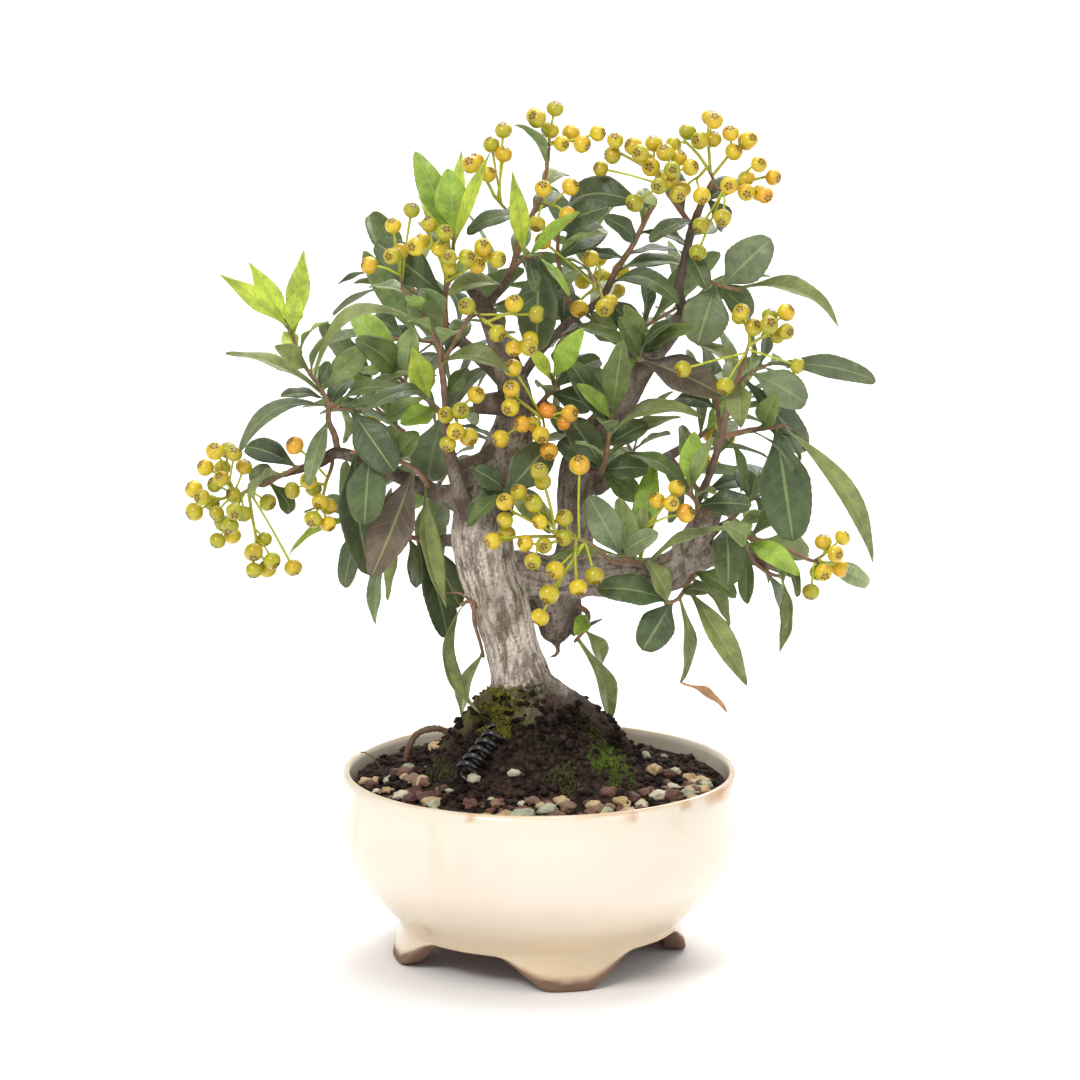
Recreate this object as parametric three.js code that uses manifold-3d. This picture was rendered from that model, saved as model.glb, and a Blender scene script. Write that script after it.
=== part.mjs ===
// Scarlet firethorn (Pyracantha) bonsai in a round cream-glazed pot with four feet.
// Millimetres, +Z up, front of the plant towards -Y, origin at the middle of its footprint.

import * as THREE from "three";
import { mergeVertices } from "three/addons/utils/BufferGeometryUtils.js";
import Module from "manifold-3d";

const wasm = await Module();
wasm.setup();

// Clearances
const FIT_GAP = 0.35; // between pieces that touch on the real plant
const SAMPLE_STEP = 1.9; // between the sample points of a surface
const BLADE_SPACING = 2.4; // least distance between sample points of different pieces
const JOINED_SHARE = 0.25; // leaves of one shoot may be close up to this share of their length
const TESTED_SHARE = 0.2; // a leaf is tested from this share of its length on
const DEGREE = Math.PI / 180;

// Pot
const POT_SEGMENTS = 32;
const FOOT_COUNT = 4;
const FRONT_FOOT_DEG = 11.5; // from the front towards +X
const FOOT_HALF_DEG = 11.5; // the flat sole of a foot
const FOOT_SLOPE_DEG = 28; // where the arch between two feet is full
const ARCH_HEIGHT = 11;
const WAIST_HEIGHT = 12;
const WAIST_RADIUS = 47;
const FOOT_MIDDLE_RADIUS = 45;
const FOOT_FLARE = 3;
const DRAIN_RADIUS = 6;
const POT_INNER = [[DRAIN_RADIUS, 17], [41, 17.5], [55, 28], [62.6, 46], [63.5, 63.8]];
const POT_OUTER = [[65.6, 64.4], [67.3, 57], [68.3, 45], [65.5, 33], [58, 23], [WAIST_RADIUS, WAIST_HEIGHT]];
const POT_UNDER = [[WAIST_RADIUS, 0], [42, 0], [41, WAIST_HEIGHT], [DRAIN_RADIUS, WAIST_HEIGHT]];

// Soil
const SOIL_EDGE_HEIGHT = 58.5;
const SOIL_SIDE = [[0, 17.9], [40.6, 17.9], [54.5, 28.2], [62.1, 46.2], [62.7, SOIL_EDGE_HEIGHT]];
const SOIL_RINGS = [48, 33, 18, 0];
const MOUND = { x: -5, y: 0, rise: 26, reach: 34 };
const GRAVEL_COUNT = 7;
const GRAVEL_SEED = 41;
const GRAVEL_SPREAD_DEG = 75; // to either side of the front
const GRAVEL_AWAY = [44, 56]; // from the middle of the pot
const GRAVEL_SIZE = [1.8, 3.4];
const GRAVEL_RISE = 0.15; // of its size above the soil

// Training wire
const COIL_START = [-14, -17];
const COIL_END = [-25, -31];
const COIL_TURNS = 5.5;
const COIL_STEPS_PER_TURN = 7;
const COIL_RADIUS = 2.9; // to the middle of the wire
const WIRE_RADIUS = 1.15;
const COIL_SINK = 0.4;

// Leaves
const SHOOT_SIDES = 4;
const SHOOT_OVERRUN = 0.8; // past its last leaf
const LEAF_THICKNESS = 0.9;
const LEAF_ROOT_THICKNESS = 0.6;
const LEAF_ROOT_HALF_WIDTH = 0.15;
const ROOT_STEP = 1.8; // between the places for leaf roots on a shoot
const ROOT_SPACING = 1.6; // least distance between leaf roots
const ROOT_SEARCH_STEP = 0.5;
const ROOT_SLIDES = [0, 1, -1, 2, -2, 3, -3, 4, -4, 5, -5];
const LEAF_ROOT_START = 0.15; // a blade starts inside its shoot, this far from the shoot's middle
const NARROW_LEAF_WIDTH = 6.1; // leaves under this width have one station
const SMALL_LEAF_WIDTH = 12; // leaves under this width have two, the others three
const NARROW_LEAF_STATIONS = [[0.55, 1]];
const SMALL_LEAF_STATIONS = [[0.42, 0.86], [0.78, 0.86]];
const LEAF_STATIONS = [[0.32, 0.6], [0.6, 1], [0.85, 0.74]];
const DEPTH_STEPS = [0, 2.5, -2.5, 5, -5, 7.5, -7.5, 10, -10, 13, -13, 16, -16, 20, -20];
const TIP_NUDGES = [[0, 0], [3, 0], [-3, 0], [0, 3], [0, -3], [5, 5], [-5, 5], [5, -5], [-5, -5]];
const SIGHT_LINE = [0, 1, -0.2126]; // a tip slides along the view, which looks 12 degrees down

// Berries
const BERRY_RADIUS = [2.7, 3.2];
const BERRY_GAP = 0.3;
const BERRY_TRIES = 60;
const BERRY_SHARE = [1, 0, 0, 0, 0]; // which of an umbel's berries are built, in turn
const SINGLE_SHARE = [1, 0];
const PEDICEL_RADIUS = 0.5;
const PEDICEL_ROOT_RADIUS = 0.15; // inside its stalk
const AXIS_RADIUS = [0.3, 0.75]; // of an umbel's own stalk, from inside the main one to its end
const PEDICEL_STEP = 1.3; // along the stalk, from one to the next
const CORE_SHARE = 0.5; // a stalk ends this share of an umbel's reach short of its middle
const BERRY_SEED = 7;

// Colours
const LOOKS = {
  pot: { color: 0xfaf3e1, roughness: 0.25 },
  soil: { color: 0x3b2d27, roughness: 1 },
  wood: { color: 0xa3958a, roughness: 0.9 },
  wire: { color: 0x151515, roughness: 0.35 },
  rootlet: { color: 0x9a7a58, roughness: 0.9 },
  leaf: { color: 0x5c7f4c, roughness: 0.55 },
  young_leaf: { color: 0x9fc43a, roughness: 0.5 },
  berry: { color: 0xdcb428, roughness: 0.4 },
};

// Wood: each path is a list of [x, y, z, radius]
const WOOD = {
  trunk: [[-4, 0, 52, 16], [-4, 0, 67, 14.5], [-5, 0, 81, 12.5], [-7, 0, 95, 10.3], [-10, 0, 108, 9.2],
    [-14, 0, 122, 9.6], [-19, 0, 141, 10], [-18, 1, 154, 9.5], [-14, 4, 166, 8], [-9, 6, 179, 7],
    [-8, 6, 189, 6], [-11, 5, 201, 4.5], [-15, 3, 212, 3.6], [-19, 2, 222, 2.8], [-24, 2, 229, 2]],
  right_limb: [[-12, 5, 130, 8], [3, 10, 127, 8.5], [14, 12, 128, 8], [28, 10, 128, 7], [42, 6, 130, 6.5],
    [53, 4, 136, 5.5], [64, 3, 138, 4], [74, 4, 135, 2.6], [86, 2, 130, 1.6]],
  burl: [[2, 12, 124, 9.5], [6, 12, 114, 8.5], [5, 11, 106, 4]],
  burl_twig: [[8, 11, 111, 2], [10, 10, 108, 1.2], [15, 8, 111, 1], [21, 7, 114, 0.6]],
  burl_thorn: [[5, 11, 109, 1.4], [6, 9, 102, 0.9], [2, 8, 100, 0.4]],
  second_stem: [[10, 12, 128, 6.5], [11, 14, 140, 6.5], [11, 14, 152, 6.5], [13, 14, 166, 6.2],
    [20, 13, 177, 5.5], [28, 12, 188, 5], [33, 12, 197, 4.5], [40, 10, 207, 3.8], [48, 9, 217, 2.9]],
  left_branch: [[-18, -1, 153, 6], [-22, -3, 154, 4], [-30, -2, 157, 3.2], [-48, -2, 165, 2.4],
    [-66, -5, 173, 2.1], [-73, -6, 170, 1.8], [-86, -8, 166, 1.1]],
  front_left_twig: [[-22, -3, 150, 4], [-24, -6, 154, 3.2], [-27, -8, 162, 2.7], [-31, -10, 178, 2.1]],
  low_left_branch: [[-20, 1, 141, 4], [-27, 2, 142, 2.5], [-36, 5, 141, 1.8]],
  cross_twig: [[-13, 3, 174, 3], [-20, -3, 171, 1.9], [-28, -7, 169, 1.8]],
  front_stub: [[-8, 4, 188, 5], [-14, -1, 189, 4], [-21, -4, 189, 3.2]],
  scar_stub: [[48, 4, 135, 5], [50, 2, 140, 5], [54, -2, 148, 5], [57, -6, 154, 4.6]],
  back_left_low: [[-14, 6, 152, 6], [-20, 14, 157, 4], [-30, 25, 163, 2.6], [-45, 36, 171, 1.4]],
  back_right_low: [[18, 16, 158, 4.5], [26, 24, 161, 3.4], [38, 35, 161, 2.4], [52, 46, 167, 1.2]],
  back_right_high: [[34, 14, 197, 4], [32, 22, 203, 2.8], [28, 32, 210, 2.2], [20, 43, 218, 1.2]],
  back_left_high: [[-9, 7, 193, 4], [-16, 16, 198, 2.8], [-25, 25, 204, 2.2], [-36, 33, 214, 1.2]],
  right_root: [[2, 0, 88, 8], [6, 0, 87, 6], [13, 1, 83, 5], [20, 2, 78, 4.4], [26, 3, 73, 3.4],
    [32, 4, 66, 2.4]],
  left_root: [[-12, 0, 90, 6], [-17, -1, 86, 5], [-22, -2, 81, 4.2], [-28, -3, 75, 3.4], [-35, -4, 68, 2.2]],
};
const THICK_RADIUS = 4; // wood at least this thick has six sides, the rest four
const ROOTLET = [[-46, 5, 60, 1], [-44.5, 4, 69, 1.1], [-42, 3, 74.5, 1.1], [-38.5, 3, 76.6, 1.1],
  [-34, 4, 76.8, 1.1], [-30, 5, 74.5, 1.1], [-27, 6, 71, 1]];

// Leafy stems seen from the front. A shoot is a path as above; a leaf is
// [root x, y, z, tip x, y, z, width, face, arch]: face turns its upper side from the sky (0)
// to the front (90) in degrees, and arch is its rise over the chord as a share of its length.
const SPRAYS = {
  left_tip: {
    shoots: [
      [[-67, -5, 173, 1.6], [-68, -5, 179, 1.5], [-70, -6, 184, 1.4], [-70, -7, 190, 1.3],
       [-73, -7, 196, 1], [-77, -8, 202, 0.9], [-81, -8, 211, 0.8], [-84, -8, 218, 0.6]],
      [[-70, -7, 190, 1.2], [-65, -5, 188, 1], [-60, -4, 187, 0.8]],
    ],
    leaves: [
      [-70, -7, 189, -99, -14, 175, 9, 25, 0.25],
      [-71, -7, 191, -85, -21, 195, 6, 15, 0.1],
      [-72, -7, 193, -104, -2, 206, 7, 20, 0.1],
      [-71, -7, 191, -56, -3, 209, 9, 70, 0.05],
      [-71, -7, 191, -69, -13, 205, 5, 60, 0],
      [-67, -6, 189, -46, -14, 196, 7, 30, 0.2],
      [-64, -5, 188, -34, 1, 198, 5, 15, 0.15],
      [-64, -5, 188, -48, -12, 168, 13, 80, 0.05],
      [-70, -6, 185, -76, -11, 163, 7, 60, 0.05],
      [-77, -8, 202, -87, -12, 210, 8, 45, 0.05],
      [-80, -8, 208, -85, -4, 214, 6, 60, 0],
      [-79, -8, 206, -88, 0, 201, 5, 30, 0],
      [-83, -8, 216, -105, -12, 234, 7, 60, 0.08],
      [-84, -8, 217, -96, -4, 237, 7.5, 70, 0.05],
      [-84, -8, 217, -78, -2, 241, 8, 70, 0],
      [-83, -8, 214, -79, -14, 230, 7, 75, 0],
    ],
  },
  left_middle: {
    shoots: [
      [[-32, -8, 186, 1.5], [-37, -5, 191, 1.3], [-42, -2, 194, 1.1], [-46, 0, 197, 1],
       [-50, 3, 200, 0.8]],
    ],
    leaves: [
      [-47, 0, 197, -64, 8, 220, 11, 60, 0.1],
      [-47, 0, 197, -66, -8, 207, 11, 60, 0.25],
      [-46, 0, 197, -43, 4, 214, 9, 65, 0],
      [-49, 2, 199, -60, 10, 198, 5, 40, 0],
      [-37, -5, 190, -42, -12, 210, 9, 80, 0],
      [-37, -5, 191, -51, -8, 185, 8, 60, 0.1],
      [-34, -7, 188, -46, -16, 185, 8, 60, 0.1],
      [-34, -7, 188, -57, -10, 188, 7, 25, 0.22],
      [-33, -7, 188, -38, -15, 166, 14, 85, 0.03],
      [-40, -3, 193, -56, 7, 189, 7, 30, 0.15],
      [-44, -1, 195, -34, 11, 204, 8, 60, 0.1],
    ],
  },
  left_low: {
    shoots: [
      [[-37, -5, 162, 1.5], [-41, -9, 168, 1.3], [-48, -10, 172, 1.2], [-56, -10, 175, 1.1],
       [-62, -9, 174, 0.9]],
    ],
    leaves: [
      [-56, -10, 175, -58, -16, 151, 13, 80, 0.04],
      [-42, -9, 168, -56, -15, 133, 15, 72, -0.06],
      [-61, -9, 174, -54, -3, 131, 14, 70, -0.12],
      [-38, -6, 163, -31, -1, 120, 9, 50, -0.12],
      [-48, -10, 171, -40, -15, 182, 8, 60, 0.1],
    ],
  },
  left_lower: {
    shoots: [
      [[-38, 6, 141, 1.3], [-50, 10, 143, 1.2], [-60, 14, 146, 1.1], [-65, 17, 147, 0.8]],
    ],
    leaves: [
      [-60, 14, 146, -66, 19, 122, 8, 60, 0.05],
      [-50, 10, 143, -56, 16, 110, 7, 40, 0.06],
      [-47, 9, 143, -51, 4, 121, 6, 40, 0],
      [-60, 14, 146, -82, 12, 139, 6, 20, 0.1],
      [-64, 16, 147, -85, 24, 132, 5, 20, 0.1],
      [-38, 6, 141, -27, 2, 119, 10, 70, 0.04],
      [-39, 6, 141, -31, 13, 106, 11, 60, 0.05],
      [-64, 16, 147, -75, 28, 150, 8, 40, 0.1],
      [-56, 13, 145, -63, 31, 129, 9, 60, 0.1],
      [-44, 8, 142, -41, 22, 122, 9, 60, 0.08],
    ],
  },
  left_end: {
    shoots: [
      [[-80, -8, 169, 1.1], [-86, -9, 166, 1], [-91, -9, 163, 0.9]],
    ],
    leaves: [
      [-80, -8, 168, -98, -13, 177, 9, 50, 0.12],
      [-86, -9, 166, -97, -6, 166, 8, 70, -0.05],
      [-90, -9, 164, -83, -1, 152, 7, 50, 0.1],
    ],
  },
  trunk_left: {
    shoots: [
      [[-20, -4, 120, 1.2], [-23, -6, 123, 1], [-26, -6, 122, 0.8]],
      [[-22, -6, 122, 1], [-22, -5, 116, 0.9], [-20, -2, 108, 0.8], [-19, 0, 103, 0.7]],
      [[-23, -6, 123, 0.8], [-27, -7, 126, 0.5], [-32, -8, 126, 0.2]],
    ],
    leaves: [
      [-25, -6, 122, -20, -12, 86, 7.5, 35, -0.3],
      [-19, 0, 104, -26, 6, 79, 7.5, 40, 0.1],
    ],
  },
  top_left: {
    shoots: [
      [[-31, -11, 180, 1.9], [-31, -12, 189, 1.7], [-32, -12, 200, 1.5], [-33, -13, 209, 1.3],
       [-31, -14, 218, 1.2], [-31, -14, 227, 1.1], [-29, -14, 238, 1], [-28, -14, 248, 0.8]],
      [[-33, -13, 209, 1.1], [-36, -15, 217, 0.9], [-41, -16, 226, 0.8], [-45, -16, 230, 0.7]],
      [[-32, -12, 205, 1.1], [-28, -13, 212, 1], [-24, -14, 219, 0.9], [-22, -15, 222, 0.8]],
    ],
    leaves: [
      [-28, -14, 248, -30, -17, 270, 11, 88, 0],
      [-28, -14, 248, -41, -10, 275, 9.5, 80, 0.05],
      [-28, -14, 248, -26, -6, 276, 6, 70, 0],
      [-28, -14, 248, -16, -20, 276, 5, 60, 0.05],
      [-28, -14, 248, -40, -5, 259, 6, 60, 0.1],
      [-28, -14, 246, -45, -21, 259, 7.5, 45, 0.15],
      [-31, -14, 227, -54, -6, 244, 12, 75, 0.1],
      [-36, -15, 216, -74, -20, 201, 8.5, 18, 0.36],
      [-33, -13, 204, -7, -7, 200, 9, 30, 0.22],
      [-31, -12, 193, -24, -6, 202, 6, 80, 0],
      [-31, -12, 207, -26, -5, 215, 7, 60, 0.1],
    ],
  },
  leader: {
    shoots: [
      [[-18, 2, 221, 2.2], [-13, 2, 227, 1.8], [-9, 2, 234, 1.6], [-7, 1, 243, 1.4], [-3, 1, 251, 1.2],
       [0, 0, 258, 1], [2, 0, 266, 0.9], [3, 0, 274, 0.7]],
      [[-9, 2, 234, 1.2], [-5, -3, 238, 1], [0, -8, 240, 0.8]],
    ],
    leaves: [
      [-5, -3, 238, -9, -6, 266, 6.5, 80, 0],
      [-4, -3, 238, 13, -10, 254, 5.5, 45, 0.08],
      [-5, 1, 246, -10, 8, 254, 4.5, 60, 0],
      [0, -8, 240, -1, -14, 209, 13.5, 85, 0.03],
      [-3, 1, 251, -24, 6, 244, 8, 25, 0.15],
      [-12, 2, 228, -31, 12, 222, 9, 30, 0.15],
      [-8, 2, 238, 6, 12, 225, 9, 50, 0.1],
    ],
  },
  upper: {
    shoots: [
      [[-7, 5, 195, 2.2], [0, 8, 205, 2.1], [10, 9, 215, 1.9], [20, 9, 222, 1.7], [25, 7, 232, 1.5],
       [30, 5, 240, 1.3], [34, 4, 248, 1.2], [37, 3, 254, 1]],
      [[12, 9, 216, 1.3], [8, 7, 226, 1.1], [6, 6, 236, 1], [6, 5, 246, 0.8]],
    ],
    leaves: [
      [37, 3, 254, 9, -3, 256, 13, 50, 0.3],
      [6, 5, 245, 20, 11, 252, 10, 50, 0.15],
      [6, 6, 236, 24, 0, 249, 11, 60, 0.12],
      [31, 5, 242, 21, -1, 251, 7, 50, 0.15],
      [25, 7, 232, 49, 13, 233, 7.5, 30, 0.12],
      [28, 6, 237, 16, 14, 238, 5, 40, 0],
      [33, 4, 245, 50, 10, 239, 6, 30, 0.15],
      [22, 8, 226, 46, 2, 222, 9, 30, 0.3],
      [20, 9, 223, 33, 16, 210, 9, 70, 0.1],
      [11, 9, 215, -4, 18, 215, 9, 45, 0.12],
      [16, 9, 219, 24, 2, 210, 9, 70, 0.1],
    ],
  },
  right_upper: {
    shoots: [
      [[37, 8, 205, 2], [34, 2, 205, 1.6], [33, -3, 204, 1.2]],
    ],
    leaves: [
      [33, -1, 204, 26, -6, 219, 7, 70, 0.08],
      [34, 0, 204, 41, -7, 215, 8, 60, 0.12],
      [33, -2, 204, 52, 2, 213, 7, 40, 0.15],
      [34, 0, 204, 33, 5, 216, 7, 75, 0],
      [33, -3, 204, 60, -8, 193, 13, 60, 0.1],
      [33, -3, 204, 12, 0, 215, 6, 35, 0.12],
      [33, -3, 204, 20, -9, 198, 8, 50, 0.15],
    ],
  },
  top_right: {
    shoots: [
      [[48, 8, 217, 2.6], [46, 6, 226, 2.4], [48, 5, 236, 2.2], [50, 4, 246, 2], [54, 3, 257, 1.5],
       [57, 2, 263, 1.1]],
      [[50, 4, 248, 1.3], [45, 2, 255, 1.1], [42, 1, 259, 0.9]],
      [[48, 5, 233, 1.2], [55, 2, 230, 1], [61, 0, 228, 0.9], [66, -1, 227, 0.8]],
    ],
    leaves: [
      [49, 5, 240, 55, 0, 227, 7, 75, 0.05],
      [53, 3, 255, 67, 9, 262, 8, 50, 0.15],
      [54, 3, 256, 64, -3, 249, 7.5, 60, 0.2],
      [60, 0, 228, 76, -5, 245, 14, 78, 0.1],
      [64, -1, 227, 99, 3, 214, 8.5, 30, 0.22],
      [65, -1, 227, 52, -7, 210, 15.5, 82, 0.05],
      [51, 4, 249, 36, 12, 243, 7, 35, 0.15],
      [50, 4, 244, 58, 13, 247, 7, 50, 0.1],
      [58, 1, 229, 70, 9, 216, 10, 60, 0.12],
    ],
  },
  right_twig: {
    shoots: [
      [[52, -2, 156, 2], [55, -3, 162, 1.8], [58, -4, 171, 1.7], [60, -4, 178, 1.6],
       [62, -5, 188, 1.4], [65, -6, 197, 1.2], [67, -7, 203, 0.9]],
      [[60, -4, 178, 1.4], [68, -3, 180, 1.3], [74, -3, 181, 1.2], [81, -3, 182, 1]],
      [[60, -4, 179, 1.2], [59, -1, 186, 1], [59, 0, 193, 0.8]],
      [[65, -6, 196, 1], [70, -4, 200, 0.9], [77, -2, 203, 0.7]],
    ],
    leaves: [
      [76, -2, 203, 112, 2, 196, 8.5, 55, 0.14],
      [70, -4, 200, 88, -11, 191, 12, 70, 0.15],
      [69, -5, 199, 89, -1, 173, 11, 65, 0.06],
      [66, -6, 197, 63, -13, 183, 9, 70, 0.05],
      [80, -3, 182, 111, 0, 135, 8, 50, 0.16],
      [80, -3, 182, 84, -9, 144, 17, 88, 0.02],
      [62, -4, 178, 67, 3, 158, 4.5, 45, 0.15],
      [67, -7, 201, 52, -1, 209, 6, 35, 0.1],
      [59, 0, 193, 50, 7, 198, 8, 60, 0.1],
      [59, -1, 187, 45, 7, 189, 8, 40, 0.15],
      [74, -3, 181, 78, 6, 190, 8, 60, 0.1],
    ],
  },
  right_middle: {
    shoots: [
      [[54, -4, 150, 1.6], [52, -8, 157, 1.3], [50, -10, 160, 1.1], [50, -10, 163, 0.9]],
    ],
    leaves: [
      [50, -10, 161, 51, -14, 182, 9, 85, 0],
      [50, -10, 161, 57, -19, 181, 5, 60, 0.1],
      [50, -10, 162, 28, -6, 173, 7, 40, 0.2],
      [50, -10, 162, 41, -17, 171, 5, 60, 0],
      [51, -10, 160, 70, -13, 157, 9, 55, 0.12],
      [50, -10, 162, 42, -2, 177, 8, 60, 0.1],
    ],
  },
  low_right: {
    shoots: [
      [[57, 2, 143, 1.4], [62, -3, 149, 1.3], [68, -5, 145, 1.2], [76, -6, 143, 1], [82, -7, 141, 0.9],
       [88, -8, 138, 0.8], [91, -8, 137, 0.7]],
      [[68, -5, 145, 1.1], [70, -1, 137, 1], [76, 2, 131, 0.9], [81, 4, 129, 0.8]],
      [[62, -3, 149, 1.1], [68, 3, 153, 1], [72, 7, 157, 0.8]],
    ],
    leaves: [
      [68, -5, 144, 60, -13, 151, 8, 60, 0.15],
      [62, -3, 148, 67, -14, 135, 12, 75, 0.08],
      [68, -4, 144, 86, -12, 133, 8, 55, 0.15],
      [69, -3, 140, 69, 3, 120, 6, 70, 0.05],
      [73, -6, 144, 87, 1, 138, 10, 60, 0.1],
      [68, 3, 153, 76, 9, 162, 8, 60, 0.1],
      [75, 2, 132, 82, 9, 115, 5, 45, 0.08],
      [81, 4, 129, 80, 0, 104, 6, 45, -0.18],
      [89, -8, 138, 106, 4, 121, 7, 60, 0.1],
      [72, 6, 156, 80, 14, 146, 9, 70, 0.1],
      [70, 5, 155, 67, 15, 164, 8, 60, 0.1],
    ],
  },
  right_under: {
    shoots: [
      [[54, 6, 137, 1.4], [53, 3, 133, 1.2], [50, -2, 129, 1.1], [46, -7, 124, 0.9],
       [42, -9, 123, 0.8]],
    ],
    leaves: [
      [51, -1, 129, 63, 3, 112, 6.5, 35, 0.14],
      [44, -8, 123, 34, -14, 108, 12, 85, 0.03],
      [45, -8, 124, 47, -6, 95, 6, 45, 0.12],
      [46, -7, 125, 56, -15, 128, 6, 30, 0.15],
      [47, -6, 125, 69, -10, 95, 8.5, 65, 0.06],
      [43, -9, 123, 19, -5, 127, 11, 50, 0.15],
      [45, -7, 124, 30, 2, 130, 9, 50, 0.12],
      [49, -3, 128, 60, 4, 127, 8, 45, 0.15],
    ],
  },
  front_right: {
    shoots: [
      [[42, 0, 129, 2.2], [36, -6, 134, 1.8], [32, -11, 137, 1.4], [30, -13, 138, 1.1],
       [27, -15, 140, 0.9]],
    ],
    leaves: [
      [29, -13, 139, 26, -15, 160, 9, 72, 0.05],
      [30, -13, 138, 35, -20, 158, 7, 65, 0.05],
      [31, -12, 138, 38, -7, 171, 9, 75, 0.05],
      [28, -15, 140, 39, -24, 150, 8, 50, 0.15],
      [27, -15, 140, 16, -12, 160, 11, 78, 0.05],
      [32, -11, 137, 58, -8, 143, 5, 30, 0.16],
      [27, -15, 140, 3, -12, 138, 5, 30, 0.14],
      [28, -14, 139, 22, -6, 162, 8, 60, 0.1],
    ],
  },
  centre_right: {
    shoots: [
      [[16, 8, 165, 1.7], [20, 4, 165, 1.5], [21, 0, 167, 1.3], [22, -3, 172, 1.2], [23, -6, 180, 1.1],
       [24, -8, 187, 0.9]],
    ],
    leaves: [
      [24, -8, 186, 27, -12, 212, 9, 80, 0.02],
      [24, -8, 186, 12, -14, 198, 6, 50, 0.12],
      [24, -7, 183, 9, -3, 204, 9, 65, 0.08],
      [24, -8, 186, 54, -5, 185, 7, 32, 0.24],
      [22, -2, 169, 47, 6, 183, 6.5, 35, 0.15],
      [22, -1, 168, 10, -7, 185, 11, 70, 0.06],
      [21, 2, 166, 6, 5, 175, 10, 60, 0.1],
      [21, 0, 167, 36, -6, 168, 9, 60, 0.14],
      [23, -4, 175, 33, 5, 181, 8, 60, 0.1],
      [20, 3, 165, 33, 11, 154, 9, 60, 0.1],
    ],
  },
  centre: {
    shoots: [
      [[-13, -3, 164, 1.6], [-10, -8, 165, 1.6], [-11, -13, 162, 1.3], [-12, -17, 161, 1]],
    ],
    leaves: [
      [-12, -17, 161, 3, -20, 179, 13, 82, 0.04],
      [-12, -14, 162, -22, -17, 170, 8, 55, 0.12],
    ],
  },
  middle_bright: {
    shoots: [
      [[-2, 4, 185, 1.6], [2, 0, 191, 1.2], [5, -3, 195, 1], [4, -4, 199, 0.8]],
    ],
    leaves: [
      [4, -4, 198, 14, -9, 215, 8, 72, 0.03],
      [5, -3, 196, -5, 1, 209, 5.5, 55, 0.05],
      [5, -3, 196, 20, 5, 203, 9, 55, 0.12],
      [5, -3, 195, 17, 3, 187, 9, 60, 0.12],
      [2, 1, 190, 8, -3, 180, 7, 60, 0.1],
    ],
  },
  trunk_right: {
    shoots: [
      [[10, 10, 119, 1.4], [16, 7, 116, 1.1], [15, 5, 111, 1], [12, 5, 107, 0.8]],
    ],
    leaves: [
      [12, 5, 108, 21, 9, 74, 8.5, 45, 0.17],
      [16, 7, 116, 12, 1, 110, 6, 80, 0],
      [15, 5, 111, 21, 13, 97, 7, 50, 0.1],
    ],
  },
};
const YOUNG_SPRAYS = ["middle_bright"];

// Leafy stems at the back, on the four back branches: [name, start, end, leaves]
const BACK_SPRAYS = [
  ["rear_left_low_tip", [-45, 36, 171], [-58, 50, 180], 5],
  ["rear_left_low_hanging", [-30, 25, 163], [-36, 42, 150], 5],
  ["rear_left_low_upright", [-36, 29, 166], [-28, 48, 184], 5],
  ["rear_left_high_tip", [-36, 33, 214], [-48, 44, 226], 5],
  ["rear_left_high_side", [-25, 25, 204], [-50, 28, 206], 5],
  ["rear_left_high_inner", [-30, 29, 209], [-16, 46, 214], 5],
  ["rear_right_low_tip", [52, 46, 167], [66, 54, 176], 5],
  ["rear_right_low_inner", [34, 32, 161], [28, 54, 168], 5],
  ["rear_right_low_hanging", [44, 40, 163], [58, 42, 146], 5],
  ["rear_right_high_tip", [20, 43, 218], [14, 58, 230], 5],
  ["rear_right_high_side", [30, 27, 207], [50, 42, 216], 5],
  ["rear_right_high_inner", [25, 37, 213], [2, 40, 202], 5],
];
const BACK_SEED = 23;
const BACK_SHOOT_RADIUS = [1.2, 0.7];
const BACK_LEAF_LENGTH = [25, 38];
const BACK_LEAF_WIDTH = [8, 12.5];
const BACK_LEAF_ARCH = [0.03, 0.18];
const BACK_FORWARD = 0.6; // lean of a leaf along its shoot, to 1 outwards
const BACK_SPREAD = 0.95;
const BACK_TILT = -0.2;
const BACK_END_SPREAD = 0.25; // of the leaf at the shoot's end
const GOLDEN_ANGLE = 137.5;
const TURN_STEP = 26;
const TURN_TRIES = 9;

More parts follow.
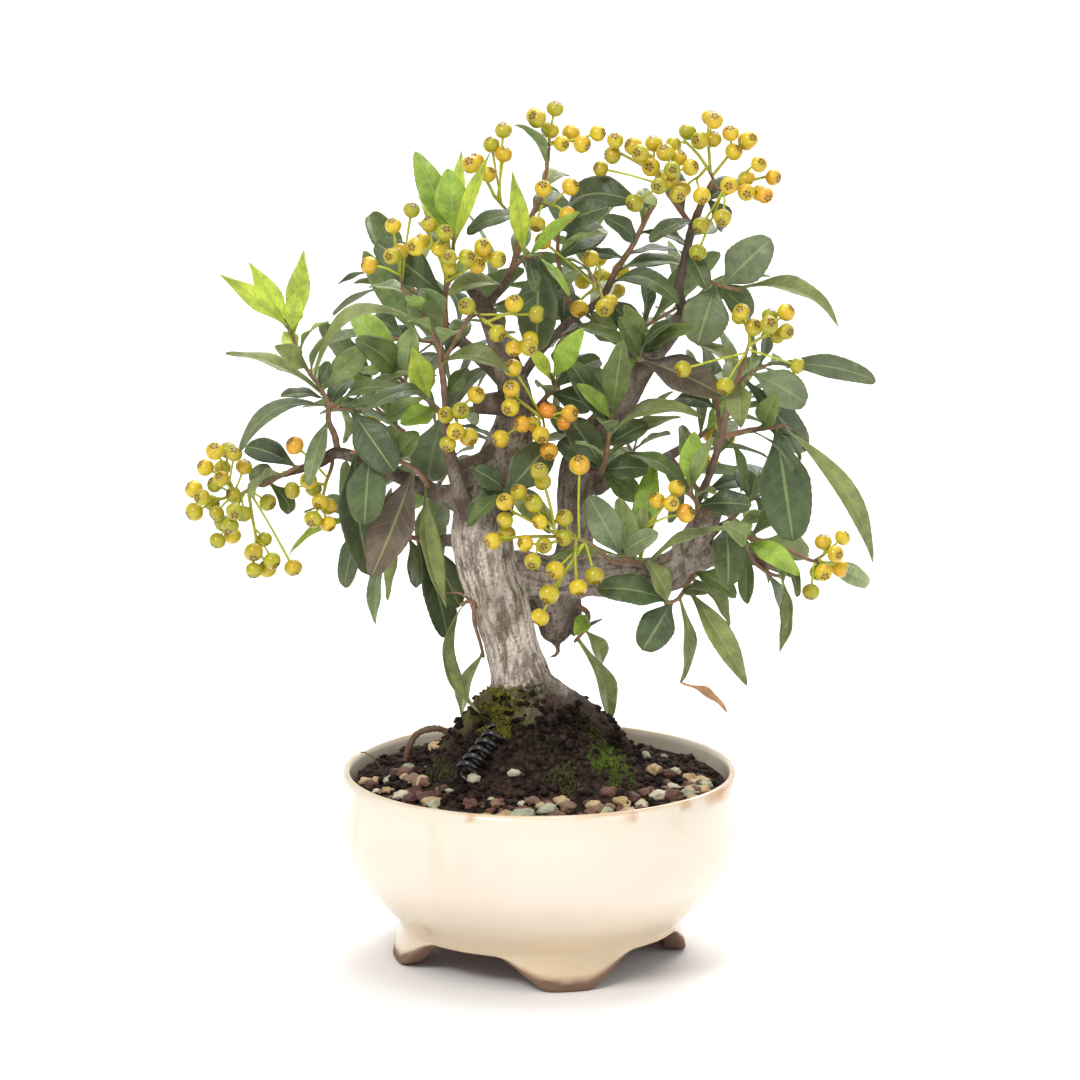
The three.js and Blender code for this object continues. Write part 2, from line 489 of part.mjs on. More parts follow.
// Berry bunches: stalk as a path; umbels [x, y, z, reach, berries, ripeness];
// single berries [x, y, z, radius, ripeness]. Ripeness tells colour alone.
const BUNCHES = {
  left: {
    stalk: [[-92, -9.5, 164, 0.9], [-96, -10, 162, 0.9], [-101, -11, 159, 0.8]],
    umbels: [
      [-105, -10, 170, 7.5, 9, 0.15],
      [-110, -8, 157, 6.5, 8, 0.2],
      [-101, -14, 156, 6, 7, 0.15],
      [-104, -8, 147, 4.5, 4, 0.1],
      [-93, -11, 139, 6.5, 7, 0.2],
    ],
    singles: [
      [-90, -13, 158, 3, 0.2],
      [-82, -9, 135, 3.1, 0.2],
    ],
  },
  left_inner: {
    stalk: [[-68.7, -5.6, 172, 0.9], [-69, -9, 169, 0.9], [-71, -13, 164, 0.8]],
    umbels: [
      [-79, -14, 164, 5.5, 6, 0.2],
      [-73, -15, 155, 5, 6, 0.35],
    ],
    singles: [
      [-81, -12, 177, 3.2, 0.75],
    ],
  },
  front_top: {
    stalk: [[-31, -15, 228, 0.9], [-31, -17, 235, 0.8]],
    umbels: [
      [-36, -20, 248, 6, 5, 0.25],
      [-27, -22, 242, 6, 5, 0.15],
      [-19, -19, 240, 6, 5, 0.35],
    ],
    singles: [
    ],
  },
  front_side: {
    stalk: [[-45, -16, 231, 0.7], [-46, -17, 236, 0.6]],
    umbels: [
      [-46, -18, 244, 4.5, 3, 0.2],
    ],
    singles: [
      [-56, -17, 238, 3, 0.3],
      [-48, -16, 251, 2.8, 0.3],
      [-42, -15, 256, 2.8, 0.2],
    ],
  },
  leader_side: {
    stalk: [[-5.2, 1.2, 247, 0.9], [-10, 3, 252, 0.8], [-15, 1, 258, 0.7]],
    umbels: [
      [-21, 0, 268, 5, 4, 0.55],
    ],
    singles: [
      [-12, 2, 272, 3, 0.5],
      [-12, 1, 280, 2.9, 0.3],
      [-16, 3, 275, 2.8, 0.2],
    ],
  },
  top: {
    stalk: [[3, 0, 275, 0.7], [3, 0, 277, 0.6]],
    umbels: [
      [2, 0, 283, 5.5, 6, 0.35],
      [11, 2, 277, 5, 4, 0.45],
    ],
    singles: [
      [5, 2, 287, 2.9, 0.2],
      [19, 1, 279, 2.8, 0.4],
    ],
  },
  top_low: {
    stalk: [[-1, 0.2, 256, 0.7], [4, -4, 256, 0.6]],
    umbels: [
    ],
    singles: [
      [10, -4, 262, 3, 0.6],
      [9, -6, 253, 2.9, 0.4],
      [1, -8, 262, 2.9, 0.3],
      [-1, -6, 250, 2.9, 0.3],
    ],
  },
  crown_left: {
    stalk: [[42, 1, 261, 0.8], [40, 0, 264, 0.7]],
    umbels: [
      [24, 0, 274, 4.5, 4, 0.15],
      [34, -5, 273, 6, 6, 0.3],
      [44, -7, 269, 6, 6, 0.2],
      [41, -9, 263, 5.5, 4, 0.15],
    ],
    singles: [
      [31, -6, 257, 3.2, 0.1],
      [20, 3, 267, 2.7, 0.2],
    ],
  },
  crown_middle: {
    stalk: [[57, 2, 264, 0.8], [55, 1, 268, 0.7]],
    umbels: [
      [50, -5, 263, 5.5, 5, 0.25],
      [46, 4, 278, 4.5, 4, 0.2],
      [55, 3, 280, 5.5, 5, 0.25],
      [66, 4, 276, 5, 4, 0.3],
    ],
    singles: [
    ],
  },
  crown_right: {
    stalk: [[56.6, 2.2, 262, 0.9], [60, 2, 260, 0.9], [65, 0, 262, 0.8]],
    umbels: [
      [69, 0, 268, 4.5, 4, 0.35],
      [76, 2, 265, 4.5, 4, 0.45],
      [72, -4, 261, 4.5, 4, 0.55],
    ],
    singles: [
      [62, -8, 263, 3, 0.5],
      [53, -4, 249, 3, 0.15],
      [60, -6, 252, 3, 0.15],
      [52, -3, 240, 3, 0.2],
    ],
  },
  right: {
    stalk: [[67, -7, 203, 0.8], [68, -8, 207, 0.8], [69, -9, 211, 0.7]],
    umbels: [
      [68, -11, 219, 5, 4, 0.15],
      [78, -12, 217, 5.5, 6, 0.2],
    ],
    singles: [
      [85, -8, 203, 2.8, 0.15],
      [61, -13, 197, 3.1, 0.2],
      [47, -14, 203, 2.9, 0.15],
    ],
  },
  centre_upper: {
    stalk: [[-21, -16, 222, 0.7], [-18, -18, 219, 0.6]],
    umbels: [
      [-7, -20, 224, 4, 3, 0.2],
      [-4, -20, 211, 5, 4, 0.25],
    ],
    singles: [
      [-14, -20, 216, 3, 0.1],
      [-1, -18, 222, 3, 0.1],
      [-24, -20, 225, 3, 0.2],
    ],
  },
  centre: {
    stalk: [[-0.4, 2.2, 188, 0.9], [1, -4, 185, 0.8], [0, -10, 186, 0.7]],
    umbels: [
      [-3, -14, 183, 5.5, 5, 0.5],
      [-9, -13, 194, 5, 3, 0.5],
      [6, -10, 187, 4.5, 3, 0.75],
    ],
    singles: [
      [-9, -12, 203, 3.1, 0.5],
      [-13, -11, 179, 3, 0.4],
      [3, -12, 175, 3.1, 0.6],
    ],
  },
  centre_left: {
    stalk: [[-29, -12, 187, 0.7], [-28, -14, 187, 0.6]],
    umbels: [
      [-27, -18, 182, 5.5, 5, 0.2],
    ],
    singles: [
      [-21, -17, 195, 3, 0.15],
      [-26, -19, 190, 3, 0.1],
      [-31, -16, 188, 2.9, 0.15],
    ],
  },
  lower: {
    stalk: [[29, -13.8, 138, 1], [24, -18, 139, 1], [16, -21, 146, 0.9], [5, -26, 150, 0.8]],
    umbels: [
      [1, -27, 169, 4.5, 4, 0.2],
      [-11, -28, 159, 4.5, 3, 0.15],
      [-1, -30, 158, 5, 4, 0.2],
      [-13, -27, 149, 4, 3, 0.25],
      [-3, -31, 146, 5, 5, 0.3],
      [8, -25, 152, 3.5, 3, 0.1],
      [12, -26, 133, 4.5, 4, 0.35],
    ],
    singles: [
      [13, -25, 173, 3.5, 0.7],
      [-7, -26, 164, 2.8, 0.1],
      [18, -22, 135, 3.3, 0.3],
      [3, -27, 130, 3.4, 0.15],
      [0, -26, 122, 3.1, 0.2],
      [5, -26, 138, 3.2, 0.15],
    ],
  },
  right_small: {
    stalk: [[28.1, -14.4, 139, 0.8], [31, -15, 143, 0.8], [36, -18, 152, 0.7]],
    umbels: [
      [42, -20, 160, 3.8, 3, 0.2],
    ],
    singles: [
      [48, -21, 156, 3.3, 0.75],
      [45, -19, 164, 2.9, 0.2],
    ],
  },
  right_low: {
    stalk: [[91, -8, 137, 0.8], [94, -8, 139, 0.7]],
    umbels: [
      [98, -8, 143, 4.5, 5, 0.3],
      [94, -9, 134, 4, 4, 0.2],
    ],
    singles: [
      [100, -6, 134, 3, 0.4],
      [90, -10, 127, 3, 0.1],
    ],
  },
  upper_inner: {
    stalk: [[20, 8, 225, 0.8], [19, 4, 228, 0.7]],
    umbels: [
      [20, 3, 236, 4.2, 3, 0.35],
      [11, 2, 221, 4, 3, 0.4],
      [21, -2, 223, 3.8, 3, 0.35],
    ],
    singles: [
      [1, 2, 243, 2.9, 0.4],
    ],
  },
  back_left: {
    stalk: [[-46, 39, 172, 0.9], [-50, 44, 173, 0.8]],
    umbels: [
      [-54, 48, 174, 5.5, 6, 0.3],
      [-47, 52, 165, 5, 5, 0.4],
    ],
    singles: [
    ],
  },
  back_right: {
    stalk: [[53, 46.8, 168, 0.9], [54.5, 50, 165, 0.9], [58, 53, 165, 0.8]],
    umbels: [
      [63, 56, 167, 5.5, 6, 0.3],
      [56, 58, 157, 5, 5, 0.4],
    ],
    singles: [
    ],
  },
  back_top: {
    stalk: [[19.3, 44.9, 219, 0.9], [20, 50, 221, 0.8]],
    umbels: [
      [17, 54, 225, 5.5, 6, 0.35],
      [25, 55, 222, 5, 4, 0.3],
    ],
    singles: [
    ],
  },
};

// Numbers from a seed, the same on every run
function seeded(seed) {
  let state = seed;
  return (low, high) => {
    state = (Math.imul(state, 1664525) + 1013904223) >>> 0;
    return low + (high - low) * (state / 4294967296);
  };
}

const vector = ([x, y, z]) => new THREE.Vector3(x, y, z);
const mix = (a, b, share) => a.clone().lerp(b, share);
const smooth = (low, high, value) => THREE.MathUtils.smoothstep(value, low, high);

// A solid from points and triangles, turned inside out where they face inwards
function solidFrom(points, triangles) {
  let volume = 0;
  for (const [a, b, c] of triangles) {
    volume += points[a].dot(points[b].clone().cross(points[c]));
  }
  const outward = volume > 0 ? triangles : triangles.map(([a, b, c]) => [a, c, b]);
  const vertProperties = new Float32Array(points.flatMap((point) => point.toArray()));
  const triVerts = new Uint32Array(outward.flat());
  return new wasm.Manifold(new wasm.Mesh({ numProp: 3, vertProperties, triVerts }));
}

// A solid from a three.js geometry
function solidOf(geometry) {
  geometry.deleteAttribute("normal");
  geometry.deleteAttribute("uv");
  const merged = mergeVertices(geometry, 1e-4);
  const places = merged.attributes.position;
  const points = [];
  for (let i = 0; i < places.count; i += 1) {
    points.push(new THREE.Vector3().fromBufferAttribute(places, i));
  }
  const corners = Array.from(merged.index.array);
  const triangles = [];
  for (let i = 0; i < corners.length; i += 3) {
    const [a, b, c] = corners.slice(i, i + 3);
    if (a !== b && b !== c && a !== c) {
      triangles.push([a, b, c]);
    }
  }
  return solidFrom(points, triangles);
}

const fuse = (solids) => solids.reduce((whole, next) => whole.add(next));

function largestBody(solid) {
  return solid.decompose().reduce((best, next) => (next.volume() > best.volume() ? next : best));
}

// A round limb along a path of [x, y, z, radius], closed at both ends
function limb(path, sides, extra = 0) {
  const centres = path.map(vector);
  const points = [];
  const triangles = [];
  let side = new THREE.Vector3(1, 0.3, 0.1);
  centres.forEach((centre, i) => {
    const ahead = centres[Math.min(i + 1, centres.length - 1)];
    const behind = centres[Math.max(i - 1, 0)];
    const along = ahead.clone().sub(behind).normalize();
    side = side.clone().addScaledVector(along, -side.dot(along)).normalize();
    const across = along.clone().cross(side);
    for (let k = 0; k < sides; k += 1) {
      const angle = (2 * Math.PI * k) / sides;
      const radius = path[i][3] + extra;
      points.push(
        centre
          .clone()
          .addScaledVector(side, radius * Math.cos(angle))
          .addScaledVector(across, radius * Math.sin(angle)),
      );
    }
  });
  for (let i = 0; i + 1 < centres.length; i += 1) {
    for (let k = 0; k < sides; k += 1) {
      const next = (k + 1) % sides;
      const [a, b] = [i * sides + k, i * sides + next];
      triangles.push([a, b, b + sides], [a, b + sides, a + sides]);
    }
  }
  const last = (centres.length - 1) * sides;
  for (let k = 1; k + 1 < sides; k += 1) {
    triangles.push([0, k + 1, k], [last, last + k, last + k + 1]);
  }
  return solidFrom(points, triangles);
}

// Pot: a lathed wall whose lower edge is waved into feet
function archRise(x, y) {
  const spacing = 360 / FOOT_COUNT;
  const bearing = Math.atan2(x, -y) / DEGREE - FRONT_FOOT_DEG;
  const off = Math.abs(bearing - spacing * Math.round(bearing / spacing));
  return ARCH_HEIGHT * smooth(FOOT_HALF_DEG + 0.5, FOOT_SLOPE_DEG, off);
}

// A lathed solid about Z, turned so that the front foot has a corner of the lathe at its middle
function lathed(profile) {
  const geometry = new THREE.LatheGeometry(
    profile.map(([radius, height]) => new THREE.Vector2(radius, height)),
    POT_SEGMENTS,
  );
  geometry.rotateX(Math.PI / 2);
  geometry.rotateZ(FRONT_FOOT_DEG * DEGREE);
  return geometry;
}

function pot() {
  const profile = [...POT_INNER, ...POT_OUTER, ...POT_UNDER, POT_INNER[0]];
  const geometry = lathed(profile);
  const places = geometry.attributes.position;
  for (let i = 0; i < places.count; i += 1) {
    const [x, y, z] = [places.getX(i), places.getY(i), places.getZ(i)];
    const low = z < WAIST_HEIGHT && Math.hypot(x, y) > POT_INNER[1][0];
    if (low) {
      const rise = archRise(x, y);
      const drop = (WAIST_HEIGHT - z) / WAIST_HEIGHT;
      const outer = Math.hypot(x, y) > FOOT_MIDDLE_RADIUS;
      const flare = outer ? 1 + (FOOT_FLARE * drop * (1 - rise / ARCH_HEIGHT)) / WAIST_RADIUS : 1;
      places.setXYZ(i, x * flare, y * flare, z + rise * drop);
    }
  }
  return solidOf(geometry);
}

// Soil: a fill with a mound round the trunk and gravel bedded in it
function soilHeight(x, y) {
  const away = Math.hypot(x - MOUND.x, y - MOUND.y) / MOUND.reach;
  return SOIL_EDGE_HEIGHT + MOUND.rise * Math.exp(-away * away);
}

function gravel() {
  const draw = seeded(GRAVEL_SEED);
  const lumps = [];
  for (let i = 0; i < GRAVEL_COUNT; i += 1) {
    const bearing = draw(-GRAVEL_SPREAD_DEG, GRAVEL_SPREAD_DEG) * DEGREE;
    const away = draw(...GRAVEL_AWAY);
    const size = draw(...GRAVEL_SIZE);
    const stretch = [draw(0.9, 1.5), draw(0.8, 1.1), draw(0.6, 0.8)];
    const turn = draw(0, Math.PI);
    const [x, y] = [away * Math.sin(bearing), -away * Math.cos(bearing)];
    const lump = new THREE.IcosahedronGeometry(size, 0);
    lump.scale(...stretch);
    lump.rotateZ(turn);
    lump.translate(x, y, soilHeight(x, y) + size * GRAVEL_RISE);
    lumps.push(solidOf(lump));
  }
  return lumps;
}

function soil(holes) {
  const top = SOIL_RINGS.map((radius) => [radius, SOIL_EDGE_HEIGHT + 1]);
  const geometry = lathed([...SOIL_SIDE, ...top]);
  const places = geometry.attributes.position;
  for (let i = 0; i < places.count; i += 1) {
    if (places.getZ(i) >= SOIL_EDGE_HEIGHT) {
      places.setZ(i, soilHeight(places.getX(i), places.getY(i)));
    }
  }
  const filled = fuse([solidOf(geometry), ...gravel()]);
  return largestBody(filled.subtract(holes));
}

// Wood: trunk, limbs, stubs and roots grown together
const woodSides = (path) => (path[0][3] >= THICK_RADIUS ? 6 : 4);

function wood(extra = 0) {
  return fuse(Object.values(WOOD).map((path) => limb(path, woodSides(path), extra)));
}

// Training wire: a helix that lies on the mound
function coilPath() {
  const steps = Math.round(COIL_TURNS * COIL_STEPS_PER_TURN);
  const lift = COIL_RADIUS + WIRE_RADIUS - COIL_SINK;
  const ends = [COIL_START, COIL_END].map(([x, y]) => new THREE.Vector3(x, y, soilHeight(x, y) + lift));
  const along = ends[1].clone().sub(ends[0]).normalize();
  const up = new THREE.Vector3(0, 0, 1).addScaledVector(along, -along.z).normalize();
  const across = along.clone().cross(up);
  const path = [];
  for (let i = 0; i <= steps; i += 1) {
    const angle = (2 * Math.PI * i) / COIL_STEPS_PER_TURN;
    const point = mix(ends[0], ends[1], i / steps)
      .addScaledVector(up, COIL_RADIUS * Math.cos(angle))
      .addScaledVector(across, COIL_RADIUS * Math.sin(angle));
    path.push([...point.toArray(), WIRE_RADIUS]);
  }
  return path;
}

// Places already taken, kept in cubes so that neighbours are found quickly
class Crowd {
  cubes = new Map();

  key(point, i = 0, j = 0, k = 0) {
    const cube = point.toArray().map((value) => Math.floor(value / BLADE_SPACING) + 500);
    return ((cube[0] + i) * 1000 + cube[1] + j) * 1000 + cube[2] + k;
  }

  add(samples, owner) {
    for (const sample of samples) {
      const key = this.key(sample.point);
      if (!this.cubes.has(key)) {
        this.cubes.set(key, []);
      }
      this.cubes.get(key).push({ ...sample, owner });
    }
  }

  clash(sample, owner) {
    for (let i = -1; i <= 1; i += 1) {
      for (let j = -1; j <= 1; j += 1) {
        for (let k = -1; k <= 1; k += 1) {
          for (const other of this.cubes.get(this.key(sample.point, i, j, k)) ?? []) {
            const joined = other.owner === owner && Math.min(sample.share, other.share) < JOINED_SHARE;
            if (!joined && other.point.distanceTo(sample.point) < BLADE_SPACING) {
              return true;
            }
          }
        }
      }
    }
    return false;
  }

  clashes(samples, owner) {
    return samples.filter((sample) => sample.share >= TESTED_SHARE && this.clash(sample, owner)).length;
  }
}

const crowd = new Crowd();

// Sample points round a limb
function limbSamples(path) {
  const samples = [];
  for (let i = 0; i + 1 < path.length; i += 1) {
    const [start, end] = [vector(path[i]), vector(path[i + 1])];
    const along = end.clone().sub(start);
    const steps = Math.max(1, Math.ceil(along.length() / SAMPLE_STEP));
    const side = new THREE.Vector3(0.3, 1, 0.2).cross(along).normalize();
    const across = side.clone().cross(along).normalize();
    for (let step = 0; step < steps; step += 1) {
      const radius = path[i][3] + (path[i + 1][3] - path[i][3]) * (step / steps);
      const centre = mix(start, end, step / steps);
      const count = radius < 1.2 ? 1 : Math.ceil((2 * Math.PI * radius) / SAMPLE_STEP);
      for (let k = 0; k < count; k += 1) {
        const angle = (2 * Math.PI * k) / count;
        const reach = count === 1 ? 0 : radius;
        const point = centre
          .clone()
          .addScaledVector(side, reach * Math.cos(angle))
          .addScaledVector(across, reach * Math.sin(angle));
        samples.push({ point, share: 1 });
      }
    }
  }
  return samples;
}

// Leaves: a leaf is {root, tip, normal, width, arch}
function leafPoint(leaf, share) {
  const middle = mix(leaf.root, leaf.tip, 0.5);
  const length = leaf.root.distanceTo(leaf.tip);
  middle.addScaledVector(leaf.normal, 2 * leaf.arch * length);
  return mix(mix(leaf.root, middle, share), mix(middle, leaf.tip, share), share);
}

function leafFrame(leaf, share) {
  const along = leafPoint(leaf, share + 0.02).sub(leafPoint(leaf, share - 0.02)).normalize();
  const side = along.clone().cross(leaf.normal).normalize();
  const up = side.clone().cross(along);
  return { centre: leafPoint(leaf, share), side, up };
}

// Half the width of a blade, as a share of its full width
function blade(share) {
  const rise = smooth(0.02, 0.5, share);
  const round = Math.sqrt(Math.max(0, 1 - ((share - 0.5) / 0.5) ** 4));
  return 0.5 * (share < 0.5 ? 0.12 + 0.88 * rise : round);
}

function leafSamples(leaf) {
  const length = leaf.root.distanceTo(leaf.tip);
  const rows = Math.ceil(length / SAMPLE_STEP);
  const columns = Math.ceil(leaf.width / SAMPLE_STEP);
  const samples = [];
  for (let i = 1; i <= rows; i += 1) {
    const share = i / rows;
    const { centre, side } = leafFrame(leaf, share);
    const half = blade(share) * leaf.width;
    for (let k = 0; k <= columns; k += 1) {
      const reach = half * ((2 * k) / columns - 1);
      samples.push({ point: centre.clone().addScaledVector(side, reach), share });
    }
  }
  return samples;
}

function leafStations(width) {
  if (width < NARROW_LEAF_WIDTH) {
    return NARROW_LEAF_STATIONS;
  }
  return width < SMALL_LEAF_WIDTH ? SMALL_LEAF_STATIONS : LEAF_STATIONS;
}

function leafSolid(leaf) {
  const stations = leafStations(leaf.width);
  const rings = [[LEAF_ROOT_START / leaf.root.distanceTo(leaf.tip), null], ...stations];
  const points = [];
  for (const [share, widthShare] of rings) {
    const { centre, side, up } = leafFrame(leaf, share);
    const half = widthShare === null ? LEAF_ROOT_HALF_WIDTH : (leaf.width * widthShare) / 2;
    const thickness = widthShare === null ? LEAF_ROOT_THICKNESS : LEAF_THICKNESS;
    points.push(
      centre.clone().addScaledVector(side, -half).addScaledVector(up, -thickness / 3),
      centre.clone().addScaledVector(up, (thickness * 2) / 3),
      centre.clone().addScaledVector(side, half).addScaledVector(up, -thickness / 3),
    );
  }
  const tip = points.push(leaf.tip.clone()) - 1;
  const triangles = [[0, 1, 2]];
  for (let ring = 0; ring < rings.length; ring += 1) {
    for (let k = 0; k < 3; k += 1) {
      const a = ring * 3 + k;
      const b = ring * 3 + ((k + 1) % 3);
      if (ring === rings.length - 1) {
        triangles.push([a, tip, b]);
      } else {
        triangles.push([a, a + 3, b + 3], [a, b + 3, b]);
      }
    }
  }
  return solidFrom(points, triangles);
}

// The upper side of a leaf seen from the front, from its face angle
function frontNormal(root, tip, faceDegrees) {
  const along = tip.clone().sub(root).normalize();
  const front = new THREE.Vector3(0, -1, 0).addScaledVector(along, along.y).normalize();
  const sky = along.clone().cross(front).normalize();
  if (sky.z < 0) {
    sky.negate();
  }
  const angle = faceDegrees * DEGREE;
  return sky.multiplyScalar(Math.cos(angle)).addScaledVector(front, Math.sin(angle));
}

// The point at a distance along a path, and the length of the path
function pointAlong(path, distance) {
  let left = distance;
  for (let i = 0; i + 1 < path.length; i += 1) {
    const [start, end] = [vector(path[i]), vector(path[i + 1])];
    const length = start.distanceTo(end);
    if (left <= length || i + 2 === path.length) {
      return mix(start, end, Math.min(1, left / length));
    }
    left -= length;
  }
  return vector(path[0]);
}

function pathLength(path) {
  return path.slice(1).reduce((sum, point, i) => sum + vector(point).distanceTo(vector(path[i])), 0);
}

// The free place for a leaf's root on its shoots that is nearest to the wanted point
function rootOn(shoots, wanted, used) {
  let nearest = null;
  for (const path of shoots) {
    const length = pathLength(path);
    for (let distance = 0; distance <= length; distance += ROOT_SEARCH_STEP) {
      const away = pointAlong(path, distance).distanceTo(wanted);
      if (nearest === null || away < nearest.away) {
        nearest = { path, length, distance, away };
      }
    }
  }
  for (const slide of ROOT_SLIDES) {
    const distance = nearest.distance + slide * ROOT_STEP;
    const root = pointAlong(nearest.path, Math.max(0, distance));
    const inside = distance >= 0 && distance <= nearest.length;
    if (inside && used.every((other) => other.distanceTo(root) >= ROOT_SPACING)) {
      used.push(root);
      return root;
    }
  }
  return pointAlong(nearest.path, nearest.distance);
}

// A front leaf keeps its place in the view and slides in depth until it is clear
function placeFrontLeaf(row, shoots, used, owner) {
  const [rootX, rootY, rootZ, tipX, tipY, tipZ, width, face, arch] = row;
  const root = rootOn(shoots, new THREE.Vector3(rootX, rootY, rootZ), used);
  let best = null;
  for (const [aside, above] of TIP_NUDGES) {
    for (const step of DEPTH_STEPS) {
      const tip = new THREE.Vector3(tipX + aside, tipY, tipZ + above);
      tip.addScaledVector(vector(SIGHT_LINE), step);
      const leaf = { root, tip, width, arch, normal: frontNormal(root, tip, face) };
      const samples = leafSamples(leaf);
      const hits = crowd.clashes(samples, owner);
      if (best === null || hits < best.hits) {
        best = { leaf, samples, hits };
      }
      if (hits === 0) {
        crowd.add(samples, owner);
        return leaf;
      }
    }
  }
  crowd.add(best.samples, owner);
  return best.leaf;
}

// A back leaf turns round its shoot until it is clear, or isn't grown
function placeBackLeaf(start, end, share, turn, size, owner) {
  const along = end.clone().sub(start).normalize();
  const root = mix(start, end, share);
  const side = new THREE.Vector3(0, 0, 1).cross(along).normalize();
  const over = along.clone().cross(side);
  for (let attempt = 0; attempt < TURN_TRIES; attempt += 1) {
    const angle = (turn + attempt * TURN_STEP) * DEGREE;
    const outward = side.clone().multiplyScalar(Math.cos(angle)).addScaledVector(over, Math.sin(angle));
    const spread = share >= 1 ? BACK_END_SPREAD : BACK_SPREAD;
    const aim = along.clone().multiplyScalar(BACK_FORWARD).addScaledVector(outward, spread).normalize();
    const tip = root.clone().addScaledVector(aim, size.length);
    const sky = new THREE.Vector3(0, 0, 1).addScaledVector(along, BACK_FORWARD);
    sky.addScaledVector(outward, BACK_TILT);
    const normal = sky.addScaledVector(aim, -sky.dot(aim)).normalize();
    const leaf = { root, tip, width: size.width, arch: size.arch, normal };
    const samples = leafSamples(leaf);
    if (crowd.clashes(samples, owner) === 0) {
      crowd.add(samples, owner);
      return leaf;
    }
  }
  return null;
}

// A shoot that runs a little past its last leaf
function shoot(path, extra = 0) {
  const [before, last] = path.slice(-2);
  const along = vector(last).sub(vector(before)).setLength(SHOOT_OVERRUN + extra);
  const end = [...vector(last).add(along).toArray(), last[3]];
  return limb([...path.slice(0, -1), end], SHOOT_SIDES, extra);
}

function backShoot(start, end) {
  const middle = mix(start, end, 0.5);
  return [
    [...start.toArray(), BACK_SHOOT_RADIUS[0]],
    [...middle.toArray(), (BACK_SHOOT_RADIUS[0] + BACK_SHOOT_RADIUS[1]) / 2],
    [...end.toArray(), BACK_SHOOT_RADIUS[1]],
  ];
}

// Berries of one bunch, and the stalks that lead to them
const berriesPlaced = [];
const drawBerry = seeded(BERRY_SEED);

function inBall(centre, reach) {
  for (;;) {
    const [x, y, z] = [drawBerry(-1, 1), drawBerry(-1, 1), drawBerry(-1, 1)];
    if (x * x + y * y + z * z <= 1) {
      return centre.clone().add(new THREE.Vector3(x * reach, y * reach, z * reach));
    }
  }
}

function berrySamples(centre, radius) {
  const corners = new THREE.IcosahedronGeometry(radius, 0);
  const merged = mergeVertices(corners.deleteAttribute("normal").deleteAttribute("uv"));
  const samples = [];
  for (let i = 0; i < merged.attributes.position.count; i += 1) {
    const point = new THREE.Vector3().fromBufferAttribute(merged.attributes.position, i).add(centre);
    samples.push({ point, share: 1 });
  }
  return samples;
}

// The point of a stalk that a pedicel grows from, a step back from the one before it
function forkPoint(from, to, index) {
  const length = from.distanceTo(to);
  return mix(to, from, Math.min(0.9, (index * PEDICEL_STEP) / length));
}

function placeUmbel(owner, [x, y, z, reach, count], from, to) {
  const centre = new THREE.Vector3(x, y, z);
  const berries = [];
  for (let i = 0; i < count; i += 1) {
    const radius = drawBerry(...BERRY_RADIUS);
    for (let attempt = 0; attempt < BERRY_TRIES; attempt += 1) {
      const place = inBall(centre, reach);
      const clear = berriesPlaced.every(
        (other) => other.centre.distanceTo(place) >= other.radius + radius + BERRY_GAP,
      );
      if (clear && crowd.clashes(berrySamples(place, radius), owner) === 0) {
        const built = BERRY_SHARE[i % BERRY_SHARE.length] === 1;
        const berry = { centre: place, radius, built };
        berries.push(berry);
        berriesPlaced.push(berry);
        break;
      }
    }
  }
  const along = to.clone().sub(from);
  berries.sort((one, other) => along.dot(other.centre) - along.dot(one.centre));
  berries.forEach((berry, i) => {
    berry.fork = forkPoint(from, to, i);
  });
  return berries;
}

function placeBunch(name, bunch) {
  const [before, end] = bunch.stalk.slice(-2).map(vector);
  const berries = bunch.singles.map(([x, y, z, radius], i) => ({
    centre: new THREE.Vector3(x, y, z),
    radius,
    fork: forkPoint(before, end, bunch.umbels.length + i),
    built: SINGLE_SHARE[i % SINGLE_SHARE.length] === 1,
  }));
  berriesPlaced.push(...berries);
  const branches = bunch.umbels.map((umbel, i) => {
    const fork = forkPoint(before, end, i);
    const away = vector(umbel).distanceTo(fork);
    const core = mix(vector(umbel), fork, Math.min(0.9, (CORE_SHARE * umbel[3]) / away));
    berries.push(...placeUmbel(name, umbel, fork, core));
    return { fork, core };
  });
  crowd.add(limbSamples(bunch.stalk), name);
  for (const berry of berries) {
    crowd.add(berrySamples(berry.centre, berry.radius), name);
    crowd.add(limbSamples([[...berry.fork.toArray(), 0.5], [...berry.centre.toArray(), 0.5]]), name);
  }
  return { branches, berries };
}

const rod = (from, to, start, end = start) =>
  limb([[...from.toArray(), start], [...to.toArray(), end]], 3);

// A berry turned with one of its faces towards its stalk
function berrySolid({ centre, radius, fork }) {
  const fruit = new THREE.IcosahedronGeometry(radius, 0);
  const corners = [0, 1, 2].map((i) => new THREE.Vector3().fromBufferAttribute(fruit.attributes.position, i));
  const face = corners[0].add(corners[1]).add(corners[2]).normalize();
  const towards = fork.clone().sub(centre).normalize();
  fruit.applyQuaternion(new THREE.Quaternion().setFromUnitVectors(face, towards));
  fruit.translate(...centre.toArray());
  return solidOf(fruit);
}

function bunchSolid(bunch, { branches, berries }) {
  const stalk = limb(bunch.stalk, SHOOT_SIDES);
  const axes = branches.map(({ fork, core }) => rod(fork, core, ...AXIS_RADIUS));
  const fruits = berries
    .filter(({ built }) => built)
    .flatMap((berry) => [
      berrySolid(berry),
      rod(berry.fork, berry.centre, PEDICEL_ROOT_RADIUS, PEDICEL_RADIUS),
    ]);
  return fuse([stalk, ...axes, ...fruits]);
}

// Take the room that the neighbours need out of a piece
function clearOf(solid, neighbours) {
  let free = solid;
  for (const neighbour of neighbours) {
    if (free.intersect(neighbour).volume() > 0) {
      free = free.subtract(neighbour);
    }
  }
  return largestBody(free);
}

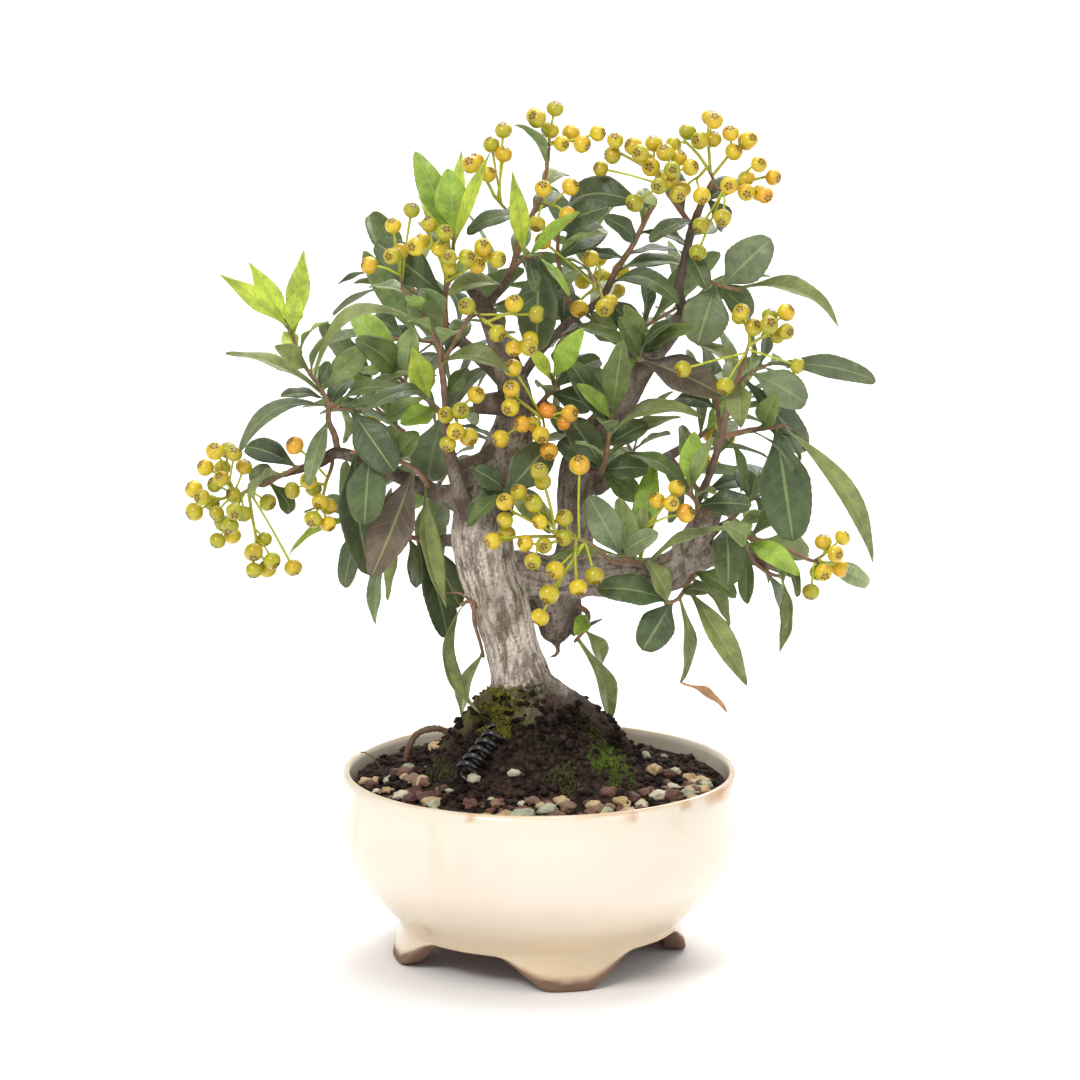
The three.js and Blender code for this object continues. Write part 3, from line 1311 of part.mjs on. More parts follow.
// Wood and shoots take their places first, then berries, then leaves from the front to the back
Object.values(WOOD).forEach((path) => crowd.add(limbSamples(path), "wood"));
const shootRoom = {};
for (const [name, spray] of Object.entries(SPRAYS)) {
  spray.shoots.forEach((path) => crowd.add(limbSamples(path), name));
  shootRoom[name] = fuse(spray.shoots.map((path) => shoot(path, FIT_GAP)));
}
for (const [name, from, to] of BACK_SPRAYS) {
  const path = backShoot(vector(from), vector(to));
  crowd.add(limbSamples(path), name);
  shootRoom[name] = shoot(path, FIT_GAP);
}

const bunchesPlaced = {};
for (const [name, bunch] of Object.entries(BUNCHES)) {
  bunchesPlaced[name] = placeBunch(name, bunch);
}

const woodRoom = wood(FIT_GAP);
const solids = [];

function keep(name, solid, look) {
  solids.push({ name, solid, look });
}

function roomExcept(name) {
  const others = Object.entries(shootRoom).filter(([owner]) => owner !== name);
  return [woodRoom, ...others.map(([, room]) => room)];
}

for (const [name, spray] of Object.entries(SPRAYS)) {
  const used = [];
  const leaves = spray.leaves.map((row) => leafSolid(placeFrontLeaf(row, spray.shoots, used, name)));
  const shoots = spray.shoots.map((path) => shoot(path));
  const look = YOUNG_SPRAYS.includes(name) ? "young_leaf" : "leaf";
  keep(`spray_${name}`, clearOf(fuse([...shoots, ...leaves]), roomExcept(name)), look);
}

const drawBack = seeded(BACK_SEED);
for (const [name, from, to, count] of BACK_SPRAYS) {
  const [start, end] = [vector(from), vector(to)];
  const pieces = [shoot(backShoot(start, end))];
  for (let i = 0; i < count; i += 1) {
    const size = {
      length: drawBack(...BACK_LEAF_LENGTH),
      width: drawBack(...BACK_LEAF_WIDTH),
      arch: drawBack(...BACK_LEAF_ARCH),
    };
    const leaf = placeBackLeaf(start, end, (i + 1) / count, i * GOLDEN_ANGLE, size, name);
    if (leaf !== null) {
      pieces.push(leafSolid(leaf));
    }
  }
  keep(`spray_${name}`, clearOf(fuse(pieces), roomExcept(name)), "leaf");
}

for (const [name, bunch] of Object.entries(BUNCHES)) {
  const whole = bunchSolid(bunch, bunchesPlaced[name]);
  keep(`berries_${name}`, clearOf(whole, roomExcept("")), "berry");
}

const coil = coilPath();
const coilRoom = coil.map((point) => [point[0], point[1], point[2], point[3] + FIT_GAP]);
const rootletRoom = limb(ROOTLET, 6, FIT_GAP);
keep("pot", pot(), "pot");
keep("soil", soil(fuse([woodRoom, limb(coilRoom, 5), rootletRoom])), "soil");
keep("trunk_and_branches", largestBody(wood()), "wood");
keep("training_wire", limb(coil, 5), "wire");
keep("surface_rootlet", clearOf(limb(ROOTLET, 6), [woodRoom]), "rootlet");

// The finished group, standing on its feet with its footprint centred
function meshOf({ name, solid, look }) {
  const { vertProperties, triVerts } = solid.getMesh();
  const geometry = new THREE.BufferGeometry();
  geometry.setAttribute("position", new THREE.BufferAttribute(new Float32Array(vertProperties), 3));
  geometry.setIndex(new THREE.BufferAttribute(new Uint32Array(triVerts), 1));
  geometry.computeVertexNormals();
  const mesh = new THREE.Mesh(geometry, new THREE.MeshStandardMaterial({ metalness: 0, ...LOOKS[look] }));
  mesh.name = name;
  return mesh;
}

const bonsai = new THREE.Group();
bonsai.name = "scarlet_firethorn_bonsai";
bonsai.add(...solids.map(meshOf));
const box = new THREE.Box3().setFromObject(bonsai);
bonsai.position.set(-(box.min.x + box.max.x) / 2, -(box.min.y + box.max.y) / 2, -box.min.z);

export default bonsai;
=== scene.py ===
# Scarlet firethorn bonsai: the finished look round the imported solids.
# The tables are in millimetres about the pot's axis, the finished meshes in metres.

import math

import bpy
import numpy as np
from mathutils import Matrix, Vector, noise
from mathutils.bvhtree import BVHTree


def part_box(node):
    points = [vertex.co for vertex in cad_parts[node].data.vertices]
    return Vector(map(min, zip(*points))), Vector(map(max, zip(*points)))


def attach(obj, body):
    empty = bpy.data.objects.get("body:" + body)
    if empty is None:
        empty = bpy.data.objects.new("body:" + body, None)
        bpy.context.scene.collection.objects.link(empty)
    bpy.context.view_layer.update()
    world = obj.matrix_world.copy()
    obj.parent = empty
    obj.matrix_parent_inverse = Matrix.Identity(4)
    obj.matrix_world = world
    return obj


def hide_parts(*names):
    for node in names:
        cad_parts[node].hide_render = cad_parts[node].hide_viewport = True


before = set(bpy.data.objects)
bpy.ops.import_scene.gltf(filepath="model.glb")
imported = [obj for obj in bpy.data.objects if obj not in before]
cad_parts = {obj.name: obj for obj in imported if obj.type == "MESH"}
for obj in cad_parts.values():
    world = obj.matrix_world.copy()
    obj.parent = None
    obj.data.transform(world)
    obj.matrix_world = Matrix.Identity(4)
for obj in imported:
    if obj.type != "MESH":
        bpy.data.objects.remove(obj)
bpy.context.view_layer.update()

MM = 0.001
DEGREE = math.pi / 180

# Growth rule, the same as the solids'
SAMPLE_STEP = 1.9
BLADE_SPACING = 2.4
JOINED_SHARE = 0.25
TESTED_SHARE = 0.2
ROOT_STEP = 1.8
ROOT_SPACING = 1.6
ROOT_SEARCH_STEP = 0.5
ROOT_SLIDES = [0, 1, -1, 2, -2, 3, -3, 4, -4, 5, -5]
DEPTH_STEPS = [0, 2.5, -2.5, 5, -5, 7.5, -7.5, 10, -10, 13, -13, 16, -16, 20, -20]
TIP_NUDGES = [(0, 0), (3, 0), (-3, 0), (0, 3), (0, -3), (5, 5), (-5, 5), (5, -5), (-5, -5)]
SIGHT_LINE = np.array([0, 1, -0.2126])
BERRY_RADIUS = (2.7, 3.2)
BERRY_GAP = 0.3
BERRY_TRIES = 60
PEDICEL_STEP = 1.3
CORE_SHARE = 0.5
BERRY_SEED = 7
BACK_SEED = 23
BACK_SHOOT_RADIUS = (1.2, 0.7)
BACK_LEAF_LENGTH = (25, 38)
BACK_LEAF_WIDTH = (8, 12.5)
BACK_LEAF_ARCH = (0.03, 0.18)
BACK_FORWARD = 0.6
BACK_SPREAD = 0.95
BACK_END_SPREAD = 0.25
BACK_TILT = -0.2
BACK_TONES = ("dark", "mid", "dark", "grey", "olive")
GOLDEN_ANGLE = 137.5
TURN_STEP = 26
TURN_TRIES = 9

# Pot and soil
SEGMENTS = 160
FOOT_COUNT = 4
FRONT_FOOT_DEG = 11.5
FOOT_HALF_DEG = 11.5
FOOT_SLOPE_DEG = 28
ARCH_HEIGHT = 11
WAIST_HEIGHT = 12
WAIST_RADIUS = 47
FOOT_FLARE = 3
WALL = [
    (6, 17), (41, 17.5), (55, 28), (61, 40), (62.8, 50), (63.3, 57), (63.4, 61), (63.6, 62.8), (64, 63.9),
    (64.8, 64.4), (65.6, 64.1), (66.3, 63.1), (66.9, 60), (67.4, 56), (67.9, 51), (68.2, 46), (68.2, 42),
    (67.5, 37.5), (66.1, 33.6), (63.9, 30.2), (61.1, 27), (58, 23.6), (54.6, 20.2), (51.4, 17.2),
    (48.8, 14.4), (47.4, WAIST_HEIGHT),
]
SOIL_EDGE_HEIGHT = 58.5
SOIL_RADIUS = 62.6
MOUND = (-5, 0, 26, 34)

# Training wire
COIL_START = (-14, -17)
COIL_END = (-25, -31)
COIL_TURNS = 5.5
COIL_RADIUS = 2.9
WIRE_RADIUS = 1.15
COIL_SINK = 0.4
COIL_STEPS = 26
WIRE_SHARE = 0.8

# Leaf mesh: stations along a blade, and places across it
BLADE_ROWS = 28
BLADE_COLUMNS = [-1, -0.8, -0.45, -0.12, 0, 0.12, 0.45, 0.8, 1]
BLADE_HALF_THICKNESS = 0.2
BLADE_THINNING = 0.55
BLADE_LEAST_HALF = 0.12
BLADE_TWIST_DEG = 16
TOOTH_DEPTH = 0.03
FOLD_POWER = 1.15
RIPPLES = 2.3
VEIN_SLANT = 1.4
VEIN_RELIEF = 0.016
VEIN_USUAL_WIDTH = 9
GROOVE_DEPTH = 0.16
GROOVE_HALF_WIDTH = 0.45

# Seeds of the scene's own small irregularities, one series a kind of piece
SPRAY_SEED = 900
BUNCH_SEED = 1700
GRAVEL_SEED = 77
MOSS_SEED = 300
CLINGING_SEED = 515
DEAD_LEAF_SEED = 5

# Shares of height and of depth that show as height in the front view, 12 degrees up
SIGHT_HEIGHT = 0.978
SIGHT_DEPTH = 0.208

# Wood: each path is a list of [x, y, z, radius]
WOOD = {
    "trunk": [[-4, 0, 52, 16], [-4, 0, 67, 14.5], [-5, 0, 81, 12.5], [-7, 0, 95, 10.3], [-10, 0, 108, 9.2],
          [-14, 0, 122, 9.6], [-19, 0, 141, 10], [-18, 1, 154, 9.5], [-14, 4, 166, 8], [-9, 6, 179, 7],
          [-8, 6, 189, 6], [-11, 5, 201, 4.5], [-15, 3, 212, 3.6], [-19, 2, 222, 2.8], [-24, 2, 229, 2]],
    "right_limb": [[-12, 5, 130, 8], [3, 10, 127, 8.5], [14, 12, 128, 8], [28, 10, 128, 7],
          [42, 6, 130, 6.5], [53, 4, 136, 5.5], [64, 3, 138, 4], [74, 4, 135, 2.6], [86, 2, 130, 1.6]],
    "burl": [[2, 12, 124, 9.5], [6, 12, 114, 8.5], [5, 11, 106, 4]],
    "burl_twig": [[8, 11, 111, 2], [10, 10, 108, 1.2], [15, 8, 111, 1], [21, 7, 114, 0.6]],
    "burl_thorn": [[5, 11, 109, 1.4], [6, 9, 102, 0.9], [2, 8, 100, 0.4]],
    "second_stem": [[10, 12, 128, 6.5], [11, 14, 140, 6.5], [11, 14, 152, 6.5], [13, 14, 166, 6.2],
          [20, 13, 177, 5.5], [28, 12, 188, 5], [33, 12, 197, 4.5], [40, 10, 207, 3.8], [48, 9, 217, 2.9]],
    "left_branch": [[-18, -1, 153, 6], [-22, -3, 154, 4], [-30, -2, 157, 3.2], [-48, -2, 165, 2.4],
          [-66, -5, 173, 2.1], [-73, -6, 170, 1.8], [-86, -8, 166, 1.1]],
    "front_left_twig": [[-22, -3, 150, 4], [-24, -6, 154, 3.2], [-27, -8, 162, 2.7], [-31, -10, 178, 2.1]],
    "low_left_branch": [[-20, 1, 141, 4], [-27, 2, 142, 2.5], [-36, 5, 141, 1.8]],
    "cross_twig": [[-13, 3, 174, 3], [-20, -3, 171, 1.9], [-28, -7, 169, 1.8]],
    "front_stub": [[-8, 4, 188, 5], [-14, -1, 189, 4], [-21, -4, 189, 3.2]],
    "scar_stub": [[48, 4, 135, 5], [50, 2, 140, 5], [54, -2, 148, 5], [57, -6, 154, 4.6]],
    "back_left_low": [[-14, 6, 152, 6], [-20, 14, 157, 4], [-30, 25, 163, 2.6], [-45, 36, 171, 1.4]],
    "back_right_low": [[18, 16, 158, 4.5], [26, 24, 161, 3.4], [38, 35, 161, 2.4], [52, 46, 167, 1.2]],
    "back_right_high": [[34, 14, 197, 4], [32, 22, 203, 2.8], [28, 32, 210, 2.2], [20, 43, 218, 1.2]],
    "back_left_high": [[-9, 7, 193, 4], [-16, 16, 198, 2.8], [-25, 25, 204, 2.2], [-36, 33, 214, 1.2]],
    "right_root": [[2, 0, 88, 8], [6, 0, 87, 6], [13, 1, 83, 5], [20, 2, 78, 4.4], [26, 3, 73, 3.4],
          [32, 4, 66, 2.4]],
    "left_root": [[-12, 0, 90, 6], [-17, -1, 86, 5], [-22, -2, 81, 4.2], [-28, -3, 75, 3.4],
          [-35, -4, 68, 2.2]],
}
ROOTLET = [[-46, 5, 60, 1], [-44.5, 4, 69, 1.1], [-42, 3, 74.5, 1.1], [-38.5, 3, 76.6, 1.1],
           [-34, 4, 76.8, 1.1], [-30, 5, 74.5, 1.1], [-27, 6, 71, 1]]

# Leafy stems seen from the front. A leaf is [root x, y, z, tip x, y, z, width, face, arch, tone]:
# face is the angle of its upper side from the sky towards the viewer, arch its rise over its length.
SPRAYS = {
    "left_tip": {
        "shoots": [
            [[-67, -5, 173, 1.6], [-68, -5, 179, 1.5], [-70, -6, 184, 1.4], [-70, -7, 190, 1.3],
             [-73, -7, 196, 1], [-77, -8, 202, 0.9], [-81, -8, 211, 0.8], [-84, -8, 218, 0.6]],
            [[-70, -7, 190, 1.2], [-65, -5, 188, 1], [-60, -4, 187, 0.8]],
        ],
        "leaves": [
            [-70, -7, 189, -99, -14, 175, 9, 25, 0.25, "grey"],
            [-71, -7, 191, -85, -21, 195, 6, 15, 0.1, "dark"],
            [-72, -7, 193, -104, -2, 206, 7, 20, 0.1, "olive"],
            [-71, -7, 191, -56, -3, 209, 9, 70, 0.05, "pale"],
            [-71, -7, 191, -69, -13, 205, 5, 60, 0, "dark"],
            [-67, -6, 189, -46, -14, 196, 7, 30, 0.2, "mid"],
            [-64, -5, 188, -34, 1, 198, 5, 15, 0.15, "olive"],
            [-64, -5, 188, -48, -12, 168, 13, 80, 0.05, "dark"],
            [-70, -6, 185, -76, -11, 163, 7, 60, 0.05, "grey"],
            [-77, -8, 202, -87, -12, 210, 8, 45, 0.05, "olive"],
            [-80, -8, 208, -85, -4, 214, 6, 60, 0, "lime"],
            [-79, -8, 206, -88, 0, 201, 5, 30, 0, "olive"],
            [-83, -8, 216, -105, -12, 234, 7, 60, 0.08, "lime"],
            [-84, -8, 217, -96, -4, 237, 7.5, 70, 0.05, "lime"],
            [-84, -8, 217, -78, -2, 241, 8, 70, 0, "lime"],
            [-83, -8, 214, -79, -14, 230, 7, 75, 0, "lime"],
        ],
    },
    "left_middle": {
        "shoots": [
            [[-32, -8, 186, 1.5], [-37, -5, 191, 1.3], [-42, -2, 194, 1.1], [-46, 0, 197, 1],
             [-50, 3, 200, 0.8]],
        ],
        "leaves": [
            [-47, 0, 197, -64, 8, 220, 11, 60, 0.1, "bright"],
            [-47, 0, 197, -66, -8, 207, 11, 60, 0.25, "mid"],
            [-46, 0, 197, -43, 4, 214, 9, 65, 0, "pale"],
            [-49, 2, 199, -60, 10, 198, 5, 40, 0, "pale"],
            [-37, -5, 190, -42, -12, 210, 9, 80, 0, "lime"],
            [-37, -5, 191, -51, -8, 185, 8, 60, 0.1, "pale"],
            [-34, -7, 188, -46, -16, 185, 8, 60, 0.1, "bright"],
            [-34, -7, 188, -57, -10, 188, 7, 25, 0.22, "dark"],
            [-33, -7, 188, -38, -15, 166, 14, 85, 0.03, "grey"],
            [-40, -3, 193, -56, 7, 189, 7, 30, 0.15, "olive"],
            [-44, -1, 195, -34, 11, 204, 8, 60, 0.1, "dark"],
        ],
    },
    "left_low": {
        "shoots": [
            [[-37, -5, 162, 1.5], [-41, -9, 168, 1.3], [-48, -10, 172, 1.2], [-56, -10, 175, 1.1],
             [-62, -9, 174, 0.9]],
        ],
        "leaves": [
            [-56, -10, 175, -58, -16, 151, 13, 80, 0.04, "dark"],
            [-42, -9, 168, -56, -15, 133, 15, 72, -0.06, "plum"],
            [-61, -9, 174, -54, -3, 131, 14, 70, -0.12, "dark"],
            [-38, -6, 163, -31, -1, 120, 9, 50, -0.12, "olive"],
            [-48, -10, 171, -40, -15, 182, 8, 60, 0.1, "mid"],
        ],
    },
    "left_lower": {
        "shoots": [
            [[-38, 6, 141, 1.3], [-50, 10, 143, 1.2], [-60, 14, 146, 1.1], [-65, 17, 147, 0.8]],
        ],
        "leaves": [
            [-60, 14, 146, -66, 19, 122, 8, 60, 0.05, "dark"],
            [-50, 10, 143, -56, 16, 110, 7, 40, 0.06, "mid"],
            [-47, 9, 143, -51, 4, 121, 6, 40, 0, "olive"],
            [-60, 14, 146, -82, 12, 139, 6, 20, 0.1, "lime"],
            [-64, 16, 147, -85, 24, 132, 5, 20, 0.1, "lime"],
            [-38, 6, 141, -27, 2, 119, 10, 70, 0.04, "dark"],
            [-39, 6, 141, -31, 13, 106, 11, 60, 0.05, "dark"],
            [-64, 16, 147, -75, 28, 150, 8, 40, 0.1, "mid"],
            [-56, 13, 145, -63, 31, 129, 9, 60, 0.1, "dark"],
            [-44, 8, 142, -41, 22, 122, 9, 60, 0.08, "mid"],
        ],
    },
    "left_end": {
        "shoots": [
            [[-80, -8, 169, 1.1], [-86, -9, 166, 1], [-91, -9, 163, 0.9]],
        ],
        "leaves": [
            [-80, -8, 168, -98, -13, 177, 9, 50, 0.12, "dark"],
            [-86, -9, 166, -97, -6, 166, 8, 70, -0.05, "grey"],
            [-90, -9, 164, -83, -1, 152, 7, 50, 0.1, "mid"],
        ],
    },
    "trunk_left": {
        "shoots": [
            [[-20, -4, 120, 1.2], [-23, -6, 123, 1], [-26, -6, 122, 0.8]],
            [[-22, -6, 122, 1], [-22, -5, 116, 0.9], [-20, -2, 108, 0.8], [-19, 0, 103, 0.7]],
            [[-23, -6, 123, 0.8], [-27, -7, 126, 0.5], [-32, -8, 126, 0.2]],
        ],
        "leaves": [
            [-25, -6, 122, -20, -12, 86, 7.5, 35, -0.3, "olive"],
            [-19, 0, 104, -26, 6, 79, 7.5, 40, 0.1, "olive"],
        ],
    },
    "top_left": {
        "shoots": [
            [[-31, -11, 180, 1.9], [-31, -12, 189, 1.7], [-32, -12, 200, 1.5], [-33, -13, 209, 1.3],
             [-31, -14, 218, 1.2], [-31, -14, 227, 1.1], [-29, -14, 238, 1], [-28, -14, 248, 0.8]],
            [[-33, -13, 209, 1.1], [-36, -15, 217, 0.9], [-41, -16, 226, 0.8], [-45, -16, 230, 0.7]],
            [[-32, -12, 205, 1.1], [-28, -13, 212, 1], [-24, -14, 219, 0.9], [-22, -15, 222, 0.8]],
        ],
        "leaves": [
            [-28, -14, 248, -30, -17, 270, 11, 88, 0, "bright"],
            [-28, -14, 248, -41, -10, 275, 9.5, 80, 0.05, "bright"],
            [-28, -14, 248, -26, -6, 276, 6, 70, 0, "lime"],
            [-28, -14, 248, -16, -20, 276, 5, 60, 0.05, "lime"],
            [-28, -14, 248, -40, -5, 259, 6, 60, 0.1, "lime"],
            [-28, -14, 246, -45, -21, 259, 7.5, 45, 0.15, "mid"],
            [-31, -14, 227, -54, -6, 244, 12, 75, 0.1, "dark"],
            [-36, -15, 216, -74, -20, 201, 8.5, 18, 0.36, "olive"],
            [-33, -13, 204, -7, -7, 200, 9, 30, 0.22, "olive"],
            [-31, -12, 193, -24, -6, 202, 6, 80, 0, "mid"],
            [-31, -12, 207, -26, -5, 215, 7, 60, 0.1, "dark"],
        ],
    },
    "leader": {
        "shoots": [
            [[-18, 2, 221, 2.2], [-13, 2, 227, 1.8], [-9, 2, 234, 1.6], [-7, 1, 243, 1.4],
             [-3, 1, 251, 1.2], [0, 0, 258, 1], [2, 0, 266, 0.9], [3, 0, 274, 0.7]],
            [[-9, 2, 234, 1.2], [-5, -3, 238, 1], [0, -8, 240, 0.8]],
        ],
        "leaves": [
            [-5, -3, 238, -9, -6, 266, 6.5, 80, 0, "lime"],
            [-4, -3, 238, 13, -10, 254, 5.5, 45, 0.08, "bright"],
            [-5, 1, 246, -10, 8, 254, 4.5, 60, 0, "mid"],
            [0, -8, 240, -1, -14, 209, 13.5, 85, 0.03, "dark"],
            [-3, 1, 251, -24, 6, 244, 8, 25, 0.15, "dark"],
            [-12, 2, 228, -31, 12, 222, 9, 30, 0.15, "olive"],
            [-8, 2, 238, 6, 12, 225, 9, 50, 0.1, "dark"],
        ],
    },
    "upper": {
        "shoots": [
            [[-7, 5, 195, 2.2], [0, 8, 205, 2.1], [10, 9, 215, 1.9], [20, 9, 222, 1.7],
             [25, 7, 232, 1.5], [30, 5, 240, 1.3], [34, 4, 248, 1.2], [37, 3, 254, 1]],
            [[12, 9, 216, 1.3], [8, 7, 226, 1.1], [6, 6, 236, 1], [6, 5, 246, 0.8]],
        ],
        "leaves": [
            [37, 3, 254, 9, -3, 256, 13, 50, 0.3, "dark"],
            [6, 5, 245, 20, 11, 252, 10, 50, 0.15, "dark"],
            [6, 6, 236, 24, 0, 249, 11, 60, 0.12, "dark"],
            [31, 5, 242, 21, -1, 251, 7, 50, 0.15, "dark"],
            [25, 7, 232, 49, 13, 233, 7.5, 30, 0.12, "mid"],
            [28, 6, 237, 16, 14, 238, 5, 40, 0, "dark"],
            [33, 4, 245, 50, 10, 239, 6, 30, 0.15, "dark"],
            [22, 8, 226, 46, 2, 222, 9, 30, 0.3, "dark"],
            [20, 9, 223, 33, 16, 210, 9, 70, 0.1, "dark"],
            [11, 9, 215, -4, 18, 215, 9, 45, 0.12, "dark"],
            [16, 9, 219, 24, 2, 210, 9, 70, 0.1, "olive"],
        ],
    },
    "right_upper": {
        "shoots": [
            [[37, 8, 205, 2], [34, 2, 205, 1.6], [33, -3, 204, 1.2]],
        ],
        "leaves": [
            [33, -1, 204, 26, -6, 219, 7, 70, 0.08, "mid"],
            [34, 0, 204, 41, -7, 215, 8, 60, 0.12, "dark"],
            [33, -2, 204, 52, 2, 213, 7, 40, 0.15, "mid"],
            [34, 0, 204, 33, 5, 216, 7, 75, 0, "pale"],
            [33, -3, 204, 60, -8, 193, 13, 60, 0.1, "plum"],
            [33, -3, 204, 12, 0, 215, 6, 35, 0.12, "mid"],
            [33, -3, 204, 20, -9, 198, 8, 50, 0.15, "mid"],
        ],
    },
    "top_right": {
        "shoots": [
            [[48, 8, 217, 2.6], [46, 6, 226, 2.4], [48, 5, 236, 2.2], [50, 4, 246, 2],
             [54, 3, 257, 1.5], [57, 2, 263, 1.1]],
            [[50, 4, 248, 1.3], [45, 2, 255, 1.1], [42, 1, 259, 0.9]],
            [[48, 5, 233, 1.2], [55, 2, 230, 1], [61, 0, 228, 0.9], [66, -1, 227, 0.8]],
        ],
        "leaves": [
            [49, 5, 240, 55, 0, 227, 7, 75, 0.05, "dark"],
            [53, 3, 255, 67, 9, 262, 8, 50, 0.15, "dark"],
            [54, 3, 256, 64, -3, 249, 7.5, 60, 0.2, "dark"],
            [60, 0, 228, 76, -5, 245, 14, 78, 0.1, "grey"],
            [64, -1, 227, 99, 3, 214, 8.5, 30, 0.22, "olive"],
            [65, -1, 227, 52, -7, 210, 15.5, 82, 0.05, "grey"],
            [51, 4, 249, 36, 12, 243, 7, 35, 0.15, "dark"],
            [50, 4, 244, 58, 13, 247, 7, 50, 0.1, "mid"],
            [58, 1, 229, 70, 9, 216, 10, 60, 0.12, "mid"],
        ],
    },
    "right_twig": {
        "shoots": [
            [[52, -2, 156, 2], [55, -3, 162, 1.8], [58, -4, 171, 1.7], [60, -4, 178, 1.6],
             [62, -5, 188, 1.4], [65, -6, 197, 1.2], [67, -7, 203, 0.9]],
            [[60, -4, 178, 1.4], [68, -3, 180, 1.3], [74, -3, 181, 1.2], [81, -3, 182, 1]],
            [[60, -4, 179, 1.2], [59, -1, 186, 1], [59, 0, 193, 0.8]],
            [[65, -6, 196, 1], [70, -4, 200, 0.9], [77, -2, 203, 0.7]],
        ],
        "leaves": [
            [76, -2, 203, 112, 2, 196, 8.5, 55, 0.14, "grey"],
            [70, -4, 200, 88, -11, 191, 12, 70, 0.15, "grey"],
            [69, -5, 199, 89, -1, 173, 11, 65, 0.06, "dark"],
            [66, -6, 197, 63, -13, 183, 9, 70, 0.05, "olive"],
            [80, -3, 182, 111, 0, 135, 8, 50, 0.16, "olive"],
            [80, -3, 182, 84, -9, 144, 17, 88, 0.02, "dark"],
            [62, -4, 178, 67, 3, 158, 4.5, 45, 0.15, "mid"],
            [67, -7, 201, 52, -1, 209, 6, 35, 0.1, "olive"],
            [59, 0, 193, 50, 7, 198, 8, 60, 0.1, "mid"],
            [59, -1, 187, 45, 7, 189, 8, 40, 0.15, "dark"],
            [74, -3, 181, 78, 6, 190, 8, 60, 0.1, "mid"],
        ],
    },
    "right_middle": {
        "shoots": [
            [[54, -4, 150, 1.6], [52, -8, 157, 1.3], [50, -10, 160, 1.1], [50, -10, 163, 0.9]],
        ],
        "leaves": [
            [50, -10, 161, 51, -14, 182, 9, 85, 0, "bright"],
            [50, -10, 161, 57, -19, 181, 5, 60, 0.1, "pale"],
            [50, -10, 162, 28, -6, 173, 7, 40, 0.2, "mid"],
            [50, -10, 162, 41, -17, 171, 5, 60, 0, "pale"],
            [51, -10, 160, 70, -13, 157, 9, 55, 0.12, "dark"],
            [50, -10, 162, 42, -2, 177, 8, 60, 0.1, "mid"],
        ],
    },
    "low_right": {
        "shoots": [
            [[57, 2, 143, 1.4], [62, -3, 149, 1.3], [68, -5, 145, 1.2], [76, -6, 143, 1],
             [82, -7, 141, 0.9], [88, -8, 138, 0.8], [91, -8, 137, 0.7]],
            [[68, -5, 145, 1.1], [70, -1, 137, 1], [76, 2, 131, 0.9], [81, 4, 129, 0.8]],
            [[62, -3, 149, 1.1], [68, 3, 153, 1], [72, 7, 157, 0.8]],
        ],
        "leaves": [
            [68, -5, 144, 60, -13, 151, 8, 60, 0.15, "pale"],
            [62, -3, 148, 67, -14, 135, 12, 75, 0.08, "dark"],
            [68, -4, 144, 86, -12, 133, 8, 55, 0.15, "bright"],
            [69, -3, 140, 69, 3, 120, 6, 70, 0.05, "mid"],
            [73, -6, 144, 87, 1, 138, 10, 60, 0.1, "pale"],
            [68, 3, 153, 76, 9, 162, 8, 60, 0.1, "dark"],
            [75, 2, 132, 82, 9, 115, 5, 45, 0.08, "grey"],
            [81, 4, 129, 80, 0, 104, 6, 45, -0.18, "olive"],
            [89, -8, 138, 106, 4, 121, 7, 60, 0.1, "pale"],
            [72, 6, 156, 80, 14, 146, 9, 70, 0.1, "mid"],
            [70, 5, 155, 67, 15, 164, 8, 60, 0.1, "dark"],
        ],
    },
    "right_under": {
        "shoots": [
            [[54, 6, 137, 1.4], [53, 3, 133, 1.2], [50, -2, 129, 1.1], [46, -7, 124, 0.9],
             [42, -9, 123, 0.8]],
        ],
        "leaves": [
            [51, -1, 129, 63, 3, 112, 6.5, 35, 0.14, "olive"],
            [44, -8, 123, 34, -14, 108, 12, 85, 0.03, "dark"],
            [45, -8, 124, 47, -6, 95, 6, 45, 0.12, "olive"],
            [46, -7, 125, 56, -15, 128, 6, 30, 0.15, "dark"],
            [47, -6, 125, 69, -10, 95, 8.5, 65, 0.06, "olive"],
            [43, -9, 123, 19, -5, 127, 11, 50, 0.15, "dark"],
            [45, -7, 124, 30, 2, 130, 9, 50, 0.12, "olive"],
            [49, -3, 128, 60, 4, 127, 8, 45, 0.15, "mid"],
        ],
    },
    "front_right": {
        "shoots": [
            [[42, 0, 129, 2.2], [36, -6, 134, 1.8], [32, -11, 137, 1.4], [30, -13, 138, 1.1],
             [27, -15, 140, 0.9]],
        ],
        "leaves": [
            [29, -13, 139, 26, -15, 160, 9, 72, 0.05, "pale"],
            [30, -13, 138, 35, -20, 158, 7, 65, 0.05, "pale"],
            [31, -12, 138, 38, -7, 171, 9, 75, 0.05, "bright"],
            [28, -15, 140, 39, -24, 150, 8, 50, 0.15, "grey"],
            [27, -15, 140, 16, -12, 160, 11, 78, 0.05, "grey"],
            [32, -11, 137, 58, -8, 143, 5, 30, 0.16, "pale"],
            [27, -15, 140, 3, -12, 138, 5, 30, 0.14, "pale"],
            [28, -14, 139, 22, -6, 162, 8, 60, 0.1, "grey"],
        ],
    },
    "centre_right": {
        "shoots": [
            [[16, 8, 165, 1.7], [20, 4, 165, 1.5], [21, 0, 167, 1.3], [22, -3, 172, 1.2],
             [23, -6, 180, 1.1], [24, -8, 187, 0.9]],
        ],
        "leaves": [
            [24, -8, 186, 27, -12, 212, 9, 80, 0.02, "mid"],
            [24, -8, 186, 12, -14, 198, 6, 50, 0.12, "bright"],
            [24, -7, 183, 9, -3, 204, 9, 65, 0.08, "dark"],
            [24, -8, 186, 54, -5, 185, 7, 32, 0.24, "olive"],
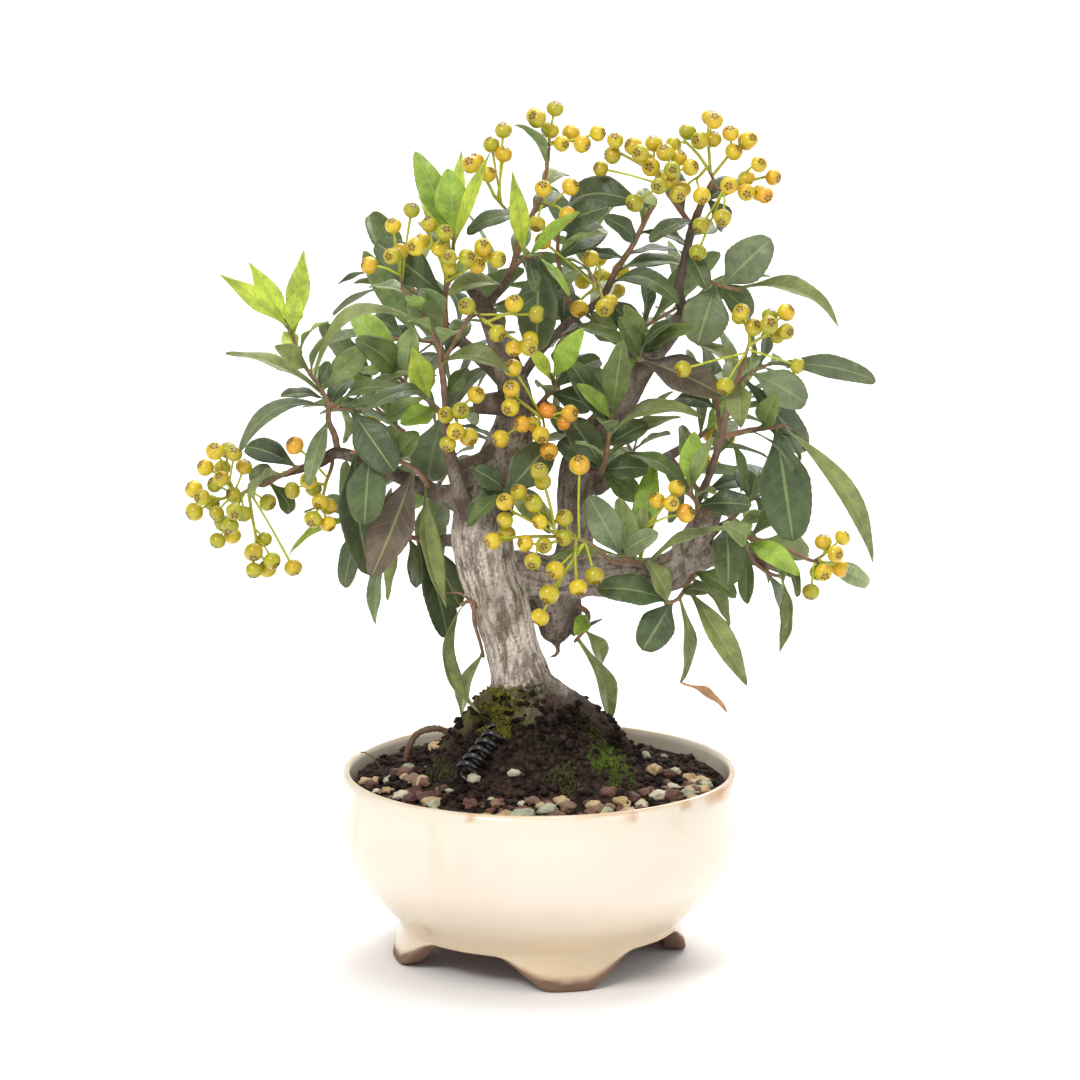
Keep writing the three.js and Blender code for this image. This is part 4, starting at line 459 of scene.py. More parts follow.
            [22, -2, 169, 47, 6, 183, 6.5, 35, 0.15, "olive"],
            [22, -1, 168, 10, -7, 185, 11, 70, 0.06, "dark"],
            [21, 2, 166, 6, 5, 175, 10, 60, 0.1, "dark"],
            [21, 0, 167, 36, -6, 168, 9, 60, 0.14, "dark"],
            [23, -4, 175, 33, 5, 181, 8, 60, 0.1, "dark"],
            [20, 3, 165, 33, 11, 154, 9, 60, 0.1, "mid"],
        ],
    },
    "centre": {
        "shoots": [
            [[-13, -3, 164, 1.6], [-10, -8, 165, 1.6], [-11, -13, 162, 1.3], [-12, -17, 161, 1]],
        ],
        "leaves": [
            [-12, -17, 161, 3, -20, 179, 13, 82, 0.04, "dark"],
            [-12, -14, 162, -22, -17, 170, 8, 55, 0.12, "dark"],
        ],
    },
    "middle_bright": {
        "shoots": [
            [[-2, 4, 185, 1.6], [2, 0, 191, 1.2], [5, -3, 195, 1], [4, -4, 199, 0.8]],
        ],
        "leaves": [
            [4, -4, 198, 14, -9, 215, 8, 72, 0.03, "bright"],
            [5, -3, 196, -5, 1, 209, 5.5, 55, 0.05, "lime"],
            [5, -3, 196, 20, 5, 203, 9, 55, 0.12, "dark"],
            [5, -3, 195, 17, 3, 187, 9, 60, 0.12, "dark"],
            [2, 1, 190, 8, -3, 180, 7, 60, 0.1, "mid"],
        ],
    },
    "trunk_right": {
        "shoots": [
            [[10, 10, 119, 1.4], [16, 7, 116, 1.1], [15, 5, 111, 1], [12, 5, 107, 0.8]],
        ],
        "leaves": [
            [12, 5, 108, 21, 9, 74, 8.5, 45, 0.17, "olive"],
            [16, 7, 116, 12, 1, 110, 6, 80, 0, "bright"],
            [15, 5, 111, 21, 13, 97, 7, 50, 0.1, "olive"],
        ],
    },
}

# Leafy stems at the back: (name, start, end, leaves)
BACK_SPRAYS = [
    ("rear_left_low_tip", [-45, 36, 171], [-58, 50, 180], 5),
    ("rear_left_low_hanging", [-30, 25, 163], [-36, 42, 150], 5),
    ("rear_left_low_upright", [-36, 29, 166], [-28, 48, 184], 5),
    ("rear_left_high_tip", [-36, 33, 214], [-48, 44, 226], 5),
    ("rear_left_high_side", [-25, 25, 204], [-50, 28, 206], 5),
    ("rear_left_high_inner", [-30, 29, 209], [-16, 46, 214], 5),
    ("rear_right_low_tip", [52, 46, 167], [66, 54, 176], 5),
    ("rear_right_low_inner", [34, 32, 161], [28, 54, 168], 5),
    ("rear_right_low_hanging", [44, 40, 163], [58, 42, 146], 5),
    ("rear_right_high_tip", [20, 43, 218], [14, 58, 230], 5),
    ("rear_right_high_side", [30, 27, 207], [50, 42, 216], 5),
    ("rear_right_high_inner", [25, 37, 213], [2, 40, 202], 5),
]

# Berry bunches: stalk as a path, umbels [x, y, z, reach, berries, ripeness],
# single berries [x, y, z, radius, ripeness]
BUNCHES = {
    "left": {
        "stalk": [[-92, -9.5, 164, 0.9], [-96, -10, 162, 0.9], [-101, -11, 159, 0.8]],
        "umbels": [
            [-105, -10, 170, 7.5, 9, 0.15],
            [-110, -8, 157, 6.5, 8, 0.2],
            [-101, -14, 156, 6, 7, 0.15],
            [-104, -8, 147, 4.5, 4, 0.1],
            [-93, -11, 139, 6.5, 7, 0.2],
        ],
        "singles": [
            [-90, -13, 158, 3, 0.2],
            [-82, -9, 135, 3.1, 0.2],
        ],
    },
    "left_inner": {
        "stalk": [[-68.7, -5.6, 172, 0.9], [-69, -9, 169, 0.9], [-71, -13, 164, 0.8]],
        "umbels": [
            [-79, -14, 164, 5.5, 6, 0.2],
            [-73, -15, 155, 5, 6, 0.35],
        ],
        "singles": [
            [-81, -12, 177, 3.2, 0.75],
        ],
    },
    "front_top": {
        "stalk": [[-31, -15, 228, 0.9], [-31, -17, 235, 0.8]],
        "umbels": [
            [-36, -20, 248, 6, 5, 0.25],
            [-27, -22, 242, 6, 5, 0.15],
            [-19, -19, 240, 6, 5, 0.35],
        ],
        "singles": [
        ],
    },
    "front_side": {
        "stalk": [[-45, -16, 231, 0.7], [-46, -17, 236, 0.6]],
        "umbels": [
            [-46, -18, 244, 4.5, 3, 0.2],
        ],
        "singles": [
            [-56, -17, 238, 3, 0.3],
            [-48, -16, 251, 2.8, 0.3],
            [-42, -15, 256, 2.8, 0.2],
        ],
    },
    "leader_side": {
        "stalk": [[-5.2, 1.2, 247, 0.9], [-10, 3, 252, 0.8], [-15, 1, 258, 0.7]],
        "umbels": [
            [-21, 0, 268, 5, 4, 0.55],
        ],
        "singles": [
            [-12, 2, 272, 3, 0.5],
            [-12, 1, 280, 2.9, 0.3],
            [-16, 3, 275, 2.8, 0.2],
        ],
    },
    "top": {
        "stalk": [[3, 0, 275, 0.7], [3, 0, 277, 0.6]],
        "umbels": [
            [2, 0, 283, 5.5, 6, 0.35],
            [11, 2, 277, 5, 4, 0.45],
        ],
        "singles": [
            [5, 2, 287, 2.9, 0.2],
            [19, 1, 279, 2.8, 0.4],
        ],
    },
    "top_low": {
        "stalk": [[-1, 0.2, 256, 0.7], [4, -4, 256, 0.6]],
        "umbels": [
        ],
        "singles": [
            [10, -4, 262, 3, 0.6],
            [9, -6, 253, 2.9, 0.4],
            [1, -8, 262, 2.9, 0.3],
            [-1, -6, 250, 2.9, 0.3],
        ],
    },
    "crown_left": {
        "stalk": [[42, 1, 261, 0.8], [40, 0, 264, 0.7]],
        "umbels": [
            [24, 0, 274, 4.5, 4, 0.15],
            [34, -5, 273, 6, 6, 0.3],
            [44, -7, 269, 6, 6, 0.2],
            [41, -9, 263, 5.5, 4, 0.15],
        ],
        "singles": [
            [31, -6, 257, 3.2, 0.1],
            [20, 3, 267, 2.7, 0.2],
        ],
    },
    "crown_middle": {
        "stalk": [[57, 2, 264, 0.8], [55, 1, 268, 0.7]],
        "umbels": [
            [50, -5, 263, 5.5, 5, 0.25],
            [46, 4, 278, 4.5, 4, 0.2],
            [55, 3, 280, 5.5, 5, 0.25],
            [66, 4, 276, 5, 4, 0.3],
        ],
        "singles": [
        ],
    },
    "crown_right": {
        "stalk": [[56.6, 2.2, 262, 0.9], [60, 2, 260, 0.9], [65, 0, 262, 0.8]],
        "umbels": [
            [69, 0, 268, 4.5, 4, 0.35],
            [76, 2, 265, 4.5, 4, 0.45],
            [72, -4, 261, 4.5, 4, 0.55],
        ],
        "singles": [
            [62, -8, 263, 3, 0.5],
            [53, -4, 249, 3, 0.15],
            [60, -6, 252, 3, 0.15],
            [52, -3, 240, 3, 0.2],
        ],
    },
    "right": {
        "stalk": [[67, -7, 203, 0.8], [68, -8, 207, 0.8], [69, -9, 211, 0.7]],
        "umbels": [
            [68, -11, 219, 5, 4, 0.15],
            [78, -12, 217, 5.5, 6, 0.2],
        ],
        "singles": [
            [85, -8, 203, 2.8, 0.15],
            [61, -13, 197, 3.1, 0.2],
            [47, -14, 203, 2.9, 0.15],
        ],
    },
    "centre_upper": {
        "stalk": [[-21, -16, 222, 0.7], [-18, -18, 219, 0.6]],
        "umbels": [
            [-7, -20, 224, 4, 3, 0.2],
            [-4, -20, 211, 5, 4, 0.25],
        ],
        "singles": [
            [-14, -20, 216, 3, 0.1],
            [-1, -18, 222, 3, 0.1],
            [-24, -20, 225, 3, 0.2],
        ],
    },
    "centre": {
        "stalk": [[-0.4, 2.2, 188, 0.9], [1, -4, 185, 0.8], [0, -10, 186, 0.7]],
        "umbels": [
            [-3, -14, 183, 5.5, 5, 0.5],
            [-9, -13, 194, 5, 3, 0.5],
            [6, -10, 187, 4.5, 3, 0.75],
        ],
        "singles": [
            [-9, -12, 203, 3.1, 0.5],
            [-13, -11, 179, 3, 0.4],
            [3, -12, 175, 3.1, 0.6],
        ],
    },
    "centre_left": {
        "stalk": [[-29, -12, 187, 0.7], [-28, -14, 187, 0.6]],
        "umbels": [
            [-27, -18, 182, 5.5, 5, 0.2],
        ],
        "singles": [
            [-21, -17, 195, 3, 0.15],
            [-26, -19, 190, 3, 0.1],
            [-31, -16, 188, 2.9, 0.15],
        ],
    },
    "lower": {
        "stalk": [[29, -13.8, 138, 1], [24, -18, 139, 1], [16, -21, 146, 0.9], [5, -26, 150, 0.8]],
        "umbels": [
            [1, -27, 169, 4.5, 4, 0.2],
            [-11, -28, 159, 4.5, 3, 0.15],
            [-1, -30, 158, 5, 4, 0.2],
            [-13, -27, 149, 4, 3, 0.25],
            [-3, -31, 146, 5, 5, 0.3],
            [8, -25, 152, 3.5, 3, 0.1],
            [12, -26, 133, 4.5, 4, 0.35],
        ],
        "singles": [
            [13, -25, 173, 3.5, 0.7],
            [-7, -26, 164, 2.8, 0.1],
            [18, -22, 135, 3.3, 0.3],
            [3, -27, 130, 3.4, 0.15],
            [0, -26, 122, 3.1, 0.2],
            [5, -26, 138, 3.2, 0.15],
        ],
    },
    "right_small": {
        "stalk": [[28.1, -14.4, 139, 0.8], [31, -15, 143, 0.8], [36, -18, 152, 0.7]],
        "umbels": [
            [42, -20, 160, 3.8, 3, 0.2],
        ],
        "singles": [
            [48, -21, 156, 3.3, 0.75],
            [45, -19, 164, 2.9, 0.2],
        ],
    },
    "right_low": {
        "stalk": [[91, -8, 137, 0.8], [94, -8, 139, 0.7]],
        "umbels": [
            [98, -8, 143, 4.5, 5, 0.3],
            [94, -9, 134, 4, 4, 0.2],
        ],
        "singles": [
            [100, -6, 134, 3, 0.4],
            [90, -10, 127, 3, 0.1],
        ],
    },
    "upper_inner": {
        "stalk": [[20, 8, 225, 0.8], [19, 4, 228, 0.7]],
        "umbels": [
            [20, 3, 236, 4.2, 3, 0.35],
            [11, 2, 221, 4, 3, 0.4],
            [21, -2, 223, 3.8, 3, 0.35],
        ],
        "singles": [
            [1, 2, 243, 2.9, 0.4],
        ],
    },
    "back_left": {
        "stalk": [[-46, 39, 172, 0.9], [-50, 44, 173, 0.8]],
        "umbels": [
            [-54, 48, 174, 5.5, 6, 0.3],
            [-47, 52, 165, 5, 5, 0.4],
        ],
        "singles": [
        ],
    },
    "back_right": {
        "stalk": [[53, 46.8, 168, 0.9], [54.5, 50, 165, 0.9], [58, 53, 165, 0.8]],
        "umbels": [
            [63, 56, 167, 5.5, 6, 0.3],
            [56, 58, 157, 5, 5, 0.4],
        ],
        "singles": [
        ],
    },
    "back_top": {
        "stalk": [[19.3, 44.9, 219, 0.9], [20, 50, 221, 0.8]],
        "umbels": [
            [17, 54, 225, 5.5, 6, 0.35],
            [25, 55, 222, 5, 4, 0.3],
        ],
        "singles": [
        ],
    },
}

# Colours, as sRGB from 0 to 255
LEAF_TONES = {
    "dark": (68, 84, 50),
    "mid": (92, 110, 54),
    "olive": (130, 140, 80),
    "bright": (142, 172, 60),
    "lime": (184, 202, 66),
    "plum": (96, 80, 68),
    "grey": (108, 120, 84),
    "pale": (134, 150, 90),
    "dry": (196, 150, 112),
}
# How sharply a blade is folded along its midrib, by tone
TONE_FOLDS = {
    "dark": 0.12, "mid": 0.22, "olive": 0.34, "bright": 0.16, "lime": 0.2, "plum": 0.2, "grey": 0.16,
    "pale": 0.22, "dry": 0.5,
}
# How far a blade narrows to its tip, by tone
TIP_POINTS = {
    "dark": 0.22, "mid": 0.4, "olive": 0.62, "bright": 0.5, "lime": 0.8, "plum": 0.4, "grey": 0.3,
    "pale": 0.45, "dry": 0.7,
}


# From sRGB to linear light
def linear(colour):
    shares = np.array(colour, float) / 255
    return np.where(shares <= 0.04045, shares / 12.92, ((shares + 0.055) / 1.055) ** 2.4)


# Numbers between low and high, the same on each run
def seeded(seed):
    state = seed

    def draw(low, high):
        nonlocal state
        state = (state * 1664525 + 1013904223) & 0xFFFFFFFF
        return low + (high - low) * (state / 4294967296)

    return draw


def unit(v):
    return v / math.sqrt(v @ v)


def vec(row):
    return np.array(row[:3], float)


def mix(a, b, share):
    return a + (b - a) * share


def smooth(low, high, value):
    t = np.clip((value - low) / (high - low), 0, 1)
    return t * t * (3 - 2 * t)


# Places already taken, kept in cubes so that neighbours are found quickly
class Crowd:
    def __init__(self):
        self.cubes = {}

    def add(self, samples, owner):
        for x, y, z, share in samples:
            key = (x // BLADE_SPACING, y // BLADE_SPACING, z // BLADE_SPACING)
            self.cubes.setdefault(key, []).append((x, y, z, share, owner))

    def clash(self, x, y, z, share, owner):
        a, b, c = x // BLADE_SPACING, y // BLADE_SPACING, z // BLADE_SPACING
        for i in (a - 1, a, a + 1):
            for j in (b - 1, b, b + 1):
                for k in (c - 1, c, c + 1):
                    for ox, oy, oz, other_share, other in self.cubes.get((i, j, k), ()):
                        if other == owner and min(share, other_share) < JOINED_SHARE:
                            continue
                        if math.sqrt((ox - x) ** 2 + (oy - y) ** 2 + (oz - z) ** 2) < BLADE_SPACING:
                            return True
        return False

    def clashes(self, samples, owner):
        return sum(1 for x, y, z, s in samples if s >= TESTED_SHARE and self.clash(x, y, z, s, owner))


crowd = Crowd()


# Points on the surface of a round limb
def limb_samples(path):
    samples = []
    for first, second in zip(path, path[1:]):
        start, end = vec(first), vec(second)
        along = end - start
        steps = max(1, math.ceil(math.sqrt(along @ along) / SAMPLE_STEP))
        side = unit(np.cross((0.3, 1, 0.2), along))
        across = unit(np.cross(side, along))
        for step in range(steps):
            share = step / steps
            radius = first[3] + (second[3] - first[3]) * share
            centre = mix(start, end, share)
            count = 1 if radius < 1.2 else math.ceil(2 * math.pi * radius / SAMPLE_STEP)
            reach = 0 if count == 1 else radius
            for k in range(count):
                angle = 2 * math.pi * k / count
                x, y, z = centre + side * (reach * math.cos(angle)) + across * (reach * math.sin(angle))
                samples.append((float(x), float(y), float(z), 1))
    return samples


# A leaf is {root, tip, normal, width, arch}
def leaf_points(leaf, shares):
    s = np.asarray(shares, float)[:, None]
    middle = (leaf["root"] + leaf["tip"]) / 2
    reach = leaf["tip"] - leaf["root"]
    middle = middle + leaf["normal"] * (2 * leaf["arch"] * math.sqrt(reach @ reach))
    first = leaf["root"] + (middle - leaf["root"]) * s
    second = middle + (leaf["tip"] - middle) * s
    return first + (second - first) * s


def leaf_frames(leaf, shares):
    s = np.asarray(shares, float)
    along = leaf_points(leaf, s + 0.02) - leaf_points(leaf, s - 0.02)
    along /= np.linalg.norm(along, axis=1, keepdims=True)
    side = np.cross(along, leaf["normal"])
    side /= np.linalg.norm(side, axis=1, keepdims=True)
    return leaf_points(leaf, s), side, np.cross(side, along)


# Half a blade's width along it, for a leaf one wide
def blade(shares):
    s = np.asarray(shares, float)
    rise = 0.12 + 0.88 * smooth(0.02, 0.5, s)
    rounded = np.sqrt(np.maximum(0, 1 - ((s - 0.5) / 0.5) ** 4))
    return 0.5 * np.where(s < 0.5, rise, rounded)


def leaf_samples(leaf):
    reach = leaf["tip"] - leaf["root"]
    rows = math.ceil(math.sqrt(reach @ reach) / SAMPLE_STEP)
    columns = math.ceil(leaf["width"] / SAMPLE_STEP)
    shares = np.arange(1, rows + 1) / rows
    centres, sides, _ = leaf_frames(leaf, shares)
    halves = blade(shares) * leaf["width"]
    samples = []
    for share, centre, side, half in zip(shares, centres, sides, halves):
        for k in range(columns + 1):
            x, y, z = centre + side * (half * (2 * k / columns - 1))
            samples.append((float(x), float(y), float(z), float(share)))
    return samples


def front_normal(root, tip, face_degrees):
    along = unit(tip - root)
    front = unit(np.array([0, -1, 0]) + along * along[1])
    sky = unit(np.cross(along, front))
    if sky[2] < 0:
        sky = -sky
    angle = face_degrees * DEGREE
    return sky * math.cos(angle) + front * math.sin(angle)


def path_lengths(path):
    return [math.dist(a[:3], b[:3]) for a, b in zip(path, path[1:])]


def point_along(path, distance):
    left = distance
    lengths = path_lengths(path)
    for i, length in enumerate(lengths):
        if left <= length or i + 1 == len(lengths):
            return mix(vec(path[i]), vec(path[i + 1]), min(1, left / length))
        left -= length
    return vec(path[0])


# The free place on the shoots nearest to the wanted one
def root_on(shoots, wanted, used):
    nearest = None
    for path in shoots:
        length = sum(path_lengths(path))
        distance = 0
        while distance <= length:
            away = math.dist(point_along(path, distance), wanted)
            if nearest is None or away < nearest[0]:
                nearest = (away, path, length, distance)
            distance += ROOT_SEARCH_STEP
    _, path, length, distance = nearest
    for slide in ROOT_SLIDES:
        place = distance + slide * ROOT_STEP
        root = point_along(path, max(0, place))
        free = all(math.dist(other, root) >= ROOT_SPACING for other in used)
        if 0 <= place <= length and free:
            used.append(root)
            return root
    return point_along(path, distance)


# A leaf read from the photo, moved a little in depth or at its tip until it is clear of the others
def place_front_leaf(row, shoots, used, owner):
    width, face, arch = row[6:9]
    root = root_on(shoots, row[:3], used)
    best = None
    for aside, above in TIP_NUDGES:
        for step in DEPTH_STEPS:
            tip = np.array([row[3] + aside, row[4], row[5] + above], float) + SIGHT_LINE * step
            leaf = {"root": root, "tip": tip, "width": width, "arch": arch, "tone": row[9]}
            leaf["normal"] = front_normal(root, tip, face)
            samples = leaf_samples(leaf)
            hits = crowd.clashes(samples, owner)
            if best is None or hits < best[0]:
                best = (hits, leaf, samples)
            if hits == 0:
                crowd.add(samples, owner)
                return leaf
    crowd.add(best[2], owner)
    return best[1]


# A leaf placed by rule, turned about its shoot until it is clear, or left out
def place_back_leaf(start, end, share, turn, length, width, arch, owner):
    along = unit(end - start)
    root = mix(start, end, share)
    side = unit(np.cross((0, 0, 1), along))
    over = np.cross(along, side)
    for attempt in range(TURN_TRIES):
        angle = (turn + attempt * TURN_STEP) * DEGREE
        outward = side * math.cos(angle) + over * math.sin(angle)
        spread = BACK_END_SPREAD if share >= 1 else BACK_SPREAD
        aim = unit(along * BACK_FORWARD + outward * spread)
        sky = np.array([0, 0, 1]) + along * BACK_FORWARD + outward * BACK_TILT
        normal = unit(sky - aim * (sky @ aim))
        tip = root + aim * length
        leaf = {"root": root, "tip": tip, "width": width, "arch": arch, "normal": normal}
        samples = leaf_samples(leaf)
        if crowd.clashes(samples, owner) == 0:
            crowd.add(samples, owner)
            return leaf
    return None


def back_shoot(start, end):
    middle = mix(start, end, 0.5)
    first, last = BACK_SHOOT_RADIUS
    return [[*start, first], [*middle, (first + last) / 2], [*end, last]]


# Berries of one bunch, and the stalks that lead to them
GOLD = (1 + math.sqrt(5)) / 2
BALL_CORNERS = [
    unit(np.array(corner, float))
    for corner in [
        (-1, GOLD, 0), (1, GOLD, 0), (-1, -GOLD, 0), (1, -GOLD, 0),
        (0, -1, GOLD), (0, 1, GOLD), (0, -1, -GOLD), (0, 1, -GOLD),
        (GOLD, 0, -1), (GOLD, 0, 1), (-GOLD, 0, -1), (-GOLD, 0, 1),
    ]
]
berries_placed = []
draw_berry = seeded(BERRY_SEED)


def in_ball(centre, reach):
    while True:
        x, y, z = draw_berry(-1, 1), draw_berry(-1, 1), draw_berry(-1, 1)
        if x * x + y * y + z * z <= 1:
            return centre + np.array([x, y, z]) * reach


def berry_samples(centre, radius):
    samples = []
    for corner in BALL_CORNERS:
        x, y, z = centre + (corner * radius).astype(np.float32).astype(float)
        samples.append((float(x), float(y), float(z), 1))
    return samples


def fork_point(start, end, index):
    return mix(end, start, min(0.9, index * PEDICEL_STEP / math.dist(start, end)))


def place_umbel(owner, umbel, start, end):
    x, y, z, reach, count, ripeness = umbel
    berries = []
    for _ in range(count):
        radius = draw_berry(*BERRY_RADIUS)
        for _ in range(BERRY_TRIES):
            place = in_ball(np.array([x, y, z], float), reach)
            apart = all(
                math.dist(other["centre"], place) >= other["radius"] + radius + BERRY_GAP
                for other in berries_placed
            )
            if apart and crowd.clashes(berry_samples(place, radius), owner) == 0:
                berry = {"centre": place, "radius": radius, "ripeness": ripeness}
                berries.append(berry)
                berries_placed.append(berry)
                break
    along = end - start
    berries.sort(key=lambda berry: -(along @ berry["centre"]))
    for i, berry in enumerate(berries):
        berry["fork"] = fork_point(start, end, i)
    return berries


def place_bunch(name, bunch):
    before, end = vec(bunch["stalk"][-2]), vec(bunch["stalk"][-1])
    umbels = bunch["umbels"]
    berries = []
    for i, (x, y, z, radius, ripeness) in enumerate(bunch["singles"]):
        fork = fork_point(before, end, len(umbels) + i)
        centre = np.array([x, y, z], float)
        berries.append({"centre": centre, "radius": radius, "fork": fork, "ripeness": ripeness})
    berries_placed.extend(berries)
    axes = []
    for i, umbel in enumerate(umbels):
        fork = fork_point(before, end, i)
        away = math.dist(umbel[:3], fork)
        core = mix(vec(umbel), fork, min(0.9, CORE_SHARE * umbel[3] / away))
        berries.extend(place_umbel(name, umbel, fork, core))
        axes.append((fork, core))
    crowd.add(limb_samples(bunch["stalk"]), name)
    for berry in berries:
        crowd.add(berry_samples(berry["centre"], berry["radius"]), name)
        crowd.add(limb_samples([[*berry["fork"], 0.5], [*berry["centre"], 0.5]]), name)
    return axes, berries


# Wood and shoots take their places first, then berries, then leaves from the front to the back
for path in WOOD.values():
    crowd.add(limb_samples(path), "wood")
for name, spray in SPRAYS.items():
    for path in spray["shoots"]:
        crowd.add(limb_samples(path), name)
back_paths = {}
for name, start, end, _ in BACK_SPRAYS:
    back_paths[name] = back_shoot(vec(start), vec(end))
    crowd.add(limb_samples(back_paths[name]), name)
bunches = {name: place_bunch(name, bunch) for name, bunch in BUNCHES.items()}
sprays = {}
for name, spray in SPRAYS.items():
    used = []
    leaves = [place_front_leaf(row, spray["shoots"], used, name) for row in spray["leaves"]]
    sprays[name] = (spray["shoots"], leaves)
draw_back = seeded(BACK_SEED)
for name, start, end, count in BACK_SPRAYS:
    leaves = []
    for i in range(count):
        length = draw_back(*BACK_LEAF_LENGTH)
        width = draw_back(*BACK_LEAF_WIDTH)
        arch = draw_back(*BACK_LEAF_ARCH)
        leaf = place_back_leaf(
            vec(start), vec(end), (i + 1) / count, i * GOLDEN_ANGLE, length, width, arch, name
        )
        if leaf is not None:
            leaf["tone"] = BACK_TONES[(i + len(name)) % len(BACK_TONES)]
            leaves.append(leaf)
    sprays[name] = ([back_paths[name]], leaves)

# Small leaves that fill the crown, kept clear of everything placed before
FILL_SEED = 61
FILL_LENGTH = (13, 24)
FILL_WIDTH = (5, 8.5)
FILL_TONES = ("mid", "dark", "olive", "mid", "bright", "dark", "pale")
FILL_SHARES = (0.3, 0.45, 0.6, 0.75, 0.9)
FILL_LOWEST = 138
FILL_LEAN = np.array([0.3, 0.1, 0])


def fill_leaves():
    draw = seeded(FILL_SEED)
    for name, (shoots, leaves) in sprays.items():
        for number, path in enumerate(shoots):
            length = sum(path_lengths(path))
            for i, share in enumerate(FILL_SHARES):
                start = point_along(path, share * length)
                end = point_along(path, min(length, share * length + 2)) + FILL_LEAN
                size = draw(*FILL_LENGTH)
                turn, width, arch = draw(0, 360), draw(*FILL_WIDTH), draw(*BACK_LEAF_ARCH)
                if start[2] < FILL_LOWEST:
                    continue
                leaf = place_back_leaf(start, end, 0, turn, size, width, arch, name)
                if leaf is not None:
                    leaf["tone"] = FILL_TONES[(i + number + len(name)) % len(FILL_TONES)]
                    leaves.append(leaf)


fill_leaves()


# Vertices, faces and colours gathered for one mesh
class Pile:
    def __init__(self):
        self.points = []
        self.colours = []
        self.maps = []
        self.faces = []
        self.slots = []
        self.count = 0

    def add(self, points, faces, colours, slot, maps=None):
        points = np.asarray(points, float)
        size = len(points)
        colours = np.broadcast_to(np.asarray(colours, float), (size, 4))
        self.points.append(points)
        self.colours.append(colours)
        self.maps.append(np.zeros((size, 2)) if maps is None else maps)
        self.faces.extend([[corner + self.count for corner in face] for face in faces])
        self.slots.extend([slot] * len(faces))
        self.count += size

    def build(self, name, materials):
        points = (np.concatenate(self.points) + SHIFT) * MM
        mesh = bpy.data.meshes.new(name)
        mesh.from_pydata(points.tolist(), [], self.faces)
        mesh.polygons.foreach_set("material_index", self.slots)
        mesh.polygons.foreach_set("use_smooth", [True] * len(self.faces))
        tone = mesh.color_attributes.new("Tone", "FLOAT_COLOR", "POINT")
        tone.data.foreach_set("color", np.concatenate(self.colours).astype(np.float32).ravel())
        corners = np.zeros(len(mesh.loops), np.int32)
        mesh.loops.foreach_get("vertex_index", corners)
        layer = mesh.uv_layers.new(name="Blade")
        maps = np.concatenate(self.maps)[corners]
        layer.data.foreach_set("uv", maps.astype(np.float32).ravel())
        mesh.update()
        piece = bpy.data.objects.new(name, mesh)
        bpy.context.scene.collection.objects.link(piece)
        for material in materials:
            mesh.materials.append(material)
        return piece


def grid_faces(rows, columns, closed=False):
    faces = []
    for i in range(rows - 1):
        for k in range(columns if closed else columns - 1):
            a = i * columns + k
            b = i * columns + (k + 1) % columns
            faces.append([a, b, b + columns, a + columns])
    return faces


def with_alpha(colour):
    return np.array([*linear(colour), 1.0])


# A smooth path through the given rows
def smooth_path(path, step):
    rows = np.array([row[:4] for row in path], float)
    padded = np.vstack([2 * rows[0] - rows[1], rows, 2 * rows[-1] - rows[-2]])
    padded[0, 3], padded[-1, 3] = rows[0, 3], rows[-1, 3]
    result = []
    for i in range(len(rows) - 1):
        a, b, c, d = padded[i : i + 4]
        pieces = max(1, math.ceil(math.dist(b[:3], c[:3]) / step))
        for k in range(pieces):
            t = k / pieces
            point = 0.5 * (
                2 * b + (c - a) * t + (2 * a - 5 * b + 4 * c - d) * t**2 + (3 * b - a - 3 * c + d) * t**3
            )
            point[3] = b[3] + (c[3] - b[3]) * t
            result.append(point)
    result.append(rows[-1])
    return np.array(result)


# A round tube along the path, closed by a low cone at each end
def tube(pile, path, sides, colours, slot):
    centres, radii = path[:, :3], path[:, 3]
    count = len(path)
    aims = np.gradient(centres, axis=0)
    aims /= np.linalg.norm(aims, axis=1, keepdims=True)
    side = np.array([1, 0.3, 0.1])
    points = []
    angles = 2 * math.pi * np.arange(sides) / sides
    for centre, radius, aim in zip(centres, radii, aims):
        side = unit(side - aim * (side @ aim))
        across = np.cross(aim, side)
        ring = np.outer(np.cos(angles), side) + np.outer(np.sin(angles), across)
        points.append(centre + radius * ring)
    start = centres[:1] - aims[:1] * radii[0] * 0.5
    end = centres[-1:] + aims[-1:] * radii[-1] * 0.5
    points = np.concatenate([*points, start, end])
    faces = grid_faces(count, sides, closed=True)
    first, last = count * sides, count * sides + 1
    for k in range(sides):
        faces.append([first, (k + 1) % sides, k])
        faces.append([last, last - 1 - sides + k, last - 1 - sides + (k + 1) % sides])
    colours = np.asarray(colours, float)
    if colours.ndim == 2:
        colours = np.vstack([np.repeat(colours, sides, axis=0), colours[0], colours[-1]])
    pile.add(points, faces, colours, slot)


# Faces of one blade: its upper side, its under side and the rim that joins them
def blade_faces():
    columns = len(BLADE_COLUMNS)
    size = BLADE_ROWS * columns
    upper = grid_faces(BLADE_ROWS, columns)
    faces = upper + [[corner + size for corner in face[::-1]] for face in upper]
    for i in range(BLADE_ROWS - 1):
        a, b = i * columns, (i + 1) * columns
        c, d = a + columns - 1, b + columns - 1
        faces.append([a, b, b + size, a + size])
        faces.append([d, c, c + size, d + size])
    last = size - columns
    faces.append([columns - 1 - k for k in range(columns)] + [size + k for k in range(columns)])
    far = last + size + columns - 1
    faces.append([last + k for k in range(columns)] + [far - k for k in range(columns)])
    return faces


BLADE_FACES = blade_faces()
YELLOWED = (150, 150, 60)
LEAF_UNDERSIDE = (150, 168, 120)


